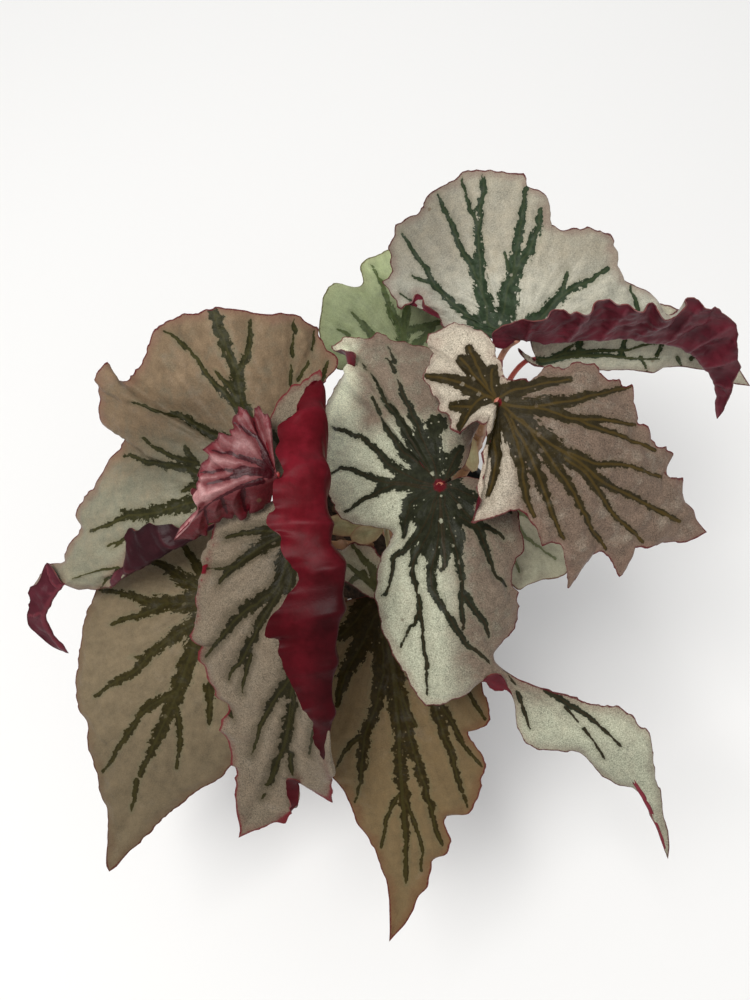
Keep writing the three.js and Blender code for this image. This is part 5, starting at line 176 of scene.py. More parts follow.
   [[10.8,-29.4,267.7,2.24],[8.9,-29.7,267.0,2.16],[6.4,-30.7,266.0,2.04],[3.9,-31.0,265.0,1.91],[1.7,-32.0,264.0,1.75],[-0.0,-33.5,263.1,1.59],[-0.6,-36.1,262.4,1.42],[-1.4,-38.4,261.0,1.23],[-1.9,-40.1,259.5,1.04],[-1.9,-42.6,257.5,0.84],[-2.3,-44.3,256.8,0.64]],
   [[12.3,-34.5,268.7,1.96],[11.7,-35.9,268.8,1.9],[12.3,-38.9,269.0,1.82],[12.3,-41.1,269.1,1.73],[12.7,-44.1,269.2,1.62],[12.9,-47.1,269.3,1.51],[13.0,-49.3,269.2,1.39],[13.0,-52.2,269.0,1.27],[13.2,-54.4,268.7,1.13],[13.5,-57.3,268.2,1.0],[13.1,-58.7,268.1,0.86],[12.8,-61.0,267.4,0.71],[11.5,-62.2,266.6,0.56]],
  ],
  "auto": [
   [[12.4,-27.9,268.0,0.88],[14.2,-28.2,268.1,0.85],[16.5,-28.7,268.1,0.82],[18.3,-29.0,268.0,0.77],[20.8,-30.3,268.0,0.73],[22.9,-31.4,267.8,0.67],[25.6,-32.5,267.5,0.62],[27.9,-33.5,267.0,0.56],[30.7,-34.5,266.3,0.5],[32.7,-34.7,265.7,0.44],[35.6,-35.7,264.6,0.38],[37.6,-35.8,263.8,0.31],[40.5,-36.8,262.5,0.24]],
  ],
  "zones": [[12.0,-27.8,268.0,7.93],[6.5,-20.1,267.2,5.61],[1.7,-14.6,265.9,3.23],[2.1,-23.6,264.8,3.21],[4.8,-38.9,265.0,5.14],[6.0,-46.2,265.0,5.1],[11.8,-44.8,269.4,6.61],[16.9,-39.2,268.6,5.87],[19.9,-35.1,268.4,5.12],[7.3,-52.7,265.9,4.67],[1.8,-52.4,262.1,2.36],[16.7,-49.5,268.6,4.65],[17.4,-53.1,268.0,3.1],[9.4,-16.0,268.9,4.8],[10.8,-9.1,268.9,3.22],[11.3,-1.4,268.6,4.47],[8.9,-6.7,269.1,4.04],[8.5,-12.1,269.2,3.61],[9.7,-17.3,268.9,4.4],[16.1,-20.3,268.5,2.79],[6.3,-33.5,266.1,5.55],[23.2,-32.2,267.9,2.77],[4.1,-20.6,265.9,4.42],[14.4,-15.3,268.7,2.0],[14.3,-42.7,269.0,6.24]], "clear": []},
 "blade_left": {
  "midrib": [[-60.0,-18.8,255.0],[-75.7,-31.0,250.0],[-92.8,-40.3,243.0],[-108.8,-45.1,234.0],[-123.2,-47.8,226.0],[-134.6,-48.2,220.0],[-145.7,-49.5,214.0],[-152.8,-50.7,209.0],[-159.0,-54.9,203.0],[-163.5,-59.3,197.0],[-164.7,-62.8,191.0],[-163.0,-67.5,182.0],[-158.9,-72.4,170.0]],
  "halves": [
   {"sign": -1, "turn": 2, "arch": 0.03,
    "margin": [[-59.5,-21.0,255.0],[-60.3,-24.6,254.0],[-62.6,-30.0,253.0],[-69.1,-34.0,252.0],[-76.5,-36.2,251.0],[-83.5,-38.5,250.0],[-90.8,-39.0,249.0],[-94.6,-38.6,248.5],[-97.3,-36.2,248.0],[-104.4,-36.6,246.5],[-106.9,-34.9,246.0],[-109.8,-36.0,244.9],[-111.7,-38.0,243.9],[-114.4,-37.9,243.0],[-116.2,-35.7,241.8],[-117.6,-35.6,241.0],[-119.1,-37.6,239.2],[-119.6,-39.2,238.0],[-118.9,-40.5,236.2],[-119.4,-42.4,234.0],[-119.2,-44.7,230.6],[-120.0,-46.5,228.0],[-122.0,-47.7,225.7],[-126.4,-48.6,222.0],[-129.1,-50.4,217.0],[-129.7,-52.6,210.0],[-133.6,-52.2,209.0],[-138.1,-52.5,207.0],[-140.9,-51.4,206.6],[-145.8,-51.7,206.0],[-150.3,-50.4,207.0],[-152.7,-50.4,211.0],[-155.0,-46.6,213.6],[-157.9,-42.5,213.2],[-159.7,-41.0,212.3],[-161.3,-43.0,211.3],[-161.9,-45.5,210.3],[-163.5,-48.5,208.8],[-164.5,-49.8,207.5],[-168.5,-49.8,205.0],[-169.6,-52.4,203.0],[-169.3,-54.6,201.0],[-170.3,-56.8,199.0],[-170.7,-58.8,196.2],[-172.0,-60.3,194.0],[-172.6,-63.5,190.2],[-172.0,-65.0,188.0],[-170.0,-66.4,185.2],[-168.0,-68.5,182.0],[-164.7,-70.6,176.0],[-158.9,-72.4,170.0]],
    "rolls": [[4.0,0.5,0.0,-0.0,-0.0],[6.0,0.5,-1.29,-5.5,-2.02],[8.0,0.5,-5.42,-7.89,-3.59],[11.0,0.5,-3.36,-9.19,-4.13],[15.0,0.5,-3.36,-10.3,-6.37],[19.5,0.5,-5.33,-7.04,-5.64],[22.5,0.5,-4.75,-4.61,-8.24],[24.4,0.5,-2.02,-2.98,-8.19],[25.6,0.5,-0.0,0.0,-0.0]], "pins": [[25,0.4982],[27,0.5501],[29,0.6092],[30,0.6581],[31,0.7066],[32,0.7214],[33,0.7362],[35,0.7574],[40,0.8061],[44,0.8618]], "comb": 0, "soft": 1, "edge": 6},
   {"sign": 1, "turn": 40, "arch": 0.06,
    "margin": [[-58.4,-17.0,255.0],[-55.2,-12.0,256.0],[-50.3,-4.7,258.0],[-45.1,5.4,260.0],[-40.3,15.2,261.0],[-35.0,22.3,262.0],[-33.7,25.7,261.6],[-30.0,29.3,261.0],[-29.1,33.6,261.8],[-29.6,34.6,262.0],[-32.9,35.9,263.4],[-35.7,38.7,265.0],[-38.0,42.4,266.9],[-37.5,45.0,268.0],[-41.0,44.2,271.0],[-43.6,45.5,274.0],[-47.2,46.3,276.2],[-54.1,43.8,280.0],[-61.0,42.5,282.8],[-66.1,42.5,285.0],[-74.8,41.9,287.0],[-79.1,42.1,288.0],[-81.4,41.9,287.1],[-83.8,40.8,286.0],[-93.6,42.5,282.0],[-97.6,41.8,279.6],[-103.7,41.0,276.0],[-106.2,39.8,274.5],[-107.1,35.5,272.0],[-108.7,33.6,270.9],[-108.5,31.5,270.0],[-110.9,28.2,267.4],[-115.0,24.4,264.0],[-119.6,23.4,260.0],[-122.4,23.8,261.0],[-124.2,24.4,262.5],[-125.2,26.6,264.5],[-125.9,28.9,267.0],[-127.3,27.4,267.0],[-129.3,24.8,266.5],[-131.1,21.7,265.0],[-129.5,20.8,262.0],[-130.9,16.6,256.0],[-131.5,11.1,250.5],[-130.1,8.9,247.5],[-124.5,9.0,245.2],[-121.9,8.0,244.0],[-121.2,6.4,242.9],[-124.2,2.5,240.0],[-130.5,-2.0,235.9],[-134.8,-7.6,232.0],[-137.1,-12.5,228.7],[-141.4,-15.1,226.0],[-145.3,-19.5,222.6],[-146.1,-22.0,221.0],[-143.7,-26.1,219.3],[-144.9,-29.7,218.0],[-149.3,-33.8,215.1],[-151.5,-37.3,213.0],[-151.2,-40.6,211.4],[-154.5,-41.2,210.0],[-159.3,-40.1,208.0],[-163.7,-42.7,203.0],[-168.9,-46.4,198.0],[-171.2,-48.1,196.0],[-170.4,-52.4,191.0],[-170.4,-58.1,186.0],[-168.2,-64.2,180.0],[-163.8,-69.4,174.0],[-158.9,-72.4,170.0]],
    "rolls": [[33.0,0.9,-0.0,0.0,-0.0],[34.0,0.92,-1.55,1.35,-1.02],[35.0,0.92,-0.8,-0.47,-1.4],[36.0,0.9,-1.49,-2.64,-2.05],[37.0,0.88,-3.06,-4.74,-3.06],[38.0,0.87,-3.92,-3.16,-2.94],[39.0,0.86,-4.7,-0.69,-2.89],[40.0,0.86,-4.39,1.54,-2.6],[41.0,0.9,-2.01,0.37,-1.72],[42.0,0.9,0.0,0.0,0.0]], "pins": [], "comb": 1, "soft": 3, "edge": 6},
  ],
  "veins": [
   [[-65.1,-5.6,264.7,1.06],[-65.7,-4.1,265.8,1.04],[-66.5,-2.0,267.2,1.02],[-67.1,0.7,269.0,0.98],[-68.3,2.7,270.2,0.95],[-69.6,4.9,271.3,0.91],[-71.2,6.6,271.8,0.87],[-73.0,8.4,272.3,0.82],[-75.2,10.8,273.0,0.78],[-76.7,12.6,273.5,0.73],[-78.9,14.3,273.6,0.68],[-80.5,16.0,273.9,0.63],[-82.5,18.2,274.4,0.58],[-83.9,20.4,275.1,0.53],[-85.2,22.7,275.7,0.47],[-86.6,25.0,276.4,0.42],[-88.9,27.2,276.5,0.36],[-90.3,29.5,277.0,0.3]],
   [[-92.0,30.6,276.7,0.62],[-94.4,32.8,276.6,0.56],[-95.2,33.9,276.8,0.48],[-97.7,36.1,276.6,0.39],[-99.9,37.7,276.3,0.29],[-101.8,38.6,275.9,0.18]],
   [[-69.9,8.1,273.4,0.9],[-71.0,9.7,274.1,0.83],[-72.4,11.9,275.0,0.74],[-73.7,13.6,275.6,0.64],[-75.8,15.5,275.8,0.52],[-77.3,17.3,276.3,0.39],[-78.8,19.1,276.7,0.26]],
   [[-64.6,-5.6,264.9,1.46],[-64.5,-4.0,266.0,1.45],[-65.0,-1.4,267.8,1.43],[-65.6,0.7,269.1,1.42],[-66.2,2.9,270.5,1.41],[-67.3,5.0,271.8,1.39],[-67.9,7.2,273.0,1.38],[-68.6,9.4,274.3,1.37],[-68.7,11.6,275.4,1.36],[-69.3,13.8,276.5,1.34],[-69.3,16.1,277.5,1.33],[-69.9,18.4,278.5,1.32],[-71.3,20.7,279.6,1.3],[-71.9,23.0,280.6,1.29],[-73.3,24.7,281.4,1.28],[-73.9,26.5,282.0,1.27],[-74.6,28.8,282.9,1.25],[-75.5,31.8,284.0,1.24],[-77.1,33.5,284.6,1.23],[-77.9,35.9,285.4,1.21],[-78.6,38.3,286.3,1.2],[-79.4,40.8,287.1,1.19]],
   [[-68.7,13.9,276.4,1.06],[-69.1,15.5,277.2,1.03],[-68.4,18.4,278.2,0.98],[-67.3,20.8,278.8,0.92],[-66.8,22.6,279.3,0.86],[-65.4,25.1,279.7,0.79],[-64.8,27.5,280.3,0.72],[-65.0,29.8,281.0,0.64],[-64.3,32.9,281.7,0.56],[-64.5,35.3,282.4,0.48],[-64.7,38.3,283.3,0.39],[-64.9,40.1,283.8,0.3]],
   [[-76.4,38.4,286.3,0.86],[-77.7,39.0,286.6,0.78],[-78.1,40.2,287.0,0.7]],
   [[-48.8,17.8,267.9,0.5],[-48.7,19.6,268.8,0.44],[-48.6,22.1,269.7,0.36],[-48.1,23.9,270.0,0.26],[-48.2,25.8,270.9,0.14]],
   [[-48.0,29.5,272.0,0.5],[-48.2,32.1,273.0,0.42],[-47.6,34.6,273.3,0.29],[-47.9,37.2,274.2,0.14]],
   [[-47.3,39.7,274.6,0.56],[-47.9,41.6,275.4,0.4],[-47.4,44.1,275.8,0.16]],
   [[-46.0,20.7,266.7,0.45],[-44.9,22.5,266.5,0.4],[-43.9,25.4,266.7,0.32],[-42.5,27.6,266.4,0.23],[-41.7,29.8,266.5,0.13]],
   [[-40.1,35.8,267.1,0.56],[-39.9,37.8,267.6,0.49],[-39.6,40.2,268.2,0.4],[-39.5,42.2,268.9,0.28],[-38.9,44.1,268.9,0.16]],
   [[-37.5,22.0,262.3,0.84],[-36.4,24.2,262.4,0.74],[-35.2,26.8,262.5,0.6],[-34.1,29.4,262.7,0.43],[-33.4,31.8,262.9,0.24]],
   [[-66.6,-7.9,262.0,1.12],[-68.6,-6.9,262.0,1.1],[-71.3,-6.2,261.9,1.08],[-74.2,-5.2,262.1,1.05],[-76.7,-4.1,262.2,1.02],[-79.5,-3.1,262.2,0.99],[-81.3,-2.1,262.3,0.95],[-83.2,-1.0,262.4,0.92],[-85.7,0.5,262.5,0.88],[-87.8,1.6,262.5,0.84],[-89.9,3.1,262.7,0.8],[-92.6,5.1,263.0,0.75],[-94.8,6.2,262.9,0.71],[-97.7,6.6,262.8,0.66],[-100.2,6.7,263.8,0.62],[-102.6,7.2,264.4,0.57],[-105.0,7.5,264.7,0.52],[-107.7,8.8,264.7,0.47],[-109.7,10.0,264.7,0.42],[-112.9,11.2,264.3,0.37],[-114.9,11.8,263.6,0.32]],
   [[-87.0,-13.2,257.0,0.78],[-89.1,-12.5,257.0,0.76],[-92.0,-11.7,256.8,0.71],[-94.8,-11.0,256.5,0.67],[-97.3,-9.9,256.3,0.61],[-100.3,-8.4,256.1,0.56],[-102.5,-6.9,256.2,0.5],[-104.9,-5.8,255.8,0.43],[-107.0,-4.3,255.7,0.37],[-109.5,-2.1,255.9,0.3],[-111.1,-0.9,255.7,0.22]],
   [[-76.0,-19.2,255.1,1.34],[-77.0,-19.2,255.1,1.32],[-80.1,-18.5,255.2,1.28],[-83.1,-17.7,255.3,1.24],[-86.1,-17.0,255.2,1.2],[-88.4,-16.6,255.0,1.15],[-90.3,-14.7,255.6,1.1],[-92.5,-14.4,255.2,1.04],[-96.0,-13.6,254.6,0.98],[-98.3,-12.5,254.4,0.92],[-101.0,-12.2,253.2,0.86],[-104.1,-11.1,251.6,0.8],[-107.6,-9.1,248.6,0.73],[-111.0,-7.9,246.3,0.67],[-113.9,-6.0,245.0,0.6],[-116.8,-4.1,243.6,0.53],[-119.7,-2.3,242.1,0.46],[-122.9,-1.8,240.3,0.38]],
   [[-88.1,-12.5,257.2,0.9],[-89.2,-10.6,258.0,0.74],[-91.2,-8.7,258.6,0.52],[-92.2,-6.4,259.5,0.26]],
   [[-75.0,-25.9,252.2,1.73],[-77.4,-26.3,251.9,1.71],[-80.1,-26.9,251.3,1.69],[-83.2,-27.0,250.7,1.67],[-86.1,-27.0,250.1,1.65],[-88.7,-26.9,249.4,1.63],[-90.9,-27.2,248.6,1.61],[-93.8,-27.5,247.5,1.59],[-96.7,-28.1,246.3,1.57],[-99.3,-28.5,245.3,1.55],[-102.2,-28.4,244.3,1.53],[-105.0,-29.3,242.9,1.51],[-107.9,-29.2,241.7,1.49],[-110.7,-29.1,240.5,1.47],[-114.2,-29.0,238.8,1.45],[-117.4,-28.4,237.4,1.43],[-119.7,-28.0,236.2,1.41]],
   [[-119.7,-28.0,236.2,0.9],[-121.9,-28.5,234.8,0.85],[-125.0,-28.9,233.0,0.77],[-127.4,-30.1,231.4,0.68],[-130.1,-30.3,229.9,0.59],[-132.8,-30.3,228.3,0.48],[-136.1,-30.8,225.8,0.37],[-138.9,-30.4,223.4,0.26]],
   [[-120.9,-37.2,232.1,0.45],[-123.4,-38.1,230.5,0.37],[-126.7,-38.0,228.8,0.26],[-129.6,-38.9,226.8,0.13]],
   [[-122.4,-38.5,230.8,0.28],[-125.1,-39.1,229.2,0.2],[-127.6,-40.3,227.3,0.08]],
   [[-125.6,-48.0,224.7,0.28],[-127.8,-48.1,223.5,0.26],[-131.0,-47.6,222.1,0.24],[-134.5,-48.0,220.1,0.21],[-137.7,-48.4,218.4,0.18],[-141.3,-48.6,216.6,0.15],[-144.5,-49.0,214.8,0.12],[-146.8,-49.1,213.6,0.08]],
   [[-86.1,-20.7,253.3,1.23],[-87.7,-21.3,252.7,1.09],[-89.9,-21.7,251.8,0.87],[-92.7,-22.1,250.5,0.63],[-94.6,-22.6,249.3,0.35]],
  ],
  "auto": [
   [[-80.9,-34.4,248.1,0.61],[-83.3,-36.4,247.4,0.59],[-86.3,-38.7,246.5,0.56],[-89.0,-40.4,245.7,0.53],[-92.1,-42.2,244.8,0.5],[-94.3,-43.3,244.3,0.46],[-96.6,-44.1,243.9,0.43],[-98.3,-44.4,243.7,0.39],[-100.0,-44.0,243.8,0.35],[-100.6,-43.2,244.2,0.3],[-101.9,-41.9,244.6,0.26],[-102.1,-40.5,245.2,0.21],[-103.2,-38.6,245.8,0.17]],
   [[-101.8,-43.6,238.1,0.61],[-104.5,-45.2,236.6,0.59],[-107.6,-47.0,234.9,0.56],[-110.0,-48.3,233.5,0.53],[-112.7,-49.5,232.1,0.5],[-114.8,-50.2,231.0,0.46],[-116.9,-50.7,230.0,0.43],[-118.3,-50.7,229.3,0.39],[-119.4,-50.4,228.8,0.35],[-119.7,-49.5,229.2,0.3],[-120.0,-48.5,229.1,0.26],[-119.9,-47.3,229.8,0.21],[-119.7,-46.1,230.0,0.17]],
   [[-124.2,-48.1,225.0,0.55],[-125.5,-48.9,222.6,0.53],[-126.8,-49.6,220.2,0.51],[-127.8,-50.0,218.8,0.48],[-128.7,-50.2,217.8,0.45],[-129.4,-50.1,217.7,0.42],[-130.4,-50.2,216.8,0.39],[-131.4,-50.4,215.6,0.35],[-132.6,-50.8,214.1,0.31],[-132.8,-51.0,213.2,0.27],[-133.9,-51.4,211.7,0.23],[-134.2,-51.7,210.7,0.19],[-135.3,-52.0,209.2,0.15]],
   [[-153.0,-50.8,208.8,0.5],[-153.5,-51.0,208.5,0.48],[-153.9,-51.2,208.3,0.46],[-154.4,-51.2,208.3,0.44],[-154.9,-50.9,208.7,0.41],[-155.4,-50.4,209.1,0.38],[-156.0,-49.6,209.5,0.35],[-156.7,-48.6,209.8,0.32],[-157.5,-47.2,210.2,0.28],[-157.5,-46.4,210.7,0.25],[-158.4,-45.0,211.0,0.21],[-158.4,-44.1,211.6,0.17],[-159.3,-42.8,211.8,0.14]],
   [[-163.8,-59.4,196.7,0.44],[-164.4,-59.4,196.5,0.43],[-165.0,-59.4,196.3,0.41],[-165.6,-59.6,196.1,0.39],[-166.2,-59.7,195.9,0.36],[-166.7,-59.9,195.5,0.34],[-167.3,-60.0,195.2,0.31],[-167.8,-60.3,194.7,0.28],[-168.5,-60.4,194.3,0.25],[-168.9,-60.2,194.6,0.22],[-169.7,-60.4,194.2,0.19],[-170.2,-60.2,194.5,0.15],[-171.1,-60.4,194.0,0.12]],
   [[-157.0,-53.0,205.3,0.5],[-158.2,-52.8,204.6,0.48],[-159.6,-52.5,203.8,0.46],[-160.8,-52.3,203.0,0.44],[-162.2,-52.0,202.2,0.41],[-163.3,-51.8,201.4,0.38],[-164.6,-51.5,200.4,0.35],[-165.7,-51.4,199.5,0.32],[-166.9,-51.2,198.4,0.28],[-167.5,-50.7,198.0,0.25],[-168.6,-50.6,196.9,0.21],[-169.2,-50.1,196.4,0.17],[-170.1,-49.9,195.2,0.14]],
  ],
  "zones": [[-68.0,4.4,271.4,2.03],[-60.8,-12.6,259.4,5.75],[-69.4,-19.6,255.0,5.77],[-73.8,-27.4,251.6,4.12],[-83.6,-15.5,256.3,1.65]], "clear": []},
 "blade_rolled": {
  "midrib": [[-37.9,-48.2,275.0],[-39.8,-68.0,272.0],[-42.2,-88.6,262.0],[-46.2,-104.5,248.0],[-48.4,-117.7,235.0],[-51.7,-126.5,226.0],[-57.8,-137.4,216.0],[-64.0,-146.9,208.0],[-70.0,-156.4,200.0]],
  "halves": [
   {"sign": 1, "turn": 30, "arch": 0.06,
    "margin": [[-37.2,-45.7,275.0],[-35.7,-37.4,277.0],[-35.0,-26.2,280.0],[-34.4,-10.5,283.0],[-34.6,2.5,285.0],[-34.8,12.2,286.0],[-35.6,14.0,286.0],[-37.2,12.9,286.0],[-40.1,11.3,285.5],[-43.4,9.0,285.0],[-46.1,7.5,284.2],[-48.0,6.7,283.7],[-49.3,4.5,283.0],[-50.9,1.8,282.5],[-52.9,0.2,282.0],[-54.5,-2.9,280.8],[-54.8,-5.4,280.0],[-56.3,-7.9,280.0],[-57.6,-10.3,279.6],[-58.4,-13.6,279.0],[-57.7,-17.9,279.0],[-56.8,-22.2,279.0],[-55.6,-24.9,279.0],[-52.8,-29.5,278.0],[-49.3,-34.9,277.0],[-51.2,-37.0,276.0],[-57.9,-36.3,271.0],[-64.5,-36.4,268.0],[-70.3,-36.0,266.0],[-75.7,-38.2,264.0],[-77.7,-41.7,262.0],[-78.4,-45.5,261.7],[-78.2,-48.6,261.5],[-77.2,-51.1,261.5],[-78.6,-52.9,260.5],[-79.5,-54.6,259.5],[-79.7,-56.8,258.5],[-81.1,-58.5,257.5],[-80.7,-60.8,257.0],[-81.3,-63.0,256.0],[-82.5,-65.2,255.0],[-82.9,-67.3,254.0],[-84.6,-69.8,252.5],[-83.7,-72.2,251.0],[-82.9,-74.8,250.0],[-83.5,-77.6,248.5],[-85.4,-80.1,247.0],[-86.4,-84.4,245.0],[-84.1,-85.8,243.8],[-82.2,-86.0,243.0],[-82.9,-87.8,242.2],[-83.6,-91.0,241.0],[-82.0,-93.6,239.0],[-79.7,-98.0,236.8],[-78.3,-101.8,235.0],[-76.6,-105.4,233.6],[-74.9,-105.7,233.0],[-73.2,-106.9,232.1],[-72.6,-109.4,231.0],[-74.7,-112.8,229.1],[-76.9,-116.6,227.0],[-74.6,-117.5,225.7],[-72.6,-119.9,224.0],[-72.3,-122.5,222.2],[-71.8,-125.6,220.0],[-72.1,-129.4,218.8],[-69.7,-129.8,218.0],[-68.9,-131.0,217.1],[-70.9,-133.9,215.0],[-70.3,-135.1,214.1],[-70.8,-141.6,210.0],[-70.3,-147.3,206.0],[-69.0,-153.2,202.0],[-70.0,-156.4,200.0]],
    "rolls": [[31.0,0.93,-0.0,0.0,-0.0],[32.0,0.94,-5.04,0.95,-3.57],[33.0,0.94,-5.61,0.68,-4.05],[34.0,0.95,-5.13,1.05,-3.96],[36.0,0.94,-6.7,1.35,-3.67],[37.0,0.95,-5.46,0.36,-3.25],[38.0,0.95,-5.05,0.02,-3.54],[40.0,0.96,-4.05,0.57,-2.81],[42.0,0.97,-1.41,0.39,-0.97],[44.0,0.95,-5.09,0.76,-2.07],[45.0,0.95,-4.75,0.79,-2.27],[46.0,0.97,-0.0,0.0,-0.0]], "pins": [], "comb": 0, "soft": 2, "edge": 6},
   {"sign": -1, "turn": 32, "arch": 0.02,
    "margin": [[-35.9,-46.9,276.0],[-33.8,-41.5,282.0],[-33.3,-29.3,287.0],[-33.6,-10.2,291.0],[-34.0,0.6,295.0],[-34.5,2.8,298.0],[-37.1,1.1,300.0],[-39.5,-0.5,301.0],[-40.6,-4.1,301.7],[-41.7,-6.9,302.3],[-42.8,-10.4,303.0],[-42.7,-14.2,303.0],[-43.2,-15.9,303.0],[-47.4,-17.4,304.0],[-49.1,-19.5,304.0],[-49.6,-22.1,304.0],[-48.3,-24.8,304.0],[-49.4,-27.5,304.0],[-49.9,-30.1,304.0],[-48.3,-32.8,304.0],[-47.3,-35.4,304.0],[-46.1,-37.4,304.0],[-47.2,-39.4,304.0],[-49.6,-40.0,304.0],[-50.4,-42.6,304.0],[-50.6,-45.6,303.5],[-49.9,-49.2,303.0],[-49.3,-51.5,302.3],[-51.1,-52.5,301.7],[-52.2,-54.8,301.0],[-51.9,-56.7,301.0],[-49.7,-59.2,301.0],[-47.3,-59.8,301.0],[-46.2,-60.9,300.5],[-47.3,-62.5,299.8],[-47.6,-64.7,299.0],[-46.1,-67.0,298.3],[-44.4,-69.2,297.6],[-43.1,-71.5,297.0],[-41.4,-72.5,296.2],[-40.5,-75.1,295.0],[-42.0,-77.3,294.1],[-44.4,-79.4,293.0],[-46.2,-82.0,291.3],[-47.4,-84.1,290.0],[-49.3,-85.0,289.0],[-51.7,-87.5,287.7],[-52.3,-89.2,287.0],[-53.2,-92.5,284.0],[-50.7,-93.2,283.0],[-48.3,-94.2,282.0],[-48.0,-95.8,280.7],[-48.7,-97.9,279.0],[-47.3,-99.5,277.4],[-46.7,-102.7,275.0],[-45.0,-105.3,272.2],[-43.3,-108.5,269.0],[-42.1,-111.6,265.6],[-40.4,-114.8,262.0],[-38.0,-117.4,258.7],[-36.5,-118.4,257.0],[-36.9,-120.5,254.3],[-37.3,-123.2,251.0],[-36.4,-125.4,248.7],[-34.9,-126.5,247.0],[-34.6,-128.4,244.7],[-32.8,-130.0,242.0],[-31.5,-131.3,239.6],[-31.1,-134.7,235.0],[-30.4,-137.0,231.0],[-30.6,-139.8,227.2],[-30.5,-143.6,222.0],[-32.1,-143.2,221.7],[-35.6,-140.8,221.0],[-42.0,-137.7,220.0],[-43.3,-136.5,222.0],[-45.1,-135.6,225.0],[-48.3,-135.3,225.0],[-49.8,-139.3,219.0],[-48.3,-147.0,211.0],[-49.4,-148.9,209.2],[-50.2,-151.5,207.0],[-52.0,-150.8,207.0],[-55.2,-150.1,207.0],[-57.4,-151.7,205.8],[-61.1,-153.3,204.0],[-65.5,-153.8,202.2],[-70.0,-156.4,200.0]],
    "rolls": [[3.5,0.5,0.0,0.0,0.0],[5.0,0.55,2.75,22.76,8.35],[8.0,0.6,6.36,20.38,5.97],[11.0,0.62,7.52,18.41,5.64],[14.0,0.64,12.37,12.28,5.44],[18.0,0.66,13.37,8.5,5.86],[24.0,0.66,14.49,3.17,6.86],[29.0,0.66,16.83,-2.63,7.84],[34.0,0.66,14.86,-4.96,7.75],[38.0,0.66,16.05,-2.59,7.83],[42.0,0.66,18.42,-3.31,8.93],[47.0,0.66,22.87,-1.31,10.0],[50.5,0.66,19.05,-2.97,8.87],[54.0,0.66,17.19,-3.19,7.31],[57.0,0.66,13.83,-2.97,7.47],[61.0,0.66,9.69,-4.19,6.42],[65.0,0.66,8.26,-5.52,4.89],[68.0,0.66,6.43,-4.88,4.34],[70.0,0.6,0.0,-0.0,0.0],[76.0,0.84,0.0,-0.0,-0.0],[77.0,0.84,6.3,-0.64,-2.58],[78.0,0.82,8.58,-1.16,-3.49],[79.0,0.84,6.12,0.95,-2.6],[80.0,0.9,0.0,-0.0,-0.0]], "pins": [], "comb": 0, "soft": 7, "edge": 20},
  ],
  "veins": [
   [[-42.0,-50.8,274.1,0.78],[-43.9,-50.5,273.9,0.76],[-47.0,-50.0,273.4,0.73],[-48.8,-49.1,273.1,0.7],[-51.5,-48.7,272.6,0.66],[-53.7,-48.4,272.0,0.62],[-56.3,-47.9,271.4,0.58],[-58.5,-47.6,270.7,0.53],[-61.1,-47.7,269.8,0.49],[-63.4,-47.9,268.9,0.44],[-65.9,-47.5,267.9,0.39],[-68.0,-47.7,266.7,0.33],[-70.9,-47.8,265.1,0.28],[-73.1,-48.0,263.8,0.22]],
   [[-40.7,-49.3,274.5,1.62],[-42.7,-49.6,274.1,1.59],[-45.4,-49.7,273.7,1.55],[-47.8,-49.9,273.2,1.49],[-49.7,-50.1,272.8,1.43],[-52.2,-51.3,271.7,1.37],[-54.5,-52.0,270.7,1.3],[-56.9,-53.3,269.7,1.23],[-59.1,-54.1,268.8,1.15],[-60.9,-55.2,267.9,1.07],[-63.2,-56.7,266.8,0.99],[-65.2,-57.9,265.9,0.91],[-67.0,-59.2,264.9,0.83],[-69.4,-60.6,263.5,0.74],[-71.4,-61.4,262.2,0.65],[-73.3,-63.3,260.4,0.56],[-74.7,-64.9,259.2,0.46]],
   [[-67.4,-60.3,264.5,0.39],[-69.9,-59.9,263.4,0.36],[-72.8,-60.0,261.9,0.31],[-75.7,-59.5,260.4,0.25],[-79.0,-59.0,258.6,0.18],[-81.5,-58.5,257.2,0.11]],
   [[-40.7,-54.8,273.9,1.3],[-43.0,-56.0,273.2,1.28],[-45.2,-56.8,272.6,1.27],[-47.1,-58.0,272.0,1.26],[-48.0,-59.9,271.5,1.25],[-48.5,-62.5,270.9,1.23],[-48.6,-64.2,270.6,1.22],[-49.6,-66.7,269.5,1.21],[-50.7,-69.0,268.5,1.19],[-51.8,-70.3,267.7,1.18],[-53.6,-71.9,266.7,1.17],[-55.8,-73.0,265.6,1.16],[-57.5,-73.7,264.8,1.14],[-59.4,-75.2,263.4,1.13],[-61.8,-75.7,262.1,1.12],[-63.9,-76.8,260.6,1.11],[-65.7,-77.9,259.2,1.09],[-67.5,-79.1,257.7,1.08],[-69.7,-80.6,255.9,1.07],[-71.1,-82.2,254.6,1.06]],
   [[-71.1,-82.2,254.6,0.73],[-72.4,-83.4,253.5,0.68],[-73.9,-85.0,252.0,0.6],[-75.7,-86.3,250.0,0.52],[-77.6,-87.4,246.2,0.42],[-79.6,-88.9,244.0,0.32],[-81.0,-90.6,242.5,0.21]],
   [[-49.0,-69.3,269.0,1.03],[-50.0,-70.6,268.2,1.01],[-51.4,-72.8,267.1,1.0],[-52.8,-74.5,266.0,0.99],[-53.9,-76.3,264.9,0.97],[-55.2,-78.0,263.5,0.96],[-56.6,-79.7,262.2,0.94],[-57.7,-81.4,260.8,0.93],[-58.9,-83.1,259.6,0.92],[-59.8,-85.2,258.5,0.9],[-60.6,-87.0,257.3,0.89],[-61.9,-88.4,255.8,0.88],[-63.4,-90.2,253.3,0.86],[-64.6,-92.0,251.0,0.85],[-65.6,-93.5,249.6,0.84]],
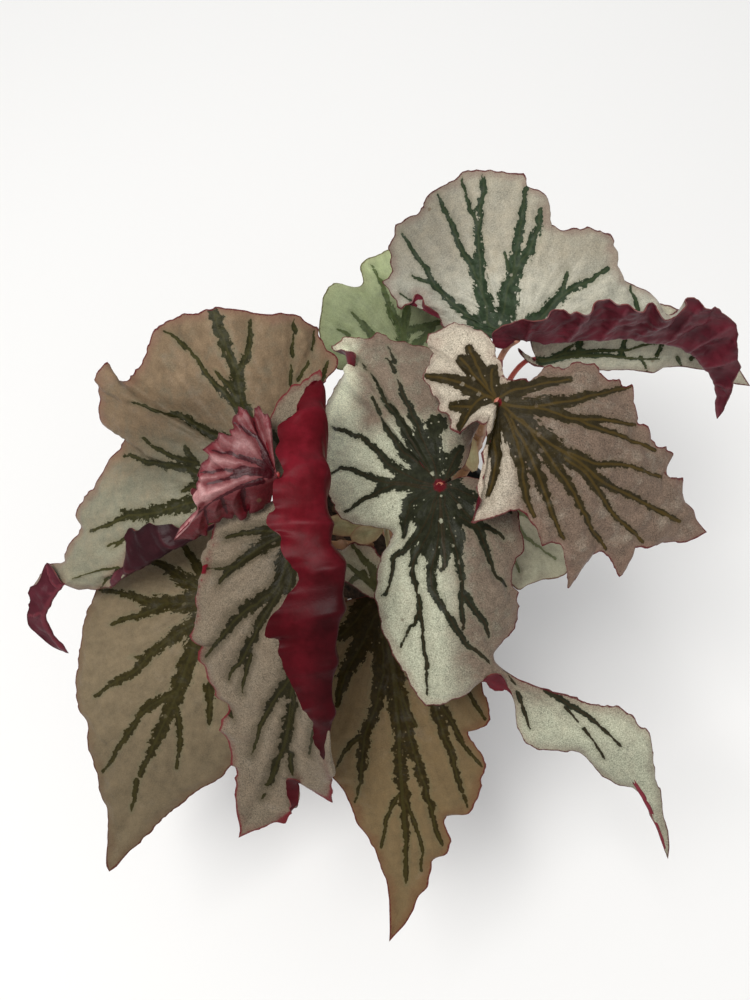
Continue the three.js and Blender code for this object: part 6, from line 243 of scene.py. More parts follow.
   [[-65.6,-93.5,249.6,0.5],[-67.1,-94.9,247.9,0.44],[-69.5,-96.0,245.6,0.36],[-71.0,-97.7,243.1,0.26],[-71.8,-99.5,241.0,0.14]],
   [[-62.1,-92.2,252.1,0.56],[-62.7,-93.7,250.8,0.53],[-63.6,-95.3,249.4,0.48],[-64.5,-97.1,247.4,0.43],[-64.8,-99.0,245.5,0.37],[-65.5,-100.9,243.5,0.3],[-66.3,-102.9,241.6,0.23],[-66.4,-104.5,240.2,0.16]],
   [[-46.1,-99.6,252.4,0.97],[-47.0,-101.4,250.5,0.95],[-48.3,-102.7,248.9,0.92],[-49.6,-104.4,247.0,0.89],[-51.3,-105.7,245.3,0.87],[-52.6,-107.4,243.4,0.84],[-54.3,-109.1,241.4,0.82],[-55.3,-110.6,239.5,0.79]],
   [[-55.3,-110.6,239.5,0.56],[-56.7,-112.0,237.5,0.53],[-57.9,-114.2,235.4,0.49],[-59.2,-116.0,233.7,0.45],[-60.0,-118.0,232.1,0.4],[-60.6,-120.5,229.8,0.34],[-61.6,-122.2,227.5,0.28],[-62.6,-124.7,225.0,0.22],[-63.7,-126.1,223.5,0.16]],
   [[-41.9,-88.7,262.3,1.9],[-42.1,-90.0,261.4,1.88],[-43.2,-91.5,259.8,1.85],[-43.4,-94.0,257.9,1.81],[-44.1,-96.4,255.8,1.77],[-45.1,-98.6,253.6,1.73],[-45.6,-100.5,251.7,1.68],[-45.9,-102.8,249.5,1.63],[-45.7,-105.3,248.1,1.58],[-45.5,-107.4,246.9,1.52],[-45.1,-109.1,246.1,1.47],[-45.7,-111.2,243.5,1.41],[-46.3,-112.8,241.5,1.35],[-46.9,-114.8,239.0,1.29],[-47.7,-117.1,236.2,1.23],[-48.3,-119.3,233.8,1.17],[-49.1,-121.4,231.5,1.1],[-49.7,-123.2,229.6,1.04],[-50.7,-125.3,227.4,0.97],[-51.7,-127.6,225.2,0.9],[-53.2,-129.0,223.6,0.83],[-53.8,-131.5,221.6,0.76],[-54.5,-133.7,219.7,0.69],[-55.8,-135.8,217.6,0.62],[-57.3,-137.2,216.2,0.54]],
   [[-36.8,-118.3,249.4,0.39],[-37.5,-119.7,247.2,0.36],[-38.2,-121.6,243.7,0.31],[-38.7,-123.9,240.3,0.25],[-39.3,-125.7,237.4,0.18],[-39.8,-127.4,234.6,0.11]],
   [[-47.4,-126.6,228.2,0.9],[-47.6,-128.3,226.6,0.79],[-47.5,-130.3,225.1,0.64],[-47.2,-132.3,223.8,0.46],[-46.9,-134.1,222.8,0.26]],
   [[-58.5,-140.7,213.2,0.34],[-59.8,-142.1,212.0,0.1]],
   [[-72.1,-110.6,231.0,0.56],[-71.5,-111.7,230.9,0.4],[-70.8,-112.8,230.9,0.16]],
   [[-47.6,-60.0,271.6,1.68],[-47.1,-62.2,271.3,1.53],[-45.9,-64.6,271.2,1.32],[-45.6,-66.8,270.7,1.06],[-46.3,-69.3,269.8,0.78],[-46.9,-71.1,268.9,0.48]],
  ],
  "auto": [
   [[-37.8,-47.7,275.2,0.99],[-37.6,-45.6,276.1,0.96],[-37.4,-43.1,277.1,0.92],[-37.1,-41.0,277.9,0.87],[-36.9,-38.4,278.8,0.82],[-36.7,-36.3,279.4,0.76],[-36.4,-33.7,280.1,0.7],[-36.2,-31.5,280.6,0.63],[-35.9,-28.9,281.0,0.56],[-35.7,-26.7,281.3,0.49],[-35.4,-24.0,281.6,0.42],[-35.2,-21.8,281.7,0.35],[-34.9,-19.0,281.8,0.27]],
   [[-37.8,-47.2,275.4,1.1],[-37.7,-43.3,276.8,1.07],[-37.6,-38.3,278.6,1.02],[-37.4,-34.4,280.0,0.97],[-37.3,-29.4,281.5,0.91],[-37.1,-25.4,282.6,0.84],[-37.0,-20.4,283.7,0.78],[-36.8,-16.3,284.4,0.7],[-36.7,-11.2,285.1,0.63],[-36.5,-7.0,285.5,0.55],[-36.3,-1.8,285.8,0.47],[-36.2,2.4,285.9,0.39],[-36.0,7.7,286.0,0.3]],
   [[-38.2,-47.5,275.2,1.21],[-39.3,-44.7,276.1,1.18],[-40.7,-41.3,277.2,1.12],[-41.9,-38.5,278.0,1.06],[-43.3,-35.1,278.9,1.0],[-44.5,-32.3,279.5,0.93],[-45.9,-28.8,280.1,0.85],[-47.1,-26.0,280.4,0.77],[-48.6,-22.5,280.7,0.69],[-49.8,-19.6,280.8,0.6],[-51.2,-16.1,280.7,0.52],[-52.4,-13.2,280.6,0.42],[-53.9,-9.6,280.4,0.33]],
   [[-37.8,-47.8,275.2,0.61],[-37.5,-46.2,276.2,0.59],[-37.2,-44.2,277.4,0.56],[-36.9,-42.7,278.3,0.53],[-36.5,-40.7,279.5,0.5],[-36.2,-39.1,280.4,0.46],[-35.8,-37.1,281.5,0.43],[-35.5,-35.4,282.4,0.39],[-35.2,-33.4,283.4,0.35],[-34.9,-31.8,284.2,0.3],[-34.5,-29.7,285.2,0.26],[-34.2,-28.0,286.0,0.21],[-33.8,-26.0,287.0,0.17]],
   [[-37.7,-46.7,275.6,0.61],[-37.2,-40.9,278.2,0.59],[-36.5,-33.8,281.4,0.56],[-36.0,-28.3,283.8,0.53],[-35.4,-21.9,286.6,0.5],[-35.0,-17.2,288.7,0.46],[-34.6,-12.1,291.0,0.43],[-34.4,-8.7,292.5,0.39],[-34.3,-5.4,294.0,0.35],[-34.3,-3.7,294.8,0.3],[-34.5,-2.3,295.6,0.26],[-34.7,-1.6,296.0,0.21],[-34.8,-0.9,296.2,0.17]],
   [[-37.6,-47.0,275.7,0.66],[-36.6,-42.6,278.6,0.64],[-35.3,-37.0,282.2,0.61],[-34.4,-32.8,284.9,0.58],[-33.5,-27.7,288.3,0.54],[-32.9,-23.9,290.8,0.51],[-32.5,-19.6,293.8,0.47],[-32.4,-16.5,296.1,0.42],[-32.8,-13.3,298.6,0.38],[-33.6,-11.6,300.3,0.33],[-35.6,-11.2,301.7,0.28],[-38.0,-12.0,302.4,0.23],[-41.5,-13.8,303.0,0.18]],
   [[-37.5,-47.7,275.7,0.66],[-36.3,-46.0,278.7,0.64],[-34.7,-43.9,282.3,0.61],[-33.6,-42.2,285.1,0.58],[-32.4,-40.2,288.6,0.54],[-31.7,-38.8,291.2,0.51],[-31.1,-37.0,294.3,0.47],[-31.0,-35.8,296.7,0.42],[-31.3,-34.5,299.4,0.38],[-32.0,-33.7,301.3,0.33],[-34.5,-33.4,302.9,0.28],[-37.7,-33.8,303.5,0.23],[-42.5,-34.8,303.9,0.18]],
   [[-37.5,-48.4,275.7,0.72],[-35.9,-49.3,278.7,0.69],[-34.1,-50.4,282.3,0.66],[-32.8,-51.2,285.1,0.63],[-31.3,-52.3,288.5,0.59],[-30.4,-53.1,291.1,0.55],[-29.7,-54.0,294.1,0.5],[-29.6,-54.6,296.3,0.46],[-29.9,-55.4,298.9,0.41],[-30.7,-55.9,300.6,0.36],[-33.7,-56.1,301.9,0.3],[-37.5,-56.1,302.1,0.25],[-43.7,-55.8,301.9,0.2]],
   [[-37.9,-53.4,275.2,0.72],[-36.1,-55.4,278.0,0.69],[-33.8,-57.8,281.4,0.66],[-31.9,-59.7,284.0,0.63],[-29.8,-61.9,287.1,0.59],[-28.3,-63.7,289.4,0.55],[-26.8,-65.7,292.0,0.5],[-25.8,-67.3,293.9,0.46],[-25.2,-69.3,296.0,0.41],[-25.5,-70.2,297.5,0.36],[-27.7,-71.8,298.2,0.3],[-31.2,-72.1,298.1,0.25],[-36.5,-73.1,297.0,0.2]],
   [[-39.3,-69.1,272.4,0.72],[-36.9,-71.1,274.9,0.69],[-33.9,-73.3,278.1,0.66],[-31.7,-75.1,280.4,0.63],[-29.2,-77.1,283.3,0.59],[-27.6,-78.9,285.3,0.55],[-26.1,-80.8,287.7,0.5],[-25.4,-82.4,289.2,0.46],[-25.2,-84.2,290.8,0.41],[-25.9,-85.2,291.9,0.36],[-29.3,-86.6,291.8,0.3],[-34.1,-87.3,290.9,0.25],[-42.2,-88.6,288.6,0.2]],
   [[-40.9,-83.7,265.7,0.66],[-38.6,-85.7,267.6,0.64],[-35.9,-88.0,270.0,0.61],[-33.9,-89.9,271.6,0.58],[-31.8,-92.2,273.5,0.54],[-30.3,-94.1,274.7,0.51],[-28.9,-96.3,276.1,0.47],[-28.2,-98.2,276.8,0.42],[-27.9,-100.2,277.6,0.38],[-28.2,-101.2,278.4,0.33],[-30.6,-102.6,277.8,0.28],[-34.1,-103.0,277.2,0.23],[-39.5,-103.9,275.2,0.18]],
   [[-43.6,-97.2,255.8,0.61],[-41.6,-99.2,257.0,0.59],[-39.0,-101.7,258.6,0.56],[-37.1,-103.8,259.6,0.53],[-34.9,-106.2,260.8,0.5],[-33.3,-108.2,261.5,0.46],[-31.6,-110.6,262.3,0.43],[-30.5,-112.5,262.6,0.39],[-29.7,-114.8,262.7,0.35],[-29.2,-115.9,263.1,0.3],[-30.2,-117.5,261.9,0.26],[-31.9,-118.0,261.0,0.21],[-34.5,-118.8,258.6,0.17]],
  ],
  "zones": [[-42.2,-49.1,274.2,3.06],[-45.5,-61.4,271.9,1.9]], "clear": []},
 "blade_young": {
  "midrib": [[-50.9,-31.3,286.0],[-56.2,-34.2,288.0],[-64.3,-37.0,288.0],[-73.0,-39.9,284.0],[-82.3,-44.1,276.0],[-87.8,-47.1,270.0],[-92.8,-49.3,264.0]],
  "halves": [
   {"sign": -1, "turn": 3, "arch": 0.04,
    "margin": [[-50.5,-32.5,285.0],[-52.2,-34.1,283.0],[-53.2,-36.2,281.0],[-53.5,-38.3,279.0],[-55.9,-39.9,278.0],[-58.6,-41.2,277.0],[-62.0,-42.4,277.0],[-61.4,-39.3,276.4],[-63.3,-42.7,275.6],[-65.6,-43.9,275.0],[-68.0,-41.6,275.0],[-69.5,-42.4,275.0],[-71.7,-42.9,273.0],[-74.6,-43.9,271.3],[-76.7,-44.7,270.0],[-79.3,-45.6,268.0],[-79.9,-47.8,266.0],[-83.2,-47.3,264.8],[-84.4,-49.1,264.0],[-88.0,-48.3,264.0],[-92.8,-49.3,264.0]],
    "rolls": [], "pins": [], "comb": 0, "soft": 2, "edge": 6},
   {"sign": 1, "turn": 17, "arch": 0.08,
    "margin": [[-51.7,-30.1,286.0],[-55.8,-25.8,287.0],[-56.8,-21.0,289.0],[-56.9,-17.8,291.0],[-55.4,-14.6,293.0],[-53.0,-12.9,295.0],[-54.3,-11.7,295.4],[-55.9,-9.9,296.0],[-57.4,-7.8,294.9],[-58.4,-7.9,294.2],[-59.1,-9.4,293.0],[-59.8,-11.0,294.1],[-61.2,-10.5,295.7],[-62.0,-9.7,297.0],[-63.8,-8.9,296.1],[-64.8,-10.1,295.0],[-66.8,-11.4,295.6],[-68.3,-12.4,296.0],[-67.3,-13.6,293.5],[-68.2,-15.1,291.0],[-69.7,-17.6,292.5],[-72.0,-18.7,294.0],[-73.0,-19.3,293.1],[-72.2,-19.9,292.1],[-74.0,-19.7,291.0],[-75.4,-19.7,291.5],[-76.5,-21.2,292.1],[-78.1,-23.4,293.0],[-75.8,-23.6,289.9],[-76.3,-24.9,288.0],[-78.0,-26.9,288.0],[-78.0,-28.3,288.0],[-80.3,-30.0,288.6],[-81.3,-31.9,289.0],[-79.8,-32.0,286.9],[-80.0,-33.2,285.0],[-81.5,-34.4,285.3],[-80.9,-36.5,285.6],[-83.3,-38.4,286.0],[-80.6,-38.8,283.0],[-79.1,-40.3,281.0],[-82.3,-41.6,277.0],[-85.6,-43.3,273.0],[-89.3,-45.1,269.0],[-91.2,-47.3,266.0],[-92.8,-49.3,264.0]],
    "rolls": [], "pins": [], "comb": 0, "soft": 2, "edge": 6},
  ],
  "veins": [
   [[-53.1,-30.5,287.6,0.56],[-53.7,-28.9,288.4,0.54],[-54.4,-26.8,289.6,0.51],[-55.5,-24.6,291.0,0.48],[-55.9,-22.3,292.3,0.44],[-57.1,-20.1,293.3,0.4],[-58.4,-18.3,294.0,0.35],[-60.9,-17.3,294.2,0.31],[-62.7,-16.2,294.6,0.26],[-64.9,-14.7,295.1,0.21],[-66.5,-13.7,295.4,0.16]],
   [[-53.1,-30.7,287.5,0.56],[-54.2,-29.7,288.4,0.54],[-55.8,-28.3,289.5,0.52],[-57.9,-27.5,290.3,0.49],[-59.5,-27.0,290.8,0.45],[-61.9,-26.6,291.6,0.42],[-63.9,-26.2,292.3,0.38],[-65.9,-25.8,292.7,0.34],[-68.1,-24.4,292.8,0.3],[-71.2,-24.2,291.9,0.25],[-73.4,-23.7,292.1,0.21],[-74.9,-23.6,292.3,0.16]],
   [[-53.1,-30.7,287.5,0.62],[-54.6,-31.0,288.2,0.6],[-56.8,-30.7,289.2,0.57],[-59.3,-31.0,290.1,0.54],[-61.7,-30.8,290.8,0.51],[-63.2,-30.4,291.1,0.48],[-65.9,-31.3,290.8,0.44],[-68.0,-31.4,291.1,0.4],[-69.7,-30.9,291.3,0.36],[-72.6,-30.6,289.5,0.31],[-75.6,-30.5,288.3,0.27],[-78.1,-30.6,288.2,0.22],[-79.7,-30.7,288.5,0.18]],
   [[-53.8,-31.4,287.7,0.62],[-55.3,-31.4,288.4,0.6],[-57.6,-31.4,289.4,0.57],[-60.2,-31.5,290.2,0.53],[-62.2,-31.5,290.5,0.5],[-64.5,-32.7,290.2,0.46],[-66.8,-33.2,290.3,0.42],[-68.3,-33.8,289.9,0.37],[-70.6,-34.1,288.5,0.33],[-73.3,-34.4,287.6,0.28],[-76.3,-34.9,287.3,0.23],[-77.4,-35.2,287.1,0.18]],
   [[-53.1,-30.5,287.6,0.45],[-53.5,-29.1,288.3,0.43],[-54.3,-27.0,289.5,0.4],[-54.8,-24.6,291.0,0.37],[-55.5,-22.6,292.2,0.34],[-56.6,-20.8,293.1,0.3],[-57.3,-18.7,293.8,0.26],[-57.9,-16.7,294.1,0.22],[-58.9,-14.0,294.3,0.17],[-59.3,-12.1,294.1,0.13]],
   [[-56.5,-34.3,288.0,0.5],[-58.1,-34.9,288.2,0.49],[-60.5,-35.8,288.4,0.46],[-62.9,-36.6,288.3,0.44],[-65.2,-37.3,287.8,0.41],[-67.5,-38.1,286.9,0.37],[-69.7,-38.8,285.8,0.34],[-72.0,-39.5,284.5,0.3],[-74.3,-40.4,283.0,0.27],[-76.8,-41.5,281.0,0.23],[-79.1,-42.5,279.0,0.19],[-80.7,-43.2,277.6,0.14]],
  ],
  "auto": [
   [[-63.0,-36.7,288.0,0.44],[-63.2,-37.1,287.2,0.43],[-63.3,-37.6,286.2,0.41],[-63.4,-37.9,285.3,0.39],[-63.5,-38.4,284.3,0.36],[-63.6,-38.8,283.4,0.34],[-63.6,-39.3,282.4,0.31],[-63.7,-39.7,281.5,0.28],[-63.7,-40.1,280.5,0.25],[-63.6,-40.4,279.7,0.22],[-63.5,-40.9,278.6,0.19],[-63.4,-41.2,277.8,0.15],[-63.3,-41.8,276.7,0.12]],
   [[-71.5,-39.4,284.7,0.44],[-71.5,-39.7,283.9,0.43],[-71.4,-40.0,283.0,0.41],[-71.4,-40.3,282.2,0.39],[-71.3,-40.6,281.3,0.36],[-71.3,-40.9,280.5,0.34],[-71.2,-41.2,279.6,0.31],[-71.2,-41.4,278.9,0.28],[-71.2,-41.7,277.9,0.25],[-71.0,-41.8,277.3,0.22],[-70.9,-42.1,276.4,0.19],[-70.7,-42.2,275.8,0.15],[-70.7,-42.5,274.9,0.12]],
   [[-78.7,-42.4,279.2,0.44],[-78.7,-42.6,278.4,0.43],[-78.6,-42.9,277.5,0.41],[-78.6,-43.1,276.8,0.39],[-78.6,-43.4,275.9,0.36],[-78.6,-43.6,275.1,0.34],[-78.5,-43.9,274.2,0.31],[-78.5,-44.1,273.5,0.28],[-78.5,-44.4,272.6,0.25],[-78.3,-44.5,272.0,0.22],[-78.3,-44.7,271.1,0.19],[-78.2,-44.8,270.5,0.15],[-78.2,-45.0,269.7,0.12]],
  ],
  "zones": [[-52.7,-31.2,287.2,1.13]], "clear": []},
 "blade_front_left": {
  "midrib": [[-82.1,-57.0,207.0],[-87.6,-66.5,205.0],[-93.0,-73.9,202.0],[-98.0,-85.4,196.0],[-103.2,-97.9,189.0],[-109.7,-109.3,181.0],[-116.8,-121.9,173.0],[-122.9,-131.6,166.0],[-126.6,-144.5,158.0],[-131.6,-157.1,151.0],[-135.7,-168.4,146.0]],
  "halves": [
   {"sign": -1, "turn": 4, "arch": 0.06,
    "margin": [[-79.9,-56.1,207.0],[-76.4,-52.7,208.0],[-71.1,-52.7,208.0],[-66.7,-56.7,206.0],[-64.0,-64.1,203.0],[-63.2,-73.1,199.0],[-63.6,-83.0,195.0],[-65.9,-93.6,190.0],[-69.4,-104.8,183.0],[-74.0,-115.4,174.0],[-79.3,-123.5,168.0],[-80.1,-123.9,167.7],[-83.9,-128.0,166.0],[-87.3,-130.4,164.6],[-91.8,-132.4,163.0],[-96.8,-134.4,161.5],[-100.7,-137.9,160.0],[-107.4,-143.5,157.0],[-111.4,-145.5,155.5],[-115.9,-150.5,153.0],[-119.3,-153.1,151.6],[-122.1,-156.6,150.0],[-126.5,-159.2,149.0],[-129.7,-162.8,148.0],[-132.3,-166.4,146.9],[-135.7,-168.4,146.0]],
    "rolls": [], "pins": [], "comb": 0, "soft": 3, "edge": 6},
   {"sign": 1, "turn": 8, "arch": 0.06,
    "margin": [[-81.4,-54.2,207.0],[-81.2,-48.1,208.0],[-81.4,-36.8,208.0],[-85.4,-23.9,207.0],[-94.6,-15.3,205.0],[-105.4,-11.6,203.0],[-118.0,-12.4,200.0],[-130.4,-19.9,196.0],[-138.4,-34.3,192.0],[-143.6,-43.8,188.0],[-144.1,-49.7,187.0],[-146.8,-55.0,185.3],[-148.9,-59.2,184.0],[-149.9,-62.2,182.5],[-150.3,-67.3,180.0],[-151.1,-72.5,177.9],[-151.1,-79.7,175.0],[-153.1,-87.0,172.0],[-152.2,-91.2,170.5],[-151.8,-95.3,169.0],[-150.3,-99.7,168.6],[-146.0,-105.1,168.0],[-145.6,-110.3,166.2],[-145.3,-116.5,164.0],[-142.3,-123.8,162.0],[-140.8,-131.9,158.0],[-139.6,-136.1,156.7],[-136.7,-141.2,155.0],[-136.6,-150.4,151.0],[-136.9,-156.6,149.0],[-137.4,-165.8,146.0],[-135.7,-168.4,146.0]],
    "rolls": [], "pins": [], "comb": 0, "soft": 3, "edge": 6},
  ],
  "veins": [
   [[-84.9,-55.0,207.0,0.95],[-85.7,-53.0,207.2,0.92],[-87.5,-50.5,207.5,0.87],[-89.5,-47.5,207.6,0.81],[-91.4,-45.1,207.7,0.75],[-93.3,-42.6,207.7,0.68],[-94.5,-40.5,207.7,0.6],[-96.1,-37.6,207.6,0.52],[-98.2,-35.2,207.3,0.44],[-100.2,-31.9,206.8,0.36],[-102.0,-29.9,206.4,0.27]],
   [[-86.4,-56.4,206.5,1.3],[-88.0,-54.6,206.6,1.27],[-90.3,-52.9,206.5,1.24],[-92.4,-51.0,206.5,1.22],[-94.2,-49.7,206.4,1.19],[-96.7,-48.3,206.2,1.16],[-100.0,-47.2,205.7,1.14],[-102.0,-45.2,205.5,1.11],[-104.8,-43.3,205.1,1.08],[-107.1,-41.9,204.6,1.06]],
   [[-107.1,-41.9,204.6,0.78],[-109.1,-39.9,204.1,0.69],[-112.7,-38.5,203.1,0.56],[-115.9,-37.5,202.0,0.4],[-118.9,-37.2,200.9,0.22]],
   [[-85.0,-58.7,206.4,1.73],[-86.9,-58.5,206.2,1.69],[-89.5,-58.5,205.8,1.66],[-93.3,-58.2,205.3,1.62],[-96.5,-58.0,204.8,1.59],[-99.6,-57.9,204.2,1.55],[-102.8,-57.8,203.6,1.51],[-106.4,-57.4,202.7,1.48],[-109.5,-57.3,201.9,1.44],[-112.0,-57.5,201.1,1.41]],
   [[-111.8,-57.0,201.3,1.18],[-113.8,-56.2,200.7,1.13],[-117.1,-55.4,199.7,1.07],[-120.1,-54.2,198.7,1.0],[-122.9,-52.6,197.7,0.92],[-126.1,-51.9,196.4,0.83],[-129.0,-50.7,195.1,0.74],[-132.0,-49.5,193.8,0.65],[-135.5,-48.7,192.0,0.55],[-139.5,-47.7,189.9,0.44],[-141.9,-46.8,188.6,0.34]],
   [[-109.5,-58.5,201.7,1.01],[-111.5,-58.8,201.1,0.97],[-114.4,-59.8,200.0,0.91],[-117.1,-60.4,198.9,0.84],[-120.1,-61.5,197.7,0.76],[-122.9,-61.5,196.5,0.67],[-126.0,-62.1,195.1,0.58],[-129.6,-62.4,193.5,0.49],[-132.1,-63.2,192.2,0.39],[-134.6,-63.9,190.8,0.29]],
   [[-84.5,-61.7,206.1,1.4],[-86.8,-63.0,205.6,1.39],[-89.8,-64.6,204.9,1.37],[-91.9,-66.0,204.3,1.35],[-94.2,-67.2,203.6,1.33],[-96.2,-68.0,203.0,1.32],[-98.4,-69.3,202.2,1.3],[-100.9,-70.4,201.2,1.28],[-103.6,-72.1,200.0,1.27],[-105.9,-73.4,199.0,1.25],[-108.2,-74.6,197.9,1.23],[-110.4,-75.9,196.7,1.21],[-112.7,-77.7,195.2,1.2],[-115.2,-78.8,193.9,1.18],[-117.5,-81.2,192.2,1.16],[-119.0,-82.7,191.0,1.14]],
   [[-119.0,-82.7,191.0,1.18],[-120.5,-84.3,189.8,1.13],[-123.4,-85.9,188.0,1.06],[-126.1,-87.0,186.5,0.97],[-129.1,-87.6,184.9,0.88],[-131.9,-88.8,183.2,0.78],[-135.1,-89.8,181.3,0.68],[-137.8,-91.5,179.2,0.57],[-140.9,-93.1,176.8,0.46],[-143.3,-93.8,175.0,0.34]],
   [[-119.2,-79.5,192.2,0.5],[-121.7,-79.2,191.4,0.36],[-124.2,-78.8,190.5,0.14]],
   [[-82.9,-60.1,206.4,2.11],[-84.1,-61.8,206.1,2.09],[-86.3,-64.4,205.5,2.06],[-87.9,-67.0,204.8,2.04],[-88.7,-68.8,204.3,2.02],[-90.3,-70.8,203.5,2.0],[-91.7,-72.9,202.5,1.98],[-92.9,-75.0,201.5,1.96],[-93.7,-77.3,200.4,1.94],[-94.6,-79.6,199.2,1.92],[-95.8,-81.7,198.1,1.9],[-97.3,-83.7,196.9,1.88],[-98.2,-85.9,195.7,1.86],[-98.7,-88.8,194.2,1.84],[-100.2,-90.8,193.1,1.82],[-101.0,-93.0,191.9,1.8],[-101.8,-95.8,190.3,1.78],[-103.1,-97.8,189.1,1.76],[-104.3,-100.8,187.1,1.74],[-106.0,-102.1,186.0,1.72]],
   [[-106.0,-102.1,186.0,1.79],[-106.4,-104.3,184.6,1.74],[-108.1,-106.5,182.9,1.65],[-109.7,-109.3,181.0,1.56],[-111.1,-111.7,179.4,1.45],[-112.2,-113.8,178.1,1.33],[-113.6,-116.2,176.6,1.21],[-115.0,-118.7,175.1,1.08],[-116.4,-121.1,173.5,0.95],[-117.8,-123.5,171.9,0.81],[-119.4,-126.2,169.9,0.66],[-120.3,-128.3,168.5,0.51]],
   [[-122.5,-131.3,166.3,0.67],[-122.7,-133.2,165.1,0.61],[-123.2,-135.9,163.4,0.53],[-123.5,-138.7,161.6,0.42],[-124.7,-141.1,160.1,0.31],[-125.1,-143.0,159.0,0.19]],
   [[-102.7,-94.5,190.8,1.23],[-104.9,-95.7,189.6,1.21],[-107.5,-96.8,188.3,1.18],[-110.1,-97.9,187.1,1.15],[-112.8,-99.0,185.7,1.11],[-115.3,-100.1,184.4,1.07],[-117.5,-101.8,182.8,1.02],[-119.9,-103.4,181.2,0.97],[-121.4,-105.3,179.8,0.93],[-123.1,-107.6,178.3,0.87],[-124.8,-109.8,176.7,0.82],[-126.6,-111.4,175.3,0.77],[-128.5,-113.7,173.6,0.71],[-130.1,-115.6,172.2,0.66],[-131.8,-118.1,170.4,0.6],[-133.2,-120.5,168.7,0.54],[-134.6,-122.4,167.1,0.48],[-137.3,-124.3,164.7,0.42],[-139.1,-126.1,162.7,0.35]],
   [[-102.8,-99.4,188.1,1.01],[-101.9,-101.7,186.8,0.98],[-101.8,-103.6,185.5,0.93],[-101.5,-106.2,183.8,0.88],[-101.5,-108.6,182.1,0.81],[-101.2,-110.7,180.7,0.75],[-101.2,-113.1,179.1,0.68],[-101.3,-115.6,177.5,0.61],[-102.1,-118.4,175.8,0.53],[-102.8,-121.2,174.1,0.45],[-103.0,-123.5,172.5,0.37],[-103.4,-125.3,171.2,0.29]],
   [[-87.4,-92.7,193.1,1.12],[-87.4,-94.8,192.0,1.04],[-86.8,-97.6,190.3,0.93],[-87.2,-100.4,188.4,0.8],[-87.5,-103.3,186.4,0.65],[-87.8,-106.1,184.3,0.49],[-88.0,-108.0,182.8,0.32]],
  ],
  "auto": [
   [[-81.8,-57.1,207.0,1.1],[-80.7,-57.3,207.1,1.07],[-79.3,-57.6,207.1,1.02],[-78.1,-57.8,207.1,0.97],[-76.7,-58.1,207.0,0.91],[-75.6,-58.4,207.0,0.84],[-74.2,-58.7,206.8,0.78],[-73.1,-58.9,206.7,0.7],[-71.7,-59.2,206.4,0.63],[-70.6,-59.4,206.1,0.55],[-69.2,-59.7,205.7,0.47],[-68.1,-59.9,205.4,0.39],[-66.7,-60.2,205.0,0.3]],
   [[-91.2,-71.9,203.0,1.21],[-89.6,-73.2,202.6,1.18],[-87.4,-74.6,202.1,1.12],[-85.7,-75.9,201.6,1.06],[-83.5,-77.4,201.0,1.0],[-81.8,-78.8,200.4,0.93],[-79.5,-80.3,199.6,0.85],[-77.8,-81.6,198.8,0.77],[-75.5,-83.1,197.7,0.69],[-73.6,-83.9,197.0,0.6],[-71.4,-85.4,195.8,0.52],[-69.4,-86.1,194.9,0.42],[-67.2,-87.6,193.5,0.33]],
   [[-82.1,-56.5,207.1,0.99],[-82.2,-54.7,207.5,0.96],[-82.4,-52.5,207.9,0.92],[-82.5,-50.6,208.2,0.87],[-82.6,-48.4,208.5,0.82],[-82.7,-46.5,208.7,0.76],[-82.8,-44.2,208.8,0.7],[-82.9,-42.4,208.9,0.63],[-83.1,-40.1,208.8,0.56],[-83.2,-38.3,208.7,0.49],[-83.3,-36.0,208.4,0.42],[-83.4,-34.2,208.2,0.35],[-83.5,-31.9,207.8,0.27]],
  ],
  "zones": [[-83.9,-59.1,206.5,3.99]], "clear": []},
 "blade_front": {
  "midrib": [[-11.6,-58.2,208.0],[-8.2,-79.7,206.0],[-6.0,-90.5,203.0],[-4.9,-101.0,199.0],[-3.7,-111.5,195.0],[-3.2,-126.0,189.0],[-2.0,-140.7,182.0],[-0.8,-158.0,172.0],[-1.4,-174.2,162.0],[-4.0,-186.6,154.0],[-7.5,-197.6,149.0]],
  "halves": [
   {"sign": -1, "turn": 5, "arch": 0.06,
    "margin": [[-10.3,-56.4,208.0],[-7.2,-53.0,209.0],[-0.9,-49.8,209.0],[7.1,-50.2,209.0],[15.5,-54.1,208.0],[22.4,-61.1,207.0],[28.0,-71.0,205.0],[31.3,-82.1,203.0],[32.7,-91.2,200.0],[33.4,-96.9,198.0],[35.5,-100.6,197.0],[36.2,-107.1,195.0],[34.8,-109.8,194.6],[30.2,-110.8,194.0],[25.8,-111.8,193.0],[27.5,-115.4,191.1],[31.0,-118.4,189.0],[33.3,-122.6,186.9],[34.5,-126.8,185.0],[32.2,-131.0,183.4],[31.8,-135.3,182.0],[29.4,-141.5,178.9],[27.7,-145.2,177.0],[22.5,-145.6,177.5],[17.3,-146.4,178.0],[16.0,-147.9,177.0],[18.0,-152.1,174.8],[19.4,-155.8,173.0],[18.6,-159.5,171.3],[16.9,-162.1,170.0],[13.0,-162.6,168.8],[10.7,-164.2,168.0],[10.4,-170.0,166.0],[9.0,-174.8,163.4],[5.6,-178.0,161.0],[3.3,-184.3,158.0],[-0.6,-190.3,153.0],[-4.6,-194.6,150.7],[-7.5,-197.6,149.0]],
    "rolls": [], "pins": [], "comb": 0, "soft": 3, "edge": 6},
   {"sign": 1, "turn": 6, "arch": 0.06,
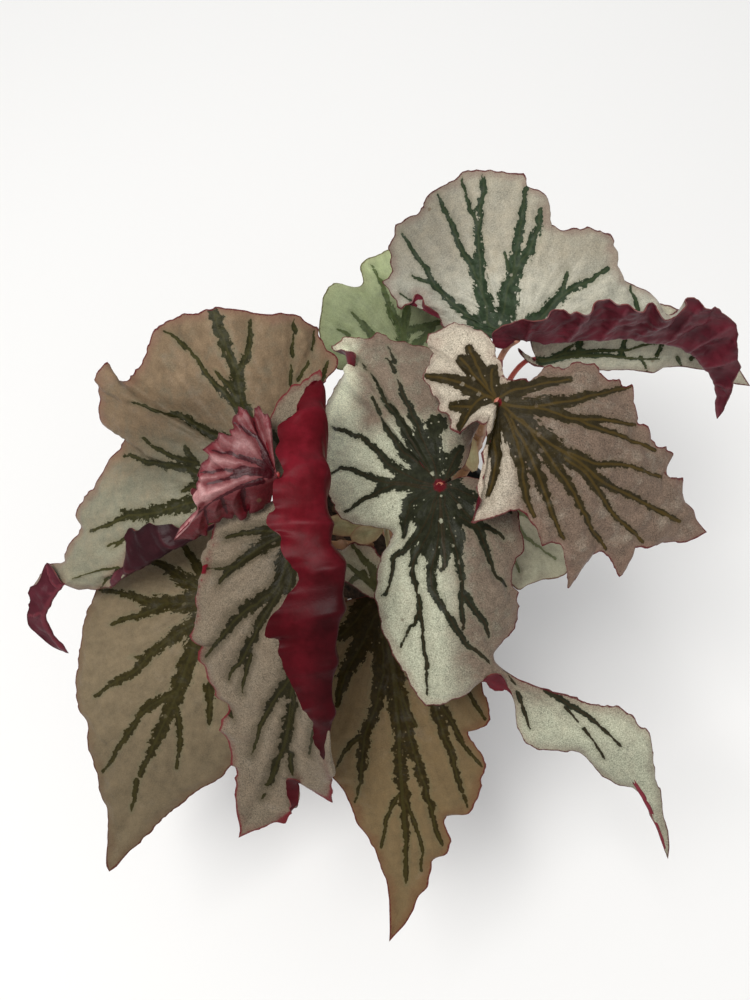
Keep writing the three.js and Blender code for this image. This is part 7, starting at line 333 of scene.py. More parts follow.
    "margin": [[-12.5,-55.9,208.0],[-15.1,-55.5,208.0],[-17.3,-55.5,208.0],[-22.2,-56.5,207.0],[-25.8,-56.7,206.0],[-28.5,-58.7,205.0],[-32.9,-63.9,204.0],[-35.9,-73.9,202.0],[-37.6,-86.6,199.0],[-37.9,-99.0,195.0],[-37.5,-111.2,190.0],[-36.2,-121.2,185.0],[-32.5,-130.7,180.0],[-28.8,-133.8,178.2],[-25.4,-138.6,176.0],[-23.1,-144.4,173.4],[-20.8,-149.7,171.0],[-16.2,-155.0,168.6],[-13.9,-159.3,167.0],[-12.7,-163.6,164.9],[-9.9,-168.9,162.0],[-8.1,-173.2,159.9],[-7.5,-179.6,157.0],[-7.2,-190.3,152.0],[-7.5,-197.6,149.0]],
    "rolls": [], "pins": [], "comb": 0, "soft": 3, "edge": 6},
  ],
  "veins": [
   [[-12.5,-57.4,208.2,2.24],[-14.4,-58.3,208.0,2.15],[-17.1,-59.6,207.9,2.01],[-19.3,-61.5,207.6,1.86],[-20.6,-64.1,207.2,1.68],[-22.0,-66.1,206.9,1.49],[-23.6,-67.6,206.4,1.3],[-25.5,-69.6,205.8,1.09],[-28.2,-71.9,204.9,0.87],[-29.4,-72.7,204.4,0.64]],
   [[-12.0,-61.4,207.8,1.94],[-12.4,-63.3,207.6,1.91],[-14.5,-65.5,207.4,1.88],[-15.6,-68.7,207.1,1.85],[-17.2,-71.4,206.8,1.81],[-17.8,-73.8,206.4,1.78],[-18.9,-75.8,206.1,1.75],[-20.6,-78.4,205.5,1.71],[-21.6,-80.3,205.1,1.68],[-23.4,-83.0,204.2,1.65],[-24.6,-85.4,203.4,1.62],[-25.9,-87.4,202.6,1.58]],
   [[-25.9,-87.4,202.6,1.46],[-26.6,-89.2,201.9,1.35],[-27.6,-91.6,200.8,1.21],[-28.6,-94.5,199.6,1.03],[-29.4,-96.9,198.5,0.84],[-29.9,-99.7,197.3,0.64],[-30.4,-101.4,196.4,0.42]],
   [[-11.6,-64.3,207.5,1.84],[-11.6,-66.1,207.4,1.81],[-11.2,-69.0,207.1,1.78],[-11.0,-72.0,206.9,1.76],[-10.3,-75.4,206.5,1.73],[-10.7,-77.9,206.2,1.71],[-10.0,-80.7,205.8,1.68],[-10.2,-83.1,205.3,1.65],[-10.5,-86.1,204.6,1.63],[-9.7,-88.8,203.7,1.6],[-10.8,-91.2,202.8,1.57],[-11.4,-94.1,201.8,1.55],[-12.1,-96.5,201.0,1.52],[-12.6,-98.2,200.3,1.5]],
   [[-12.6,-98.2,200.3,1.46],[-12.5,-99.9,199.6,1.44],[-13.2,-102.2,198.7,1.41],[-14.5,-105.2,197.5,1.39],[-15.5,-107.6,196.5,1.37],[-16.5,-109.4,195.7,1.35],[-17.2,-111.7,194.7,1.32],[-18.3,-114.0,193.5,1.3],[-18.6,-116.8,192.2,1.28],[-18.9,-119.5,190.8,1.26],[-19.4,-122.2,189.4,1.23],[-19.4,-124.9,187.9,1.21],[-19.5,-127.0,186.8,1.19]],
   [[-19.9,-125.5,187.5,0.73],[-19.9,-127.6,186.3,0.68],[-20.0,-130.1,184.7,0.6],[-20.1,-132.9,182.7,0.52],[-21.3,-135.3,180.5,0.42],[-21.7,-138.2,178.2,0.32],[-22.6,-140.2,176.4,0.21]],
   [[-19.8,-114.2,193.2,0.67],[-21.8,-115.6,192.3,0.63],[-24.1,-116.9,191.1,0.58],[-25.6,-118.8,189.8,0.51],[-27.7,-120.6,188.2,0.44],[-29.0,-123.4,186.1,0.36],[-30.5,-125.7,184.2,0.28],[-31.6,-127.3,182.6,0.19]],
   [[-10.6,-62.3,207.7,2.27],[-10.4,-64.1,207.6,2.24],[-9.6,-66.5,207.4,2.21],[-9.2,-69.4,207.2,2.18],[-9.0,-72.9,206.8,2.16],[-8.1,-75.9,206.6,2.13],[-8.0,-78.7,206.2,2.1],[-7.6,-81.1,205.8,2.07],[-7.0,-83.9,205.2,2.04],[-6.4,-86.7,204.4,2.02],[-5.7,-88.4,203.8,1.99],[-5.5,-91.1,202.8,1.96],[-5.2,-93.9,201.8,1.93],[-4.9,-96.7,200.8,1.9],[-4.6,-99.4,199.7,1.88],[-4.5,-101.1,199.0,1.85]],
   [[-4.5,-101.1,199.0,1.84],[-4.3,-102.7,198.4,1.81],[-3.7,-105.5,197.4,1.79],[-3.7,-108.2,196.3,1.77],[-3.1,-111.6,195.0,1.75],[-3.0,-113.8,194.2,1.72],[-2.9,-116.0,193.3,1.7],[-3.1,-118.7,192.1,1.68],[-3.0,-121.4,191.0,1.65],[-2.9,-123.6,190.1,1.63],[-2.5,-126.4,188.9,1.61],[-2.6,-129.1,187.7,1.59],[-2.1,-132.3,186.2,1.56],[-1.9,-135.0,184.9,1.54],[-1.7,-137.2,183.9,1.52],[-1.9,-138.7,183.1,1.5]],
   [[-1.9,-138.7,183.1,1.06],[-1.8,-140.3,182.3,1.04],[-1.1,-142.9,180.9,1.0],[-0.8,-146.0,179.2,0.96],[-0.8,-148.5,177.7,0.91],[-0.4,-151.6,175.9,0.86],[-0.2,-154.1,174.4,0.81],[-0.1,-156.7,172.9,0.76],[-0.3,-159.3,171.4,0.7],[-0.3,-161.3,170.1,0.64],[-0.1,-163.8,168.6,0.57],[-0.2,-166.8,166.8,0.51],[-0.2,-169.8,165.0,0.44],[-0.2,-172.4,163.5,0.37],[-0.3,-173.9,162.6,0.3]],
   [[-3.6,-138.2,183.2,0.67],[-4.9,-139.8,182.1,0.64],[-6.5,-142.4,180.5,0.6],[-7.4,-144.5,179.1,0.56],[-8.5,-146.6,177.7,0.5],[-9.4,-149.1,176.0,0.45],[-9.6,-152.0,174.0,0.39],[-10.2,-154.8,171.9,0.33],[-10.9,-157.1,170.0,0.26],[-11.2,-159.0,168.6,0.19]],
   [[-0.7,-139.9,182.5,0.67],[0.3,-141.6,181.8,0.65],[1.0,-143.6,180.7,0.63],[1.9,-146.0,179.5,0.59],[3.3,-148.8,178.0,0.56],[4.3,-151.4,176.6,0.52],[5.0,-153.5,175.5,0.48],[5.9,-156.2,174.0,0.43],[6.6,-158.9,172.6,0.39],[7.2,-161.3,171.1,0.34],[6.5,-164.1,169.1,0.29],[6.4,-166.9,167.4,0.24],[6.6,-168.6,166.6,0.19]],
   [[-6.8,-81.7,205.8,1.62],[-6.4,-83.4,205.4,1.6],[-5.9,-85.7,204.8,1.58],[-5.3,-88.5,203.8,1.56],[-4.8,-91.2,202.9,1.54],[-4.0,-94.1,201.9,1.52],[-3.7,-96.9,200.8,1.5],[-2.8,-99.2,200.0,1.48],[-2.3,-102.1,199.0,1.46],[-1.5,-104.8,198.0,1.44],[-0.9,-107.0,197.2,1.42],[-0.2,-109.2,196.4,1.4],[0.6,-111.4,195.5,1.38],[1.0,-114.7,194.2,1.36],[2.0,-116.9,193.3,1.34],[2.5,-118.6,192.6,1.32]],
   [[2.5,-118.6,192.6,1.34],[3.1,-120.8,191.7,1.32],[3.9,-123.1,190.8,1.28],[4.9,-126.0,189.6,1.24],[5.5,-128.9,188.4,1.19],[6.5,-131.2,187.4,1.13],[7.7,-133.7,186.3,1.08],[8.5,-136.0,185.2,1.02],[8.3,-138.2,184.0,0.95],[9.3,-140.5,182.8,0.89],[10.5,-143.0,181.4,0.82],[11.2,-145.5,179.8,0.75],[11.9,-148.0,178.1,0.68],[12.4,-151.0,176.4,0.61],[13.5,-153.3,175.2,0.54],[14.8,-156.2,173.6,0.46],[15.8,-158.0,172.5,0.38]],
   [[-2.3,-96.1,201.4,0.9],[-1.8,-97.8,200.8,0.85],[-1.3,-100.1,199.9,0.77],[-0.2,-103.0,198.9,0.68],[0.4,-105.2,198.1,0.59],[1.9,-107.4,197.4,0.48],[3.6,-109.7,196.5,0.37],[4.2,-110.8,196.1,0.26]],
   [[-2.5,-75.3,207.3,1.4],[-1.8,-77.2,207.1,1.39],[-0.4,-79.1,206.9,1.37],[1.1,-81.6,206.5,1.36],[2.7,-84.1,206.0,1.34],[3.7,-87.1,205.2,1.33],[5.6,-89.7,204.4,1.31],[6.9,-92.2,203.6,1.3],[8.3,-94.1,203.0,1.28],[9.5,-96.6,202.2,1.27],[10.6,-99.1,201.4,1.25],[11.4,-101.0,200.7,1.24],[12.3,-103.4,199.9,1.22],[12.9,-105.1,199.2,1.21],[13.7,-107.6,198.0,1.19],[14.9,-110.2,196.3,1.17],[15.6,-112.6,195.0,1.16],[16.1,-114.6,194.0,1.14]],
   [[16.1,-114.6,194.0,1.01],[17.1,-116.6,193.1,0.98],[18.7,-118.8,192.0,0.94],[19.4,-121.5,190.8,0.89],[20.1,-123.3,190.0,0.84],[20.5,-126.3,188.6,0.78],[21.5,-128.1,187.6,0.72],[21.9,-131.2,186.1,0.65],[23.2,-133.3,185.0,0.58],[23.6,-135.8,183.6,0.51],[24.9,-137.8,182.2,0.44],[25.9,-140.4,180.4,0.37],[26.6,-142.4,179.1,0.29]],
   [[0.0,-75.6,207.5,1.08],[0.6,-76.8,207.3,1.07],[1.8,-79.3,207.0,1.05],[3.6,-81.3,206.7,1.04],[5.3,-84.5,206.0,1.03],[6.8,-87.0,205.3,1.01],[8.4,-89.6,204.5,1.0],[9.9,-91.5,203.8,0.99],[10.8,-94.0,203.1,0.97],[12.0,-96.4,202.3,0.96],[12.8,-98.9,201.4,0.95],[14.0,-100.9,200.7,0.93],[15.7,-103.5,199.7,0.92],[17.0,-105.5,198.9,0.91],[18.6,-107.6,197.7,0.89],[19.7,-109.0,196.7,0.88]],
   [[19.7,-109.0,196.7,0.84],[20.8,-110.6,195.3,0.81],[21.9,-113.3,193.5,0.76],[23.4,-114.9,192.4,0.7],[24.7,-117.3,191.2,0.63],[26.3,-119.3,190.0,0.56],[27.8,-121.0,189.0,0.49],[29.8,-122.9,187.8,0.41],[31.6,-124.8,186.6,0.33],[32.8,-126.1,185.7,0.24]],
   [[6.4,-75.7,207.7,0.9],[7.3,-77.0,207.6,0.88],[8.8,-79.0,207.2,0.85],[10.5,-80.4,206.9,0.82],[13.1,-82.5,206.3,0.79],[15.2,-84.6,205.6,0.75],[17.4,-86.8,204.7,0.72],[19.1,-88.9,203.9,0.68],[21.2,-91.0,202.8,0.64],[23.0,-93.1,201.8,0.59],[25.2,-95.3,200.7,0.55],[26.6,-96.7,200.1,0.5],[28.4,-98.8,199.2,0.46],[29.7,-101.4,198.2,0.41],[31.0,-102.9,197.5,0.36],[33.0,-105.9,196.1,0.31],[34.2,-107.4,195.4,0.26]],
  ],
  "auto": [
   [[-11.2,-58.1,208.1,0.99],[-9.5,-57.8,208.4,0.96],[-7.5,-57.4,208.8,0.92],[-5.8,-57.0,209.1,0.87],[-3.7,-56.6,209.4,0.82],[-2.1,-56.3,209.5,0.76],[-0.0,-55.9,209.6,0.7],[1.6,-55.5,209.7,0.63],[3.7,-55.1,209.6,0.56],[5.4,-54.8,209.5,0.49],[7.5,-54.3,209.2,0.42],[9.1,-54.0,209.0,0.35],[11.2,-53.5,208.6,0.27]],
  ],
  "zones": [[-12.2,-59.6,207.9,5.3],[-10.1,-71.2,206.9,4.38]], "clear": []},
 "blade_back": {
  "midrib": [[-0.5,63.8,222.0],[1.9,72.9,226.0],[4.7,80.8,231.0],[7.9,88.6,236.0],[12.1,97.0,240.0],[16.9,105.2,242.0]],
  "halves": [
   {"sign": -1, "turn": 12, "arch": 0.07,
    "margin": [[-1.9,62.2,222.0],[-5.7,58.4,220.0],[-12.4,55.2,218.0],[-19.1,54.2,216.0],[-26.3,54.8,214.0],[-31.4,56.1,213.0],[-35.0,59.7,214.0],[-37.4,64.1,216.0],[-40.1,69.6,218.0],[-41.0,73.9,220.0],[-40.3,79.4,222.0],[-39.6,83.2,223.9],[-38.3,87.5,226.0],[-36.4,91.0,228.4],[-34.4,93.0,230.0],[-32.9,93.4,231.0],[-30.6,92.8,230.7],[-25.8,91.9,230.0],[-23.4,91.1,230.0],[-21.0,90.6,231.4],[-19.0,91.8,233.0],[-19.0,93.2,233.4],[-20.2,94.9,234.1],[-20.6,97.7,235.0],[-20.0,99.9,236.7],[-18.5,101.0,238.0],[-16.2,101.9,238.7],[-11.4,103.0,240.0],[-8.1,104.5,241.0],[-3.9,105.7,242.0],[0.8,106.1,243.0],[5.6,106.1,243.0],[11.2,105.6,243.0],[14.0,105.0,243.0],[16.9,105.2,242.0]],
    "rolls": [], "pins": [], "comb": 0, "soft": 3, "edge": 6},
   {"sign": 1, "turn": 4, "arch": 0.07,
    "margin": [[0.9,62.2,222.0],[5.7,58.9,221.0],[12.3,57.9,221.0],[19.9,60.5,222.0],[25.6,65.9,224.0],[28.4,72.3,227.0],[28.4,80.8,231.0],[26.4,87.6,235.0],[23.5,94.5,238.0],[21.6,98.7,240.0],[20.2,101.9,241.0],[18.8,103.5,242.0],[17.9,104.6,242.0],[16.9,105.2,242.0]],
    "rolls": [], "pins": [], "comb": 0, "soft": 3, "edge": 6},
  ],
  "veins": [
   [[-0.7,66.0,223.0,1.24],[-0.9,68.1,224.0,1.21],[-1.1,70.9,225.3,1.18],[-2.5,73.1,226.5,1.14],[-3.8,75.1,227.5,1.11],[-5.6,76.5,228.3,1.08],[-6.4,79.6,229.8,1.04],[-7.2,81.4,230.7,1.01]],
   [[-7.2,81.4,230.7,0.84],[-8.0,83.2,231.6,0.8],[-9.3,86.0,233.1,0.74],[-10.0,88.4,234.3,0.67],[-10.8,90.5,235.2,0.6],[-12.1,92.4,235.8,0.51],[-13.4,94.8,236.6,0.43],[-15.0,97.7,237.6,0.34],[-16.2,99.3,237.9,0.24]],
   [[-9.0,61.6,221.2,0.97],[-10.8,63.8,222.2,0.94],[-12.9,65.8,223.2,0.91],[-14.8,67.5,223.9,0.88],[-16.4,69.7,224.7,0.85],[-18.3,71.9,225.5,0.82],[-19.8,73.7,226.1,0.79]],
   [[-19.8,73.7,226.1,0.56],[-21.7,75.3,226.5,0.46],[-23.5,77.4,227.0,0.32],[-25.2,79.5,227.5,0.16]],
   [[-0.5,66.7,223.3,1.46],[-0.2,69.3,224.4,1.37],[-0.5,71.7,225.6,1.25],[0.2,74.3,226.9,1.11],[0.9,76.7,228.2,0.95],[1.1,78.9,229.8,0.78],[1.9,81.2,231.3,0.6],[2.8,83.2,232.6,0.42]],
   [[5.4,63.5,223.4,1.01],[7.5,64.8,224.3,0.92],[9.9,66.6,225.4,0.79],[12.0,68.8,226.5,0.64],[13.6,70.2,227.2,0.47],[14.5,72.8,228.4,0.29]],
   [[-26.1,69.1,222.8,0.56],[-28.0,70.6,223.0,0.46],[-29.8,71.6,222.9,0.32],[-32.0,72.8,222.7,0.16]],
  ],
  "auto": [
   [[1.6,70.3,224.9,0.83],[3.4,70.6,225.5,0.8],[5.6,70.9,226.2,0.77],[7.5,71.2,226.7,0.73],[9.7,71.6,227.3,0.68],[11.5,71.9,227.7,0.63],[13.8,72.2,228.1,0.58],[15.6,72.5,228.3,0.53],[17.9,72.8,228.5,0.47],[19.7,72.9,228.4,0.41],[21.9,73.2,228.4,0.35],[23.8,73.3,228.2,0.29],[26.1,73.6,228.0,0.23]],
  ],
  "zones": [[-1.0,64.9,222.5,2.38]], "clear": []},
 "blade_right_low": {
  "midrib": [[37.8,-4.7,206.0],[45.8,-15.5,208.0],[54.3,-24.5,206.0],[61.9,-30.4,202.0],[69.8,-35.0,197.0],[75.9,-38.7,192.0]],
  "halves": [
   {"sign": -1, "turn": 2, "arch": 0.06,
    "margin": [[39.7,-3.7,206.0],[42.5,-0.1,207.0],[49.0,1.5,208.0],[57.3,0.5,208.0],[65.8,-2.7,206.0],[72.3,-7.9,204.0],[77.0,-14.8,201.0],[79.3,-22.6,198.0],[79.7,-28.8,196.0],[78.7,-34.0,194.0],[76.8,-37.6,193.0],[75.9,-38.7,192.0]],
    "rolls": [], "pins": [], "comb": 0, "soft": 2, "edge": 6},
   {"sign": 1, "turn": 1, "arch": 0.06,
    "margin": [[36.3,-6.8,206.0],[33.8,-11.7,206.0],[34.0,-19.3,205.0],[36.2,-27.3,203.0],[40.3,-36.0,200.0],[45.8,-43.7,197.0],[50.9,-47.8,195.0],[52.9,-48.7,194.0],[55.4,-46.6,193.6],[59.0,-44.6,193.0],[63.7,-43.0,192.6],[70.7,-42.0,192.0],[74.9,-40.4,192.0],[75.9,-38.7,192.0]],
    "rolls": [], "pins": [], "comb": 0, "soft": 2, "edge": 6},
  ],
  "veins": [
   [[38.7,-6.2,206.3,0.9],[39.8,-8.1,206.7,0.88],[42.0,-10.5,207.3,0.85],[44.0,-13.4,207.8,0.82],[46.1,-16.1,208.0,0.78],[47.8,-18.3,207.8,0.74],[49.5,-20.7,207.3,0.7],[51.3,-22.8,206.7,0.66],[53.1,-24.9,206.0,0.61],[54.9,-26.7,205.2,0.57],[57.3,-27.8,204.4,0.52],[59.5,-29.5,203.1,0.47],[61.9,-30.6,201.9,0.42],[64.6,-32.3,200.3,0.36],[67.4,-33.6,198.7,0.31],[69.4,-34.5,197.5,0.26]],
   [[41.6,-12.2,207.4,0.73],[42.3,-14.2,207.5,0.71],[43.3,-17.1,207.5,0.68],[44.5,-20.2,207.1,0.64],[45.5,-23.2,206.5,0.6],[46.3,-25.9,205.7,0.56],[47.3,-28.3,205.0,0.52],[48.1,-30.8,204.1,0.47],[48.8,-33.1,203.1,0.42],[49.3,-35.3,202.2,0.37],[50.7,-38.1,200.8,0.32],[52.1,-40.5,199.5,0.26],[52.3,-42.2,198.5,0.21]],
   [[46.2,-14.0,208.1,0.73],[47.8,-14.7,208.2,0.69],[50.9,-15.5,208.2,0.64],[53.8,-16.5,207.9,0.58],[56.4,-17.5,207.5,0.52],[59.3,-18.8,206.8,0.45],[61.8,-19.8,206.0,0.37],[64.3,-21.2,205.0,0.29],[66.1,-22.0,204.2,0.21]],
  ],
  "auto": [
   [[46.0,-15.1,208.0,0.66],[47.4,-14.4,208.2,0.64],[49.0,-13.4,208.4,0.61],[50.4,-12.7,208.5,0.58],[52.1,-11.7,208.6,0.54],[53.6,-11.0,208.6,0.51],[55.3,-10.0,208.5,0.47],[56.7,-9.2,208.4,0.42],[58.5,-8.2,208.1,0.38],[59.7,-7.2,207.8,0.33],[61.4,-6.2,207.4,0.28],[62.7,-5.2,207.0,0.23],[64.4,-4.2,206.5,0.18]],
   [[51.8,-22.6,206.7,0.55],[51.3,-23.9,206.4,0.53],[50.6,-25.6,205.9,0.51],[50.1,-26.9,205.5,0.48],[49.4,-28.6,204.9,0.45],[48.9,-29.9,204.4,0.42],[48.3,-31.6,203.8,0.39],[47.8,-32.9,203.1,0.35],[47.2,-34.5,202.3,0.31],[46.5,-35.6,201.7,0.27],[45.9,-37.2,200.7,0.23],[45.3,-38.3,200.0,0.19],[44.7,-39.8,198.9,0.15]],
  ],
  "zones": [[38.2,-5.6,206.2,1.86]], "clear": []},
 "blade_small_front": {
  "midrib": [[-12.1,-58.5,226.0],[-15.9,-54.3,228.0],[-20.2,-49.7,229.0],[-24.5,-45.3,228.0],[-28.5,-41.2,225.0],[-32.1,-38.3,222.0]],
  "halves": [
   {"sign": -1, "turn": 2, "arch": 0.06,
    "margin": [[-10.8,-59.4,226.0],[-12.5,-61.5,224.0],[-15.9,-60.7,223.0],[-20.2,-57.3,222.0],[-23.7,-54.4,221.0],[-26.5,-52.5,221.0],[-29.8,-48.9,221.0],[-32.1,-44.4,221.0],[-33.0,-40.7,221.0],[-32.1,-38.3,222.0]],
    "rolls": [], "pins": [], "comb": 0, "soft": 1.5, "edge": 6},
   {"sign": 1, "turn": 1, "arch": 0.07,
    "margin": [[-10.4,-57.2,226.0],[-8.3,-54.0,227.0],[-8.3,-49.3,229.0],[-10.0,-46.0,230.0],[-12.4,-44.2,231.0],[-13.4,-42.8,231.0],[-14.1,-41.0,231.0],[-15.4,-39.9,231.0],[-17.8,-38.8,231.0],[-19.9,-39.3,230.3],[-20.9,-39.2,230.0],[-22.3,-37.4,229.2],[-24.9,-38.1,228.0],[-25.8,-39.4,226.6],[-27.6,-40.2,225.0],[-29.9,-38.6,223.0],[-32.1,-38.3,222.0]],
    "rolls": [], "pins": [], "comb": 0, "soft": 1.5, "edge": 6},
  ],
  "veins": [
   [[-12.4,-57.2,226.7,0.78],[-13.3,-55.0,227.8,0.75],[-13.9,-52.6,228.9,0.69],[-14.7,-50.4,229.7,0.63],[-16.3,-48.3,230.3,0.56],[-18.4,-46.4,230.4,0.48],[-20.0,-44.0,230.4,0.4],[-21.7,-41.5,229.9,0.31],[-23.6,-38.9,228.8,0.22]],
   [[-12.5,-58.0,226.3,0.56],[-14.2,-56.6,226.9,0.53],[-15.9,-55.1,227.3,0.48],[-17.8,-53.6,227.5,0.43],[-19.7,-52.2,227.4,0.37],[-21.5,-50.5,227.4,0.3],[-23.4,-48.8,227.2,0.23],[-25.2,-47.1,226.8,0.16]],
  ],
  "auto": [
   [[-18.8,-51.3,228.7,0.44],[-19.3,-51.4,228.3,0.43],[-19.9,-51.7,227.7,0.41],[-20.4,-51.8,227.2,0.39],[-20.9,-52.0,226.6,0.36],[-21.4,-52.1,226.1,0.34],[-21.9,-52.3,225.5,0.31],[-22.4,-52.4,225.0,0.28],[-22.9,-52.6,224.3,0.25],[-23.2,-52.8,223.7,0.22],[-23.7,-53.0,223.0,0.19],[-24.0,-53.2,222.5,0.15],[-24.5,-53.4,221.7,0.12]],
  ],
  "zones": [[-12.5,-58.0,226.3,1.27]], "clear": []},
 "stipule_left": {
  "midrib": [[-19.9,-20.0,199.0],[-25.3,-20.0,203.0],[-29.9,-20.6,206.0],[-35.9,-20.9,204.0]],
  "halves": [
   {"sign": -1, "turn": 1, "arch": 0.1,
    "margin": [[-20.3,-21.5,199.0],[-24.4,-24.9,201.0],[-29.8,-25.8,204.0],[-34.0,-24.8,204.0],[-35.9,-20.9,204.0]],
    "rolls": [], "pins": [], "comb": 0, "soft": 1.2, "edge": 6},
   {"sign": 1, "turn": 1, "arch": 0.1,
    "margin": [[-20.3,-18.0,199.0],[-25.4,-15.8,203.0],[-30.8,-15.7,206.0],[-34.5,-16.8,205.0],[-35.9,-20.9,204.0]],
    "rolls": [], "pins": [], "comb": 0, "soft": 1.2, "edge": 6},
  ],
  "veins": [
  ],
  "auto": [
  ],
  "zones": [], "clear": []},
 "stipule_centre": {
  "midrib": [[-10.1,-20.9,200.0],[-14.3,-22.8,204.0],[-17.9,-25.4,207.0],[-24.3,-28.2,204.0]],
  "halves": [
   {"sign": -1, "turn": 1, "arch": 0.1,
    "margin": [[-10.6,-22.8,200.0],[-13.8,-27.8,203.0],[-17.9,-30.5,205.0],[-22.0,-29.9,204.0],[-24.3,-28.2,204.0]],
    "rolls": [], "pins": [], "comb": 0, "soft": 1.2, "edge": 6},
   {"sign": 1, "turn": 1, "arch": 0.1,
    "margin": [[-11.0,-18.9,200.0],[-16.1,-19.8,205.0],[-22.0,-22.1,206.0],[-25.2,-25.6,205.0],[-24.3,-28.2,204.0]],
    "rolls": [], "pins": [], "comb": 0, "soft": 1.2, "edge": 6},
  ],
  "veins": [
  ],
  "auto": [
  ],
  "zones": [], "clear": []},
 "stipule_right": {
  "midrib": [[33.6,9.9,197.0],[31.5,11.0,205.0],[30.3,13.0,214.0],[31.0,15.9,222.0]],
  "halves": [
   {"sign": -1, "turn": 1, "arch": 0.1,
    "margin": [[32.6,9.3,197.0],[28.7,10.4,204.0],[27.6,13.5,213.0],[28.4,14.8,220.0],[31.0,15.9,222.0]],
    "rolls": [], "pins": [], "comb": 0, "soft": 1.2, "edge": 6},
   {"sign": 1, "turn": 1, "arch": 0.1,
    "margin": [[35.1,10.4,197.0],[35.3,11.5,205.0],[34.0,13.5,214.0],[33.0,14.8,220.0],[31.0,15.9,222.0]],
    "rolls": [], "pins": [], "comb": 0, "soft": 1.2, "edge": 6},
  ],
  "veins": [
  ],
  "auto": [
  ],
  "zones": [], "clear": []},
}


# canes: path, radii and the heights of their nodes. stalks: path, radii, the joint under the leaf, low colour, high colour
CANES = {
 "cane_left": ([[-14, 5, 72], [-15, 4.6, 92], [-18.5, 2.5, 112], [-26.6, -2.2, 124], [-38, -8.2, 142], [-45.5, -11.5, 168], [-49.5, -14, 200], [-51, -16, 228], [-51, -17.5, 240]], [2.7, 2.7, 2.8, 2.5, 2.5, 2.6, 2.3, 2.1, 1.7], [118, 131, 160, 192, 216, 236]),
 "cane_centre": ([[0, -7, 72], [-0.5, -7.5, 95], [-1.5, -8.5, 122], [-5, -11, 155], [-8.5, -13.5, 190], [-8, -14.5, 215], [-5.5, -15, 232]], [2.8, 2.8, 2.7, 2.5, 2.5, 2.2, 1.8], [118, 135, 150, 172, 196, 228]),
 "cane_right": ([[17, 9, 72], [17.5, 10, 95], [20, 13, 122], [27, 17.5, 156], [33, 19.5, 192], [34.2, 18, 222], [34, 14.5, 247]], [2.9, 2.9, 2.8, 2.7, 2.6, 2.2, 1.8], [118, 140, 154, 165, 183, 206, 224, 243]),
}
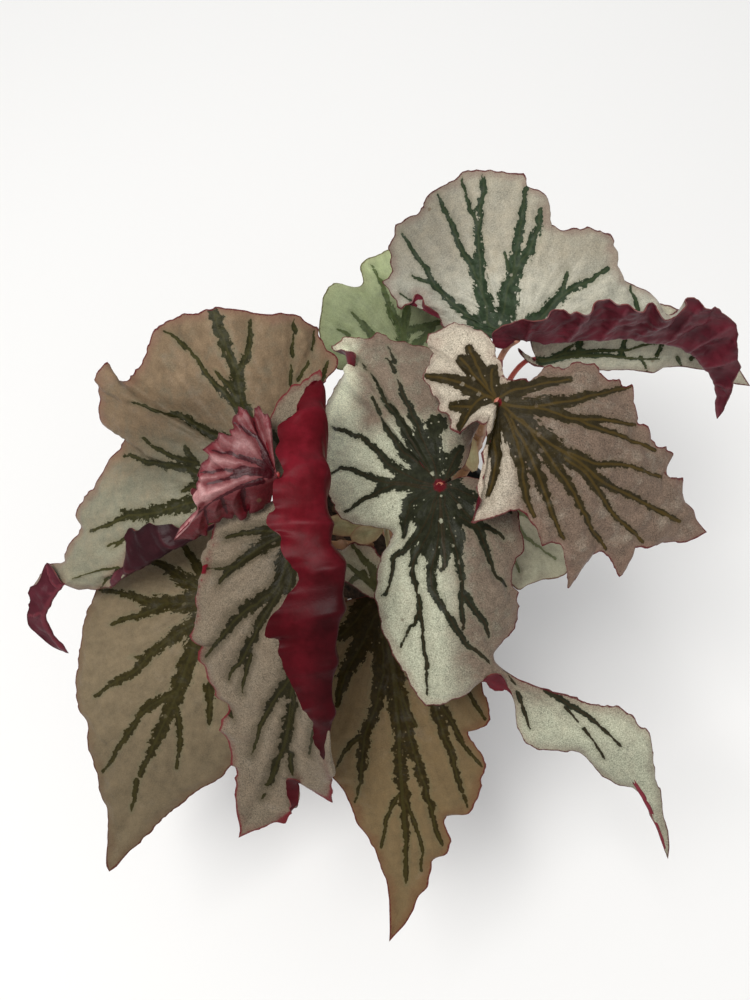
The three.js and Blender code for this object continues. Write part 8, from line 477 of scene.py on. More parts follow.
STALKS = {
 "petiole_front_left": ([[-45.03, -12.86, 159.17], [-45.97, -14.08, 159.24], [-54.87, -23.61, 170.64], [-63.23, -32.16, 180.93], [-71.62, -41.44, 191.64], [-78.22, -50.14, 200.47], [-81.67, -56.0, 205.37]], [1.95, 1.7, 1.62, 1.54, 1.46, 1.38, 1.3], [-82.1, -56.96, 206.91], [0.3, 0.14, 0.065], [0.4, 0.13, 0.085]),
 "petiole_left": ([[-51.12, -14.6, 191.58], [-52.56, -15.26, 191.85], [-55.64, -14.69, 208.25], [-55.52, -12.58, 223.65], [-55.33, -11.57, 238.72], [-56.82, -13.62, 249.31], [-59.46, -17.44, 253.6]], [2.07, 1.8, 1.72, 1.64, 1.56, 1.48, 1.4], [-59.99, -18.71, 254.92], [0.3, 0.14, 0.065], [0.4, 0.13, 0.085]),
 "petiole_rolled": ([[-49.38, -17.7, 215.87], [-48.81, -19.19, 216.29], [-43.2, -26.1, 231.27], [-38.38, -30.82, 245.33], [-35.08, -36.05, 259.21], [-34.88, -42.07, 269.27], [-36.88, -47.15, 273.67]], [1.95, 1.7, 1.62, 1.54, 1.46, 1.38, 1.3], [-37.82, -48.14, 274.92], [0.3, 0.14, 0.065], [0.4, 0.13, 0.085]),
 "petiole_young": ([[-51.0, -17.56, 240.45], [-51.86, -21.22, 248.0], [-55.49, -26.65, 260.0], [-57.03, -29.93, 271.0], [-56.29, -32.03, 279.0], [-54.14, -31.94, 283.2], [-50.81, -30.0, 284.81]], [1.38, 1.2, 1.14, 1.08, 1.02, 0.96, 0.9], [-50.87, -31.22, 285.93], [0.3, 0.06, 0.05], [0.3, 0.03, 0.03]),
 "petiole_front": ([[-4.9, -13.66, 149.72], [-5.12, -15.24, 150.08], [-7.22, -25.62, 163.1], [-9.06, -34.01, 176.12], [-10.62, -42.87, 189.74], [-11.43, -51.32, 200.62], [-11.48, -57.25, 206.29]], [1.95, 1.7, 1.62, 1.54, 1.46, 1.38, 1.3], [-11.58, -58.17, 207.91], [0.3, 0.14, 0.065], [0.4, 0.13, 0.085]),
 "petiole_small_front": ([[-8.63, -16.71, 195.89], [-8.76, -18.3, 196.33], [-7.72, -30.09, 205.28], [-6.62, -41.62, 210.43], [-6.57, -51.81, 215.51], [-8.46, -57.42, 220.58], [-11.19, -58.18, 224.48]], [1.49, 1.3, 1.24, 1.18, 1.12, 1.06, 1.0], [-12.06, -58.51, 225.92], [0.28, 0.26, 0.1], [0.32, 0.2, 0.08]),
 "petiole_centre": ([[-5.43, -15.01, 232.45], [-4.2, -15.24, 236.8], [-0.61, -16.04, 243.5], [4.53, -17.73, 250.87], [9.3, -20.44, 257.76], [11.95, -23.92, 263.24], [12.23, -26.86, 266.35]], [1.95, 1.7, 1.62, 1.54, 1.46, 1.38, 1.3], [12.0, -27.78, 267.91], [0.3, 0.14, 0.065], [0.4, 0.13, 0.085]),
 "petiole_right_low": ([[25.59, 12.68, 139.97], [26.5, 11.36, 140.46], [29.88, 6.82, 156.02], [31.41, 4.95, 170.84], [32.98, 2.88, 186.09], [35.19, -0.46, 198.14], [37.44, -4.05, 204.38]], [1.61, 1.4, 1.32, 1.24, 1.16, 1.08, 1.0], [37.77, -4.72, 205.9], [0.28, 0.24, 0.1], [0.34, 0.18, 0.09]),
 "petiole_back": ([[26.8, 20.74, 165.13], [25.95, 22.09, 165.7], [17.25, 34.59, 178.63], [9.56, 45.49, 189.29], [3.02, 55.44, 201.03], [-0.3, 62.0, 212.35], [-0.46, 64.38, 220.21]], [1.72, 1.5, 1.42, 1.34, 1.26, 1.18, 1.1], [-0.47, 63.86, 221.91], [0.26, 0.24, 0.1], [0.32, 0.26, 0.11]),
 "petiole_back_low": ([[35.54, 21.01, 206.03], [36.6, 22.2, 206.55], [41.41, 31.09, 213.37], [46.02, 39.85, 219.49], [51.03, 47.08, 225.88], [55.77, 50.05, 231.35], [59.0, 49.15, 234.62]], [1.84, 1.6, 1.52, 1.44, 1.36, 1.28, 1.2], [59.66, 48.1, 235.92], [0.3, 0.12, 0.06], [0.38, 0.045, 0.04]),
 "petiole_back_right": ([[35.43, 20.11, 224.34], [36.16, 21.52, 225.05], [37.84, 28.41, 233.86], [39.17, 34.67, 241.61], [41.08, 39.97, 249.55], [43.88, 42.8, 256.21], [46.57, 43.18, 260.1]], [2.07, 1.8, 1.72, 1.64, 1.56, 1.48, 1.4], [47.21, 43.24, 261.9], [0.28, 0.15, 0.07], [0.42, 0.19, 0.12]),
 "petiole_top_right": ([[34.0, 14.44, 247.45], [33.64, 13.4, 253.57], [32.31, 11.07, 263.52], [30.58, 7.43, 274.85], [29.64, 2.78, 285.49], [30.37, -2.22, 293.65], [32.09, -5.95, 297.97]], [1.95, 1.7, 1.64, 1.58, 1.52, 1.46, 1.4], [32.57, -7.15, 299.91], [0.3, 0.14, 0.065], [0.4, 0.13, 0.085]),
}



# ---------------------------------------------------------------- numbers
def hash3(i, j, k, seed):
    n = (i * 374761393 + j * 668265263 + k * 2147483647 + seed * 1274126177) & 0xFFFFFFFF
    n = ((n ^ (n >> 13)) * 1274126177) & 0xFFFFFFFF
    return ((n ^ (n >> 16)) & 0xFFFF) / 65535.0


def noise3(P, scale, seed=0):
    """smooth value noise, -1 to 1, at points P (n, 3) in mm, cell size scale in mm"""
    Q = np.asarray(P, float) / scale
    I = np.floor(Q).astype(np.int64)
    F = Q - I
    F = F * F * (3 - 2 * F)
    out = np.zeros(len(Q))
    for dx in (0, 1):
        for dy in (0, 1):
            for dz in (0, 1):
                w = (F[:, 0] if dx else 1 - F[:, 0]) * (F[:, 1] if dy else 1 - F[:, 1]) * (F[:, 2] if dz else 1 - F[:, 2])
                out += w * hash3(I[:, 0] + dx, I[:, 1] + dy, I[:, 2] + dz, seed)
    return out * 2 - 1


def catmull(P, x):
    P = np.asarray(P, float)
    n = len(P)
    x = np.atleast_1d(x).astype(float)
    i = np.clip(np.floor(x).astype(int), 0, n - 2)
    f = (x - i)[:, None]
    p0, p1, p2, p3 = P[np.maximum(i - 1, 0)], P[i], P[i + 1], P[np.minimum(i + 2, n - 1)]
    return .5 * ((2 * p1) + (p2 - p0) * f + (2 * p0 - 5 * p1 + 4 * p2 - p3) * f ** 2 + (3 * p1 - p0 - 3 * p2 + p3) * f ** 3)


def lengths(P):
    return np.concatenate([[0], np.cumsum(np.linalg.norm(np.diff(P, axis=0), axis=1))])


def along_length(P, c, s):
    return np.stack([np.interp(s, c, P[:, k]) for k in range(P.shape[1])], 1)


def smoothstep(x, a, b):
    t = np.clip((x - a) / (b - a), 0, 1)
    return t * t * (3 - 2 * t)


def segments_distance(P, lines):
    """for points P: (least distance minus half width, least distance to a line's centre, half width there)"""
    edge = np.full(len(P), 99.0)
    centre = np.full(len(P), 99.0)
    width = np.full(len(P), .5)
    for line in lines:
        L = np.asarray(line, float)
        lo, hi = L[:, :3].min(0) - 14, L[:, :3].max(0) + 14
        near = np.where(((P > lo) & (P < hi)).all(1))[0]
        if not len(near):
            continue
        Q = P[near]
        be, bc, bw = np.full(len(Q), 99.0), np.full(len(Q), 99.0), np.full(len(Q), .5)
        for a, b in zip(L[:-1], L[1:]):
            d = b[:3] - a[:3]
            t = np.clip((Q - a[:3]) @ d / max(float(d @ d), 1e-9), 0, 1)
            r = np.linalg.norm(Q - (a[:3] + t[:, None] * d), axis=1)
            w = a[3] + t * (b[3] - a[3])
            bw = np.where(r - w < be, w, bw)
            be = np.minimum(be, r - w)
            bc = np.minimum(bc, r)
        width[near] = np.where(be < edge[near], bw, width[near])
        edge[near] = np.minimum(edge[near], be)
        centre[near] = np.minimum(centre[near], bc)
    return edge, centre, width


# ---------------------------------------------------------------- leaf surfaces
def combed(J, F, sign):
    """the points F turned about J so that each comes after the one before it"""
    d = F[:, :2] - J[:2]
    r = np.hypot(d[:, 0], d[:, 1])
    least = .004 * np.arange(len(F))
    y = sign * np.unwrap(np.arctan2(d[:, 1], d[:, 0])) - least
    blocks = []
    for v, w in zip(y, np.maximum(r, .5) ** 2):
        blocks.append([v, w, 1])
        while len(blocks) > 1 and blocks[-2][0] > blocks[-1][0]:
            v2, w2, n2 = blocks.pop()
            v1, w1, n1 = blocks.pop()
            blocks.append([(v1 * w1 + v2 * w2) / (w1 + w2), w1 + w2, n1 + n2])
    fit = np.concatenate([np.full(n, v) for v, _, n in blocks])
    for _ in range(3):
        fit[1:-1] = .25 * fit[:-2] + .5 * fit[1:-1] + .25 * fit[2:]
    fit = sign * (fit + least)
    return np.stack([J[0] + r * np.cos(fit), J[1] + r * np.sin(fit), F[:, 2]], 1)


def softened(M, c, s, width):
    """the margin M at the lengths s, with bends shorter than width drawn smooth"""
    n = max(40, int(c[-1] / .7))
    g = np.linspace(0, c[-1], n)
    D = along_length(M, c, g)
    k = min(n - 2, int(3 * width / (g[1] - g[0])))
    w = np.exp(-.5 * (np.arange(-k, k + 1) * (g[1] - g[0]) / width) ** 2)
    D = np.concatenate([2 * D[0] - D[k:0:-1], D, 2 * D[-1] - D[-2:-k - 2:-1]])
    D = np.stack([np.convolve(D[:, j], w / w.sum(), "valid") for j in range(3)], 1)
    return np.stack([np.interp(s, g, D[:, j]) for j in range(3)], 1)


def half_grid(midrib, half, fan, along, across, ruffle, teeth, seed):
    M = np.asarray(half["margin"], float)
    c = lengths(M)
    i0 = half["turn"]
    spine = catmull(midrib, np.linspace(0, len(midrib) - 1, 200))
    sc = lengths(spine)
    pins = np.asarray([[i0, 0]] + half["pins"] + [[len(M) - 1, 1]], float)
    tail = np.interp(np.linspace(0, 1, along + 1), pins[:, 1], np.interp(pins[:, 0], np.arange(len(M)), c))
    s = np.concatenate([np.linspace(0, c[i0], fan + 1), tail[1:]])
    f = np.concatenate([np.zeros(fan + 1), np.linspace(0, 1, along + 1)[1:]])
    E = along_length(M, c, s)
    keep = E.copy()
    for _ in range(2):
        E[1:-1] = .25 * E[:-2] + .5 * E[1:-1] + .25 * E[2:]
    E = .45 * E + .55 * keep
    q = np.interp(s, c, np.arange(len(M)))
    S = along_length(spine, sc, f * sc[-1])
    # small teeth point outward from the margin
    out = E - S
    ln = np.linalg.norm(out, axis=1)
    unit = out / np.maximum(ln, 1e-6)[:, None]
    ends = np.clip(np.minimum(s, c[-1] - s) / 6, 0, 1)
    saw = noise3(np.stack([s, np.full_like(s, seed * 7.3), np.zeros_like(s)], 1), 1.9, seed + 5)
    saw = np.where(saw > 0, saw, saw * .4) + .9 * noise3(np.stack([s, np.full_like(s, seed * 2.9), np.ones_like(s)], 1), 3.7, seed + 15)
    E = E + unit * (teeth * saw * ends * smoothstep(ln, 2, 12))[:, None]
    t = np.linspace(0, 1, across + 1)
    B = softened(M, c, s, half["soft"])
    l = B - S
    ln = np.linalg.norm(l, axis=1)
    lu = l / np.maximum(ln, 1e-6)[:, None]
    up = np.array([0, 0, 1.0])
    upp = up - lu * (lu @ up)[:, None]
    G = S[:, None] + l[:, None] * t[None, :, None]
    G = G + (upp * (half["arch"] * ln)[:, None])[:, None] * np.sin(np.pi * t)[None, :, None]
    if half["rolls"] or half["comb"]:
        R = np.asarray(half["rolls"] or [[0, .94, 0, 0, 0]], float)
        off = R[:, 2:5].copy()
        at = np.interp(R[:, 0], np.arange(len(M)), c)
        fix = along_length(M, c, at) - softened(M, c, at, half["soft"])
        moved = (np.linalg.norm(off, axis=1) > 1e-6)[:, None]
        off = off + moved * fix * (R[:, 1] - R[:, 1] ** half["edge"])[:, None]
        o = np.stack([np.interp(q, R[:, 0], off[:, k], left=0, right=0) for k in range(3)], 1)
        tf = np.interp(q, R[:, 0], R[:, 1])
        if half["comb"]:
            k = fan + 1
            tf[:k] = np.where(np.linalg.norm(o[:k], axis=1) < .5, .94, tf[:k])
            straight = S[:k] + l[:k] * tf[:k, None]
            o[:k] = combed(S[0], straight + o[:k], half["comb"]) - straight
        tf = tf[:, None]
        x = np.where(t[None] < tf, t[None] / tf, (1 - t[None]) / (1 - tf))
        soft = np.clip((.86 - tf) / .14, 0, 1)
        G = G + o[:, None] * (x * (1 + .5 * soft - .5 * soft * x * x))[:, :, None]
    G = G + (E - B)[:, None] * (t ** half["edge"])[None, :, None]
    # the edge waves up and down a little
    du = np.gradient(G, axis=0)
    dv = np.gradient(G, axis=1)
    n = np.cross(dv, du) * half["sign"]
    n = n / np.maximum(np.linalg.norm(n, axis=2, keepdims=True), 1e-9)
    wave = noise3(np.stack([s, np.full_like(s, 3.1 * seed), np.zeros_like(s)], 1), 5.0, seed + 9) * .6 + \
        noise3(np.stack([s, np.full_like(s, 1.7 * seed), np.zeros_like(s)], 1), 11.0, seed + 2)
    lift = (ruffle * wave * ends * smoothstep(ln, 4, 24))[:, None] * (t[None] ** (half["edge"] - 1))
    return G + n * lift[..., None], f, s, ln


def leaf_mesh(name, data, style, seed):
    """One leaf: a fine upper sheet, a lower sheet and the thin rim between them, with the numbers its shader reads."""
    midrib = np.asarray(data["midrib"], float)
    halves = data["halves"]
    step = style.get("step", 1.15) * 1
    across = max(8, int(style.get("across", 58) / (1)))
    along = 8
    fans = []
    for h in halves:
        c = lengths(np.asarray(h["margin"], float))
        fans.append(int(np.clip(c[h["turn"]] / step, 10, 210)))
        along = max(along, int(np.clip((c[-1] - c[h["turn"]]) / step, 20, 210)))
    points, tt, ids, tags, widths, slen = [], [], [], [], [], []
    count = 0
    spine_id = {}
    for hi, (h, fan) in enumerate(zip(halves, fans)):
        G, f, s, ln = half_grid(midrib, h, fan, along, across, style.get("ruffle", .9), style.get("teeth", .62), seed + 31 * hi)
        id_ = np.zeros(G.shape[:2], int)
        t = np.linspace(0, 1, across + 1)
        for k in range(fan + along + 1):
            for j in range(across + 1):
                shared = None
                if j == 0:
                    shared = 0 if k <= fan else k - fan
                elif k == fan + along:
                    shared = along
                if shared is not None and shared in spine_id:
                    id_[k, j] = spine_id[shared]
                    continue
                id_[k, j] = count
                points.append(G[k, j])
                tt.append((hi, k / (fan + along), t[j], ln[k] * (1 - t[j]), f[k], s[k]))
                if shared is not None:
                    spine_id[shared] = count
                count += 1
        ids.append(id_)
    P = np.array(points)
    T = np.array(tt)
    faces = []
    for h, id_ in zip(halves, ids):
        a, b, c_, d = id_[:-1, :-1].ravel(), id_[1:, :-1].ravel(), id_[1:, 1:].ravel(), id_[:-1, 1:].ravel()
        q1, q2 = np.stack([a, d, c_], 1), np.stack([a, c_, b], 1)
        tri = np.concatenate([q1, q2])
        if h["sign"] < 0:
            tri = tri[:, [0, 2, 1]]
        ok = (tri[:, 0] != tri[:, 1]) & (tri[:, 1] != tri[:, 2]) & (tri[:, 0] != tri[:, 2])
        faces.append(tri[ok])
    F = np.concatenate(faces)
    N = vertex_normals(P, F)
    main = data["veins"]
    lines = main + data["auto"]
    spine_line = [list(p) + [w] for p, w in zip(catmull(midrib, np.linspace(0, len(midrib) - 1, 40)), np.linspace(style.get("rib_w", .9), .25, 40))]
    jd = np.linalg.norm(P - midrib[0], axis=1)
    _, vc, _ = segments_distance(P, lines + [spine_line])
    wk, w0 = style.get("wide", 1.7), style.get("wide0", .15)
    dark_edge, _, band = segments_distance(P, [[[x, y, z, w * wk + w0] for x, y, z, w in line] for line in lines])
    dark_edge = dark_edge - style.get("grow", .9) * np.exp(-(jd / style.get("grow_mm", 20.0)) ** 2)
    for x, y, z, r in data["zones"]:
        d = np.linalg.norm(P - np.array([x, y, z]), axis=1) - r
        dark_edge = np.minimum(dark_edge, d)
    for x, y, z, r in data["clear"]:
        dark_edge = np.maximum(dark_edge, r - np.linalg.norm(P - np.array([x, y, z]), axis=1))
    feather = np.clip(band / 1.6, .45, 1.7)
    way = (P - midrib[0]) / np.maximum(jd, 1e-6)[:, None]
    margin = np.concatenate([np.asarray(h["margin"], float) for h in halves])
    ed = T[:, 3].copy()
    for h in halves:
        M = np.asarray(h["margin"], float)
        cm = lengths(M)
        dense = along_length(M, cm, np.arange(0, cm[-1], 1.5))
        ed = np.minimum(ed, np.sqrt(((P[:, None, 0] - dense[None, ::2, 0]) ** 2 + (P[:, None, 1] - dense[None, ::2, 1]) ** 2 + (P[:, None, 2] - dense[None, ::2, 2]) ** 2).min(1)) + .3)
    # the blade puffs up between the veins and sinks along them
    grow = np.clip(T[:, 3] / 5, 0, 1) * .8 + .2
    puff = style.get("puff", 1.0) * (1 - np.exp(-(vc / 3.6) ** 2)) - .45 * style.get("puff", 1.0)
    puff = puff * grow * np.clip(np.linalg.norm(P - midrib[0], axis=1) / 12, .15, 1)
    puff = puff * np.array([style.get("half_puff", {}).get(int(h), 1.0) for h in T[:, 0]])
    puff = puff * (.1 + .9 * smoothstep(jd, 3, 20))
    streaky = way * 14 + np.stack([jd / 9.0, jd / 13.0, -jd / 11.0], 1)
    cross = way * 5 + np.stack([jd / 3.4, jd / 4.4, -jd / 3.8], 1)
    bumps = style.get("bump", .45) * (noise3(P, 6.5, seed) + .7 * noise3(P, 3.2, seed + 3) + .6 * noise3(streaky, 1.0, seed + 6) * smoothstep(jd, 5, 32) + style.get("cross", .7) * noise3(cross, 1.0, seed + 8) * smoothstep(jd, 10, 40))
    bumps = bumps * np.array([style.get("half_bump", {}).get(int(h), 1.0) for h in T[:, 0]])
    P = P + blurred(N, F, 14) * (puff + bumps * grow * (.15 + .85 * smoothstep(jd, 3, 20)))[:, None]
    P = unpinched(P, F)
    N = vertex_normals(P, F)
    # the warm ramps mix the silver toward taupe: partly the leaf's own taupe, partly painted shade on sides where the
    # silver catches no light
    taupe_and_painted_shade = ramps(P, style.get("taupe_and_painted_shade", 0.0))
    # painted shade: the shade ramps darken sides turned away from the light and parts lying in other leaves' shadow
    painted_shade = ramps(P, style.get("painted_shade", 0.0))
    # painted shade over one whole half of the blade, fading in from the midrib
    for hi, amount in style.get("half_painted_shade", {}).items():
        painted_shade = 1 - (1 - painted_shade) * (1 - amount * np.where(T[:, 0] == hi, smoothstep(T[:, 2], 0, .25), 0))
    # the half warm setting turns one half toward taupe or crimson: partly its own colour, partly painted shade
    for hi, amount in style.get("half_taupe_and_painted_shade", {}).items():
        taupe_and_painted_shade = 1 - (1 - taupe_and_painted_shade) * (1 - amount * np.where(T[:, 0] == hi, smoothstep(T[:, 2], 0, .2), 0))
    half_t = .26
    top = P + N * half_t
    # lower sheet: coarser unless its face shows
    skip = style.get("under_skip", 2)
    under_faces, used = [], []
    for h, id_ in zip(halves, ids):
        ks = sorted(set(list(range(0, id_.shape[0], skip)) + [id_.shape[0] - 1]))
        # keep the last fan row so that both halves meet along the midrib
        js = sorted(set(list(range(0, id_.shape[1], skip)) + [id_.shape[1] - 1]))
        fan = id_.shape[0] - 1 - along
        ks = sorted(set(list(range(0, fan, skip)) + list(range(fan, id_.shape[0], skip)) + [id_.shape[0] - 1]))
        sub = id_[np.ix_(ks, js)]
        a, b, c_, d = sub[:-1, :-1].ravel(), sub[1:, :-1].ravel(), sub[1:, 1:].ravel(), sub[:-1, 1:].ravel()
        tri = np.concatenate([np.stack([a, d, c_], 1), np.stack([a, c_, b], 1)])
        if h["sign"] < 0:
            tri = tri[:, [0, 2, 1]]
        ok = (tri[:, 0] != tri[:, 1]) & (tri[:, 1] != tri[:, 2]) & (tri[:, 0] != tri[:, 2])
        under_faces.append(tri[ok][:, [0, 2, 1]])
    U = np.concatenate(under_faces)
    keep = np.unique(U)
    remap = -np.ones(len(P), int)
    remap[keep] = np.arange(len(keep)) + len(P)
    ridge = style.get("under_ridge", .55) * np.exp(-(vc / .75) ** 2) * np.clip(T[:, 3] / 4, 0, 1)
    low = P[keep] - N[keep] * (half_t + ridge[keep])[:, None]
    U = remap[U]
    # rim
    edges = {}
    for a, b, c_ in F:
        for x, y in ((a, b), (b, c_), (c_, a)):
            edges[(x, y)] = 1
    border = [(x, y) for (x, y) in edges if (y, x) not in edges]
    ring = sorted({v for e in border for v in e})
    rt = {v: i for i, v in enumerate(ring)}
    n0 = len(P) + len(keep)
    rim_top = P[ring] + N[ring] * half_t
    rim_low = P[ring] - N[ring] * half_t
    rim = []
    for x, y in border:
        rim.append((n0 + rt[y], n0 + rt[x], n0 + len(ring) + rt[x]))
        rim.append((n0 + rt[y], n0 + len(ring) + rt[x], n0 + len(ring) + rt[y]))
    V = np.concatenate([top, low, rim_top, rim_low])
    allF = np.concatenate([F, U, np.array(rim, int).reshape(-1, 3)])
    mats = np.concatenate([np.zeros(len(F), int), np.ones(len(U), int), np.full(len(rim), 2)])
    src = np.concatenate([np.arange(len(P)), keep, np.array(ring, int), np.array(ring, int)])
    # painted shade on the underside: the rolled and turned-away parts are drawn darker
    low_painted_shade = ramps(P, style.get("under_painted_shade", 0.0))
    nums = {"vd": dark_edge[src], "vc": vc[src], "ed": ed[src], "taupe_and_painted_shade": taupe_and_painted_shade[src], "painted_shade": np.concatenate([painted_shade, low_painted_shade[keep], painted_shade[ring], painted_shade[ring]]), "jd": jd[src], "way": way[src] * 22.0, "fe": feather[src]}
    lay = {0: (0.0, 0.5), 1: (0.5, 0.5)}
    uv = np.stack([T[:, 0] * .5 + .01 + .48 * T[:, 2], .01 + .48 * T[:, 1]], 1)[src]
    uv[len(P):len(P) + len(keep), 1] += .5
    uv[n0:, 1] += .5
    return V, allF, mats, nums, uv


def ramps(P, spec):
    """spec is a number, or a list of products of straight ramps (direction, from, to) with a weight in front"""
    if isinstance(spec, (int, float)):
        return np.full(len(P), float(spec))
    total = np.zeros(len(P))
    for term in spec:
        w = np.full(len(P), float(term[0]))
        for (nx, ny, nz), lo, hi in term[1:]:
            x = P @ np.array([nx, ny, nz])
            w = w * (smoothstep(x, lo, hi) if hi > lo else 1 - smoothstep(x, hi, lo))
        total += w
    return np.clip(total, 0, 1)


def blurred(N, F, rounds):
    """normals averaged over their neighbours a few times"""
    a = np.concatenate([F[:, 0], F[:, 1], F[:, 2]])
    b = np.concatenate([F[:, 1], F[:, 2], F[:, 0]])
    for _ in range(rounds):
        N = N + np.stack([np.bincount(a, N[b, k], len(N)) + np.bincount(b, N[a, k], len(N)) for k in range(3)], 1)
        N = N / np.maximum(np.linalg.norm(N, axis=1, keepdims=True), 1e-9)
    return N


def unpinched(P, F):
    """where rows squeezed together have crossed, the points are drawn apart again"""
    n = np.cross(P[F[:, 1]] - P[F[:, 0]], P[F[:, 2]] - P[F[:, 0]])
    unit = n / np.maximum(np.linalg.norm(n, axis=1, keepdims=True), 1e-12)
    turned = ((unit * vertex_normals(P, F)[F].mean(1)).sum(1) < 0).astype(float)
    a = np.concatenate([F[:, 0], F[:, 1], F[:, 2]])
    b = np.concatenate([F[:, 1], F[:, 2], F[:, 0]])
    hot = np.zeros(len(P))
    for k in range(3):
        hot = np.maximum(hot, np.minimum(1, np.bincount(F[:, k], turned, len(P))))
    key = np.sort(np.stack([a, b], 1), 1)
    _, first, count = np.unique(key[:, 0] * len(P) + key[:, 1], return_index=True, return_counts=True)
    fixed = np.zeros(len(P), bool)
    fixed[key[first[count == 1]].ravel()] = True
    deg = np.maximum(np.bincount(a, minlength=len(P)) + np.bincount(b, minlength=len(P)), 1)
    for _ in range(6):
        hot = np.maximum(hot, (np.bincount(a, hot[b], len(P)) + np.bincount(b, hot[a], len(P))) / deg)
    hot = np.where(fixed, 0, np.clip(hot * 1.6, 0, 1))
    for _ in range(24):
        mean = np.stack([np.bincount(a, P[b, k], len(P)) + np.bincount(b, P[a, k], len(P)) for k in range(3)], 1) / deg[:, None]
        P = P + (.6 * hot)[:, None] * (mean - P)
    return P


def vertex_normals(P, F):
    """area-weighted normals; where slivers have turned one against its surroundings, the surroundings decide"""
    n = np.cross(P[F[:, 1]] - P[F[:, 0]], P[F[:, 2]] - P[F[:, 0]])
    N = np.zeros_like(P)
    for k in range(3):
        for ax in range(3):
            N[:, ax] += np.bincount(F[:, k], weights=n[:, ax], minlength=len(P))
    a = np.concatenate([F[:, 0], F[:, 1], F[:, 2]])
    b = np.concatenate([F[:, 1], F[:, 2], F[:, 0]])
    calm = N
    for _ in range(9):
        calm = calm + .5 * np.stack([np.bincount(a, calm[b, k], len(N)) + np.bincount(b, calm[a, k], len(N)) for k in range(3)], 1)
    N = N / np.maximum(np.linalg.norm(N, axis=1, keepdims=True), 1e-12)
    calm = calm / np.maximum(np.linalg.norm(calm, axis=1, keepdims=True), 1e-12)
    return np.where(((N * calm).sum(1) < .4)[:, None], calm, N)


def build_object(name, V, F, mats, nums, uv, materials):
    mesh = bpy.data.meshes.new(name)
    V = np.asarray(V, np.float64) * MM
    F = np.asarray(F, np.int32)
    mesh.vertices.add(len(V))
    mesh.vertices.foreach_set("co", V.ravel().astype(np.float32))
    mesh.loops.add(F.size)
    mesh.loops.foreach_set("vertex_index", F.ravel())
    mesh.polygons.add(len(F))
    mesh.polygons.foreach_set("loop_start", np.arange(0, F.size, F.shape[1], dtype=np.int32))
    mesh.polygons.foreach_set("loop_total", np.full(len(F), F.shape[1], np.int32))
    mesh.polygons.foreach_set("material_index", np.asarray(mats, np.int32))
    mesh.update(calc_edges=True)
    mesh.validate()
    mesh.polygons.foreach_set("use_smooth", np.ones(len(mesh.polygons), bool))
    for k, v in (nums or {}).items():
        v = np.asarray(v, np.float32)
        if v.ndim == 2:
            mesh.attributes.new(k, "FLOAT_VECTOR", "POINT").data.foreach_set("vector", v.ravel())
        else:
            mesh.attributes.new(k, "FLOAT", "POINT").data.foreach_set("value", v)
    if uv is not None:
        layer = mesh.uv_layers.new(name="OFBake")
        idx = np.zeros(len(mesh.loops), np.int32)
        mesh.loops.foreach_get("vertex_index", idx)
        layer.data.foreach_set("uv", np.asarray(uv, np.float32)[idx].ravel())
    for m in materials:
        mesh.materials.append(m)
    o = bpy.data.objects.new(name, mesh)
    bpy.context.scene.collection.objects.link(o)
    return o


